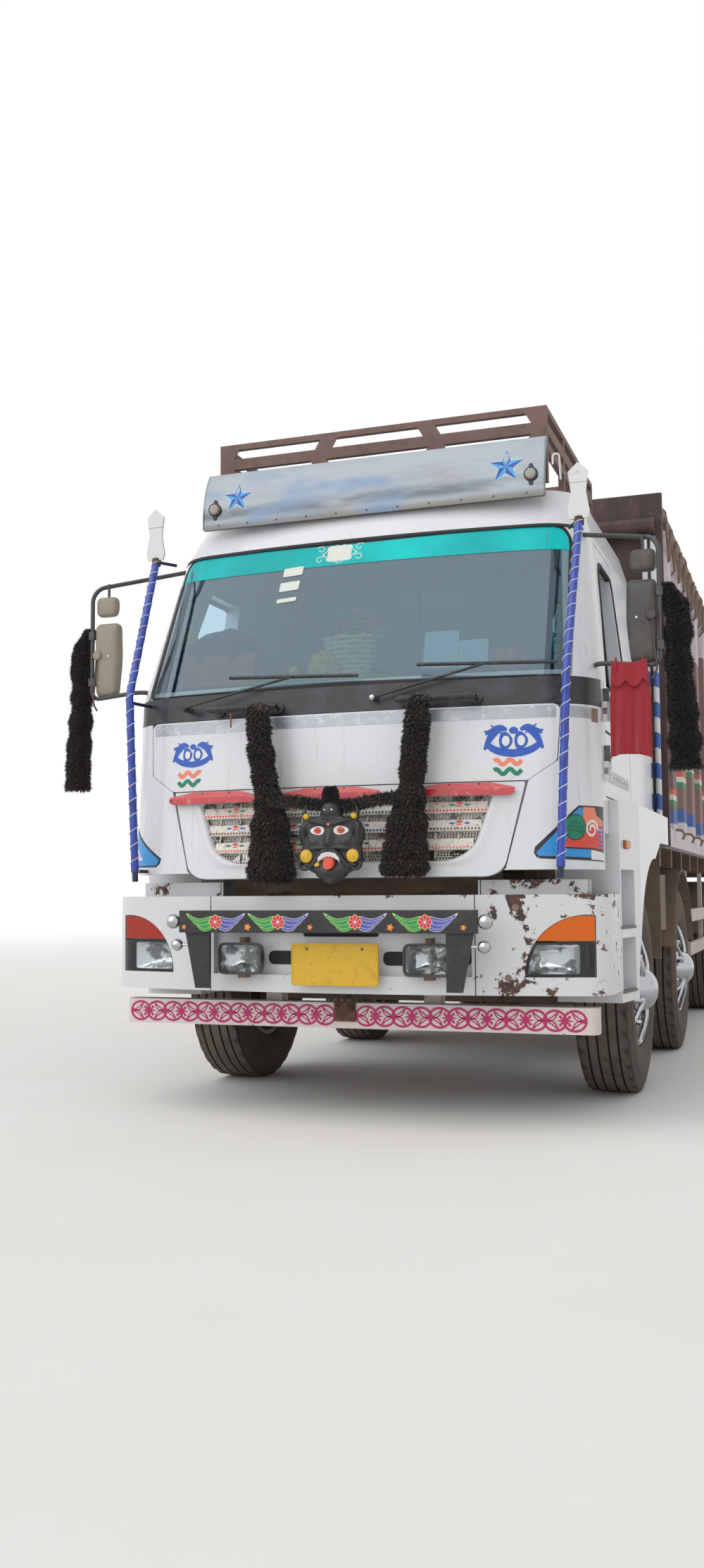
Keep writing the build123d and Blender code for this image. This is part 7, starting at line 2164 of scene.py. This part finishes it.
stand("underrun_scroll", scroll, [magenta_paint, underrun_white], sharp=60)
bracket = Shape()
bracket.block((-0.062, 0.04), (FRONT + 0.15, FRONT + 0.161), (0.44, 0.528))
for x in (-0.045, 0.022):
    bracket.turned([(0.0, 0.0004), (-0.012, 0.004), (-0.01, 0.01), (0.0, 0.011)],
        (x, FRONT + 0.15, 0.5), 0, 6, "Y")
rusty_plate = Finish("rusty_plate", (78, 56, 46), 0.85)
rusty_plate.stain((26, 6, 0.7), (0.45, 0.65), (122, 78, 54))
rusty_plate.grain(0.0015, 90, 5)
stand("underrun_bracket", bracket, [rusty_plate], soft=0.002)


# Corner poles: steel tube wrapped in blue tape and wound with white cord, each with a pale
# painted marker plate on top that shows the cab's corner.
POLE_POINTS = ((1.013, 0.016, 1.081), (1.054, 0.022, 1.972), (1.072, 0.326, 2.718))
pole_paint = Finish("pole_paint", (30, 42, 66), 0.5)
marker_level = pole_paint.past("Z", 2.705, 2.7056)
pole_paint.coat(marker_level, (214, 216, 214), 0.4)
pole_paint.coat(pole_paint.within("Z", 2.872, 2.8745, 0.0006), (120, 120, 118))
pole_paint.coat(pole_paint.times(marker_level,
    pole_paint.ramp(pole_paint.cloud(16, 7, 0.7), 0.55, 0.7)), (176, 172, 160), 0.6)
dress("corner_poles", pole_paint)
tape_blue = Finish("tape_blue", (34, 64, 168), 0.25, Coat_Weight=0.4, Coat_Roughness=0.1)
tape_blue.stain((14, 6, 0.7), (0.45, 0.75), (24, 44, 120), 0.45)
tape_blue.grain(0.0012, 60, 4)
cord_white = Finish("cord_white", (220, 222, 226), 0.6).mottle((80, 3), (186, 186, 190))
for side_name, side in (("left", 1), ("right", -1)):
    route = []
    for first, second in zip(POLE_POINTS, POLE_POINTS[1:]):
        route += [[a + (b - a) * k / 40 for a, b in zip(first, second)]
            for k in range(40 + (second is POLE_POINTS[2]))]
    route = [Vector((side * x, FRONT + y, z)) for x, y, z in route][2:-1]
    sleeve = Shape()
    sleeve.tube(route, [0.0185 + 0.0008 * sin(k * 1.3) for k in range(len(route))], 0, 14)
    helix = []
    for k in range(24 * 14 + 1):
        u = k / (24 * 14)
        spot = u * (len(route) - 1)
        i = min(int(spot), len(route) - 2)
        centre = route[i].lerp(route[i + 1], spot - i)
        run = (route[i + 1] - route[i]).normalized()
        first = Vector((1, 0, 0))
        first = (first - run * first.dot(run)).normalized()
        second = run.cross(first)
        angle = 2 * pi * k / 14
        helix.append(centre + (first * cos(angle) + second * sin(angle)) * 0.0198)
    sleeve.tube(helix, 0.0024, 1, 5)
    sleeve.tube([route[-1] - Vector((0, 0, 0.02)), route[-1] + Vector((0, 0.004, 0.014))], 0.023, 2, 12)
    stand(f"pole_sleeve_{side_name}", sleeve, [tape_blue, cord_white, rusty_plate], sharp=50)
hooks = Shape()
hooks.tube(bent([(0.965, FRONT + 0.47, 2.945), (0.965, FRONT + 0.44, 3.06),
    (0.935, FRONT + 0.436, 3.06), (0.935, FRONT + 0.436, 3.01)], 0.02, 6), 0.005, 0, 8)
stand("cord_hook", hooks, [knob_white])

# Name board: bright rolled steel on two feet, left blank, with two painted stars and two
# round marker lamps; it curls back at its top.
board_steel = Finish("board_steel", (136, 142, 148), 0.2, 0.9)
board_steel.stain((3, 6, 0.65, (0.6, 1, 2.2)), (0.42, 0.75), (124, 127, 128), 0.3)
board_steel.stain((18, 8, 0.75), (0.62, 0.72), (150, 132, 112), 0.6, 0.3)
board_steel.coat(board_steel.past("Z", 2.93, 2.885), (120, 118, 112), 0.4)
# A soft dark band across the lower board is a painted reflection of the surroundings in the bright
# steel.
reflected_dark_band = board_steel.within("Z", 2.93, 2.99, 0.022)
reflected_dark_band = board_steel.times(reflected_dark_band,
    board_steel.ramp(board_steel.cloud(1.6, 4, 0.6, (1, 1, 4)), 0.35, 0.6))
board_steel.coat(board_steel.times(reflected_dark_band, 0.75), (74, 80, 82))
# Bluish patches over the steel are a painted reflection of the sky.
board_steel.stain((2.2, 3, 0.5, (1, 1, 3)), (0.5, 0.75), (106, 124, 148))
board_steel.grain(0.004, 2.5, 2, 0.5, (1, 1, 2))
board_steel.grain(0.0004, 30, 3)
dress("name_board", board_steel)
ARC = ((0.48, 2.883), (0.497, 3.06), (0.56, 3.194))


BOARD_ARC = arc_through(ARC)


def on_board(x, height, out=0.0):
    centre_s, centre_z, reach = BOARD_ARC
    rise = (height - centre_z) / reach
    return Vector((x, FRONT + centre_s - sqrt(max(0.0, 1 - rise * rise)) * (reach + out),
        centre_z + rise * (reach + out)))


def star_spot(x, height, far, near, number):
    """One of a five-pointed star's ten corners; the even ones are its points."""
    angle = pi / 2 + pi * number / 5
    reach = far if number % 2 == 0 else near
    return x + reach * cos(angle), height + reach * sin(angle)


star_light = Finish("star_light", (62, 150, 214), 0.35).mottle((40, 4), (84, 166, 224))
star_dark = Finish("star_dark", (16, 66, 150), 0.35).mottle((40, 4), (26, 82, 168))
ornaments = Shape()
for x, height, size in ((-0.7, 3.04, 0.082), (0.7, 3.045, 0.09)):
    for k in range(10):
        spots = [star_spot(x, height, size, size * 0.4, i) for i in (k, k + 1)]
        inlay(ornaments, [(x, height)] + spots, on_board, k % 2, 0.0014, 0.03)
    tips = [star_spot(x, height, size * 1.05, size * 0.46, i) for i in range(10)]
    inlay(ornaments, tips, on_board, 4, 0.0009, 0.03)
for x, height in ((-0.82, 2.985), (0.822, 2.99)):
    inlay(ornaments, disc(x, height, 0.034, 24), on_board, 2, 0.006, 0.02)
    inlay(ornaments, disc(x, height + 0.04, 0.011, 12, 1.3), on_board, 2, 0.006, 0.02)
    inlay(ornaments, disc(x, height - 0.04, 0.011, 12, 1.3), on_board, 2, 0.006, 0.02)
    spot = on_board(x, height)
    ornaments.turned([(0.0, 0.03), (-0.014, 0.029), (-0.02, 0.024), (-0.022, 0.014),
        (-0.022, 0.0004)], spot, 3, 28, "Y")
    ornaments.turned([(-0.014, 0.029), (-0.017, 0.031), (-0.02, 0.0285)], spot, 5, 28, "Y")
for number in range(11):
    x = -0.8 + 0.16 * number
    inlay(ornaments, disc(x, 2.902, 0.0045, 8), on_board, 5, 0.003, 0.02)
cap_pale = Finish("cap_pale", (170, 165, 156), 0.25).mottle((40, 4), (146, 138, 128))
stand("board_ornaments", ornaments,
    [star_light, star_dark, lamp_case, cap_pale, film_white, arm_grey], sharp=50)
edge_lip = Shape()
rows = []
for height in (2.887 + 0.3 * k / 12 for k in range(13)):
    rows.append(height)
for x in (-0.884, 0.884):
    edge_lip.tube([on_board(x, z, -0.004) for z in rows], 0.007, 0, 8)
edge_lip.tube([on_board(-0.884, 3.19, -0.006), on_board(0.884, 3.19, -0.006)], 0.007, 0, 8)
stand("board_rolled_edge", edge_lip, [board_steel])

# Roof rack: welded flat bar with pressed gussets, once mauve, now chalky brown with rust at
# the welds; it carries nothing but dust.
rack_paint = Finish("rack_paint", (108, 80, 78), 0.6)
rack_paint.stain((8, 7, 0.7), (0.42, 0.66), (84, 62, 60))
rack_paint.stain((22, 8, 0.75), (0.58, 0.66), (134, 92, 70), 0.8)
rack_paint.dusty(DUST, 0.3, 5.0, 0.04)
rack_paint.grain(0.001, 70, 4)
dress("roof_rack", rack_paint)
stripe_paint = Finish("stripe_paint", (226, 228, 232), 0.4)
slope = stripe_paint.sum("ADD", stripe_paint.axis("Z"),
    stripe_paint.times(stripe_paint.sum("ARCTANGENT",
    stripe_paint.sum("DIVIDE", stripe_paint.sum("SUBTRACT", stripe_paint.axis("Y"),
    FRONT + 2.3), stripe_paint.zigzag(stripe_paint.sum("ADD", stripe_paint.axis("X"), 1.15),
    0.05))), 0.02))
stripe_paint.coat(stripe_paint.ramp(stripe_paint.zigzag(slope, 0.09), 0.044, 0.046), (28, 92, 178))
stripe_paint.dusty(DUST, 0.25, 6.0)
dress("stripe_poles", stripe_paint)

# Doors: pressed skins with black window rubbers, a moulded pull handle, grey hinge castings
# at the belt, and one flowered silver film below it; the arch panels have worn step lips.
casting_grey = Finish("casting_grey", (92, 94, 100), 0.5, 0.2)
casting_grey.stain((20, 6), (0.45, 0.75), (128, 126, 122), 0.7)
casting_grey.grain(0.0006, 200, 3)
DOOR_X = 1.15
LEAN_X = (1.15 - 1.06) / (2.74 - 1.972)


def door_face(side):
    def place(station, height, out=0.0):
        x = DOOR_X - max(0.0, height - 1.972) * LEAN_X
        return Vector((side * (x + out), FRONT + station, height))
    return place


window_edge = rounded([(0.56, 1.965), (1.205, 1.965), (1.205, 2.615), (0.8, 2.615)],
    [0.06, 0.05, 0.06, 0.1], 6)
for side_name, side in (("left", 1), ("right", -1)):
    place = door_face(side)
    door = Shape()
    middle = (0.95, 2.28)
    ring_rows = []
    for grow, out in ((0.018, -0.002), (0.018, 0.004), (0.01, 0.007), (0.0, 0.006), (-0.004, 0.0),
            (-0.004, -0.02)):
        row = []
        for s, z in window_edge:
            away = Vector((s - middle[0], z - middle[1]))
            grown = Vector((s, z)) + away.normalized() * grow
            row.append(place(grown.x, grown.y, out))
        ring_rows.append(row)
    door.rows(ring_rows, 0, ring=True)
    grip = rounded(oblong(1.075, 1.215, 1.83, 1.895), 0.02, 4)
    inlay(door, grip, place, 1, 0.006, 0.2, back=-0.002)
    door.tube(bent([place(1.085, 1.862, 0.004), place(1.092, 1.866, 0.028),
        place(1.195, 1.866, 0.028), place(1.203, 1.862, 0.004)], 0.012, 4), 0.0075, 1, 8)
    for low, high in ((1.855, 1.925), (1.6, 1.665)):
        casting = rounded([(0.405, low), (0.505, low + 0.008), (0.505, high - 0.008),
            (0.405, high)], 0.012, 4)
        inlay(door, casting, place, 2, 0.016, 0.2, back=-0.001)
        door.tube([place(0.418, low - 0.012, 0.012), place(0.418, high + 0.012, 0.012)], 0.014, 2, 12)
        for s in (0.455, 0.488):
            inlay(door, disc(s, (low + high) / 2, 0.008, 12), place, 1, 0.021, 0.2, back=0.014)
    belt = oblong(0.452, 1.238, 1.742, 1.752)
    inlay(door, belt, place, 0, 0.002, 0.2)
    band = oblong(0.52, 1.18, 1.52, 1.578)
    inlay(door, band, place, 3, 0.0012, 0.2)
    for k in range(9):
        s = 0.565 + k * 0.0713
        inlay(door, blossom(s, 1.549, 0.017, 5, 0.28, 40), place, 4, 0.0018, 0.2)
        inlay(door, disc(s, 1.549, 0.005, 10), place, 5, 0.0024, 0.2)
        inlay(door, ribbon([(s + 0.022, 1.536), (s + 0.036, 1.549), (s + 0.05, 1.562)],
            [0.003, 0.008, 0.002]), place, 5, 0.0018, 0.2)
    piece = stand(f"door_fittings_{side_name}", door,
        [seam_rubber, handle_black, casting_grey, film_grey, film_white,
        film_brown], f"door_{side_name}", sharp=40)

side_marks = Shape()
for side in (-1, 1):
    def on_arch(station, height, out=0.0, side=side):
        x = 1.195 + 0.045 * min(1.0, max(0.0, (station - 0.494) / (0.85 - 0.494)))
        return Vector((side * (x + out), FRONT + station, height))

    for low in (0.56, 0.85):
        tread = oblong(0.505, 0.745, low, low + 0.012)
        inlay(side_marks, tread, on_arch, 0, 0.004, 0.3, back=-0.03)
    lamp_edge = rounded(oblong(0.56, 0.64, 1.215, 1.255), 0.008, 4)
    inlay(side_marks, lamp_edge, on_arch, 2, 0.004, 0.3)
    inlay(side_marks, [(s + (0.6 - s) * 0.12, z + (1.235 - z) * 0.12) for s, z in lamp_edge], on_arch,
        1, 0.014, 0.3)
    flap_y = FRONT + 2.09
    low_x, high_x = 0.93, 1.19
    side_marks.block((side * low_x, side * high_x), (flap_y, flap_y + 0.008), (0.64, 1.27), 3)
    kite = [(side * 1.06, flap_y - 0.0012, 0.7), (side * 1.12, flap_y - 0.0012, 0.79),
        (side * 1.06, flap_y - 0.0012, 0.88), (side * 1.0, flap_y - 0.0012, 0.79)]
    kite += [(x, y + 0.0012, z) for x, y, z in kite]
    side_marks.add(kite, [(0, 1, 2, 3), (0, 1, 5, 4), (1, 2, 6, 5), (2, 3, 7, 6), (3, 0, 4, 7)], 4)
stand("arch_fittings", side_marks,
    [casting_grey, lens_amber, lamp_case, guard_black, plate_yellow], sharp=40)

# Air baffle: a black rubber sheet clipped under the cab's front edge that closes the space
# down to the bumper, behind the mask's chin.
baffle = Shape()
rows = []
for k in range(25):
    x = -0.62 + 1.24 * k / 24
    rows.append([(x, FRONT + 0.3 + 0.004 * sin(k * 1.9), 1.105),
        (x, FRONT + 0.302 + 0.006 * sin(k * 1.3), 1.02),
        (x, FRONT + 0.306 + 0.01 * sin(k * 1.1), 0.93),
        (x, FRONT + 0.312 + 0.01 * sin(k * 1.1), 0.93),
        (x, FRONT + 0.308 + 0.006 * sin(k * 1.3), 1.02),
        (x, FRONT + 0.306 + 0.004 * sin(k * 1.9), 1.105)])
baffle.rows(rows, ring=True)
stand("air_baffle", baffle, [guard_black], sharp=60)

# Mask: a moulded demon's face hung over the grille against the evil eye: matt black, with
# rolling eyes, yellow ear-rings, bared teeth, a red tongue and a tuft of black strips on top.
mask_black = Finish("mask_black", (40, 40, 43), 0.42)
mask_black.stain((9, 5), (0.45, 0.8), (66, 62, 60), 0.55)
mask_black.grain(0.0006, 160, 4)
MASK_X, MASK_TOP, MASK_Y = 0.022, 1.5, FRONT - 0.09
WIDTHS = ((0.082, 0.036), (0.11, 0.046), (0.14, 0.052), (0.152, 0.118), (0.172, 0.138),
    (0.205, 0.154), (0.24, 0.15), (0.275, 0.14), (0.3, 0.142), (0.33, 0.146), (0.352, 0.14),
    (0.372, 0.108), (0.4, 0.072), (0.425, 0.038), (0.44, 0.004))


def mask_half(drop):
    for (first, low), (second, high) in zip(WIDTHS, WIDTHS[1:]):
        if drop <= second:
            u = max(0.0, (drop - first) / (second - first))
            u = u * u * (3 - 2 * u)
            return low + (high - low) * u
    return WIDTHS[-1][1]


def bump(x, z, centre, size, height, turn=0.0, power=2):
    dx, dz = x - centre[0], z - centre[1]
    a = (dx * cos(turn) + dz * sin(turn)) / size[0]
    b = (-dx * sin(turn) + dz * cos(turn)) / size[1]
    return height * bell(a * a + b * b, power / 2)


def mask_depth(x, drop):
    """How far the face stands out; x is from its middle and drop is down from the tuft's top."""
    side = abs(x)
    half = max(mask_half(drop), 0.004)
    edge = min(1.0, side / half)
    out = 0.034 * sqrt(max(0.0, 1 - edge ** 2.6)) + 0.006
    for feature in (((0.0, 0.245), (0.02, 0.042), 0.02), ((0.0, 0.262), (0.016, 0.014), 0.014),
            ((0.026, 0.268), (0.014, 0.01), 0.01),
            ((0.052, 0.168 - 0.25 * (side - 0.05)), (0.052, 0.0095), 0.017, 0.0, 4),
            ((0.056, 0.205), (0.036, 0.022), -0.012), ((0.056, 0.205), (0.026, 0.014), 0.014),
            ((0.074, 0.256), (0.026, 0.024), 0.012),
            ((0.05, 0.281 + 0.1 * abs(side - 0.04)), (0.048, 0.0085), 0.013, 0.0, 4),
            ((0.128, 0.215), (0.01, 0.05), 0.012, 0.1), ((0.112, 0.215), (0.007, 0.036), -0.01, 0.1),
            ((0.0, 0.338), (0.05, 0.03), -0.014), ((0.0, 0.384), (0.036, 0.02), 0.01),
            ((0.118, 0.36), (0.022, 0.012), 0.012), ((0.0, 0.12), (0.036, 0.03), 0.022),
            ((0.016, 0.112), (0.01, 0.006), -0.005), ((0.0, 0.142), (0.026, 0.004), -0.004)):
        out += bump(side, drop, *feature)
    for number in range(4):
        centre_line = 0.232 + 0.012 * number
        out += bump(side, drop, (0.098, centre_line), (0.014, 0.003), 0.003, -0.5)
    return out


def hung(x, out, drop):
    """A point out metres in front of the mask's back and drop metres under its top."""
    return (MASK_X + x, MASK_Y - out, MASK_TOP - drop)


face = Shape()
rows = []
for j in range(91):
    drop = WIDTHS[0][0] + (WIDTHS[-1][0] - WIDTHS[0][0]) * j / 90
    half = mask_half(drop)
    row = []
    for i in range(81):
        x = half * sin(pi / 2 * (i / 40 - 1))
        row.append((MASK_X + x, MASK_Y - mask_depth(x, drop), MASK_TOP - drop))
    rows.append(row)
face.rows(rows)
back_rows = [[(x, MASK_Y, z) for x, y, z in (row[0], row[20], row[40], row[60], row[80])]
    for row in rows]
face.rows(back_rows)
for column in (0, 80):
    face.rows([[row[column], (row[column][0], MASK_Y, row[column][2])] for row in rows])
for row in (rows[0], rows[-1]):
    face.rows([row, [(x, MASK_Y, z) for x, y, z in row]])
for side in (-1, 1):
    horn = [hung(side * 0.11, 0.012, 0.165), hung(side * 0.122, 0.014, 0.14),
        hung(side * 0.124, 0.014, 0.112), hung(side * 0.116, 0.012, 0.088)]
    face.tube(horn, [0.014, 0.011, 0.007, 0.002], 0, 10)
    curl = [hung(side * (0.118 + 0.024 * cos(a)), 0.03, 0.352 + 0.022 * sin(a))
        for a in (pi * (-0.15 + 1.25 * k / 16) for k in range(17))]
    face.tube(curl, [0.01 - 0.0003 * k for k in range(17)], 0, 10)
    lip = [hung(side * 0.002, 0.046, 0.292), hung(side * 0.03, 0.046, 0.294),
        hung(side * 0.052, 0.044, 0.318), hung(side * 0.07, 0.042, 0.346),
        hung(side * 0.094, 0.036, 0.366)]
    face.tube(bent(lip, 0.02, 5), 0.0095, 0, 10)


def on_mask(u, v, out=0.0):
    return Vector((MASK_X + u, MASK_Y - mask_depth(u, v) - out, MASK_TOP - v))


for side in (-1, 1):
    eye = [(side * 0.056 + 0.034 * cos(a), 0.204 - 0.019 * sin(a) * (1 - 0.25 * cos(a) * side))
        for a in turns(32)]
    inlay(face, eye, on_mask, 1, 0.0022, 0.006)
    for radius, steps, coat, proud in ((0.015, 24, 2, 0.0034), (0.0095, 20, 5, 0.004),
            (0.0075, 18, 2, 0.0046), (0.003, 12, 0, 0.0052)):
        inlay(face, disc(side * 0.054, 0.204, radius, steps), on_mask, coat, proud, 0.006)
    spot = hung(side * 0.108, 0.03, 0.316)
    face.turned([(0.0, 0.029), (-0.01, 0.029), (-0.013, 0.025), (-0.014, 0.0004)], spot, 3, 24, "Y")
    face.turned([(0.0, 0.033), (-0.006, 0.034), (-0.009, 0.029)], spot, 0, 24, "Y")
    spot = hung(side * 0.112, 0.026, 0.141)
    face.turned([(0.0, 0.014), (-0.008, 0.013), (-0.012, 0.007), (-0.012, 0.0004)], spot, 3, 16, "Y")
    inlay(face, disc(side * 0.017, 0.113, 0.0042, 10), on_mask, 1, 0.002, 0.01)
teeth = []
for k in range(13):
    u = -1 + k / 6
    teeth.append((0.05 * u, 0.299 + 0.016 * u * u))
for k in range(13):
    u = 1 - k / 6
    teeth.append((0.05 * u, 0.322 + 0.022 * u * u - (0.004 if k % 2 else 0.0)))
inlay(face, teeth, on_mask, 1, 0.016, 0.01, back=0.0)
tongue = [(0.0, 0.322), (0.022, 0.326), (0.027, 0.345), (0.022, 0.368), (0.0, 0.378), (-0.022, 0.368),
    (-0.027, 0.345), (-0.022, 0.326)]
inlay(face, rounded(tongue, 0.01, 4), on_mask, 2, 0.022, 0.006, back=0.0)
inlay(face, ribbon([(0.0, 0.33), (0.001, 0.35), (0.0, 0.368)], 0.003), on_mask, 0, 0.0226, 0.006,
    back=0.02)
inlay(face, disc(-0.058, 0.352, 0.013, 16, 0.8), on_mask, 3, 0.01, 0.01, back=0.0)
inlay(face, disc(0.0, 0.178, 0.006, 12), on_mask, 4, 0.003, 0.01)
stand("mask_face", face, [mask_black, film_white, film_red, plate_yellow, film_orange,
    film_orange], slot="mask_gloss", sharp=60, replaces="mask")
tuft = garland("mask_tuft", strung([(MASK_X, MASK_Y - 0.014, 1.4925, 0.014, 0.01),
    (MASK_X, MASK_Y - 0.018, 1.478, 0.03, 0.018), (MASK_X, MASK_Y - 0.018, 1.452, 0.037, 0.022),
    (MASK_X, MASK_Y - 0.018, 1.425, 0.036, 0.022), (MASK_X, MASK_Y - 0.016, 1.408, 0.028, 0.018)]),
    5200, (0.014, 0.024), 0.0045, 0.0, 21, garland_fine)
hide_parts("mask")

# Size: the boxes round the CAD model and round the dressed one, as plain lists.
for kind, box in (("cad", cad_box), ("visual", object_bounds())):
    [[float(value) for value in corner] for corner in box]
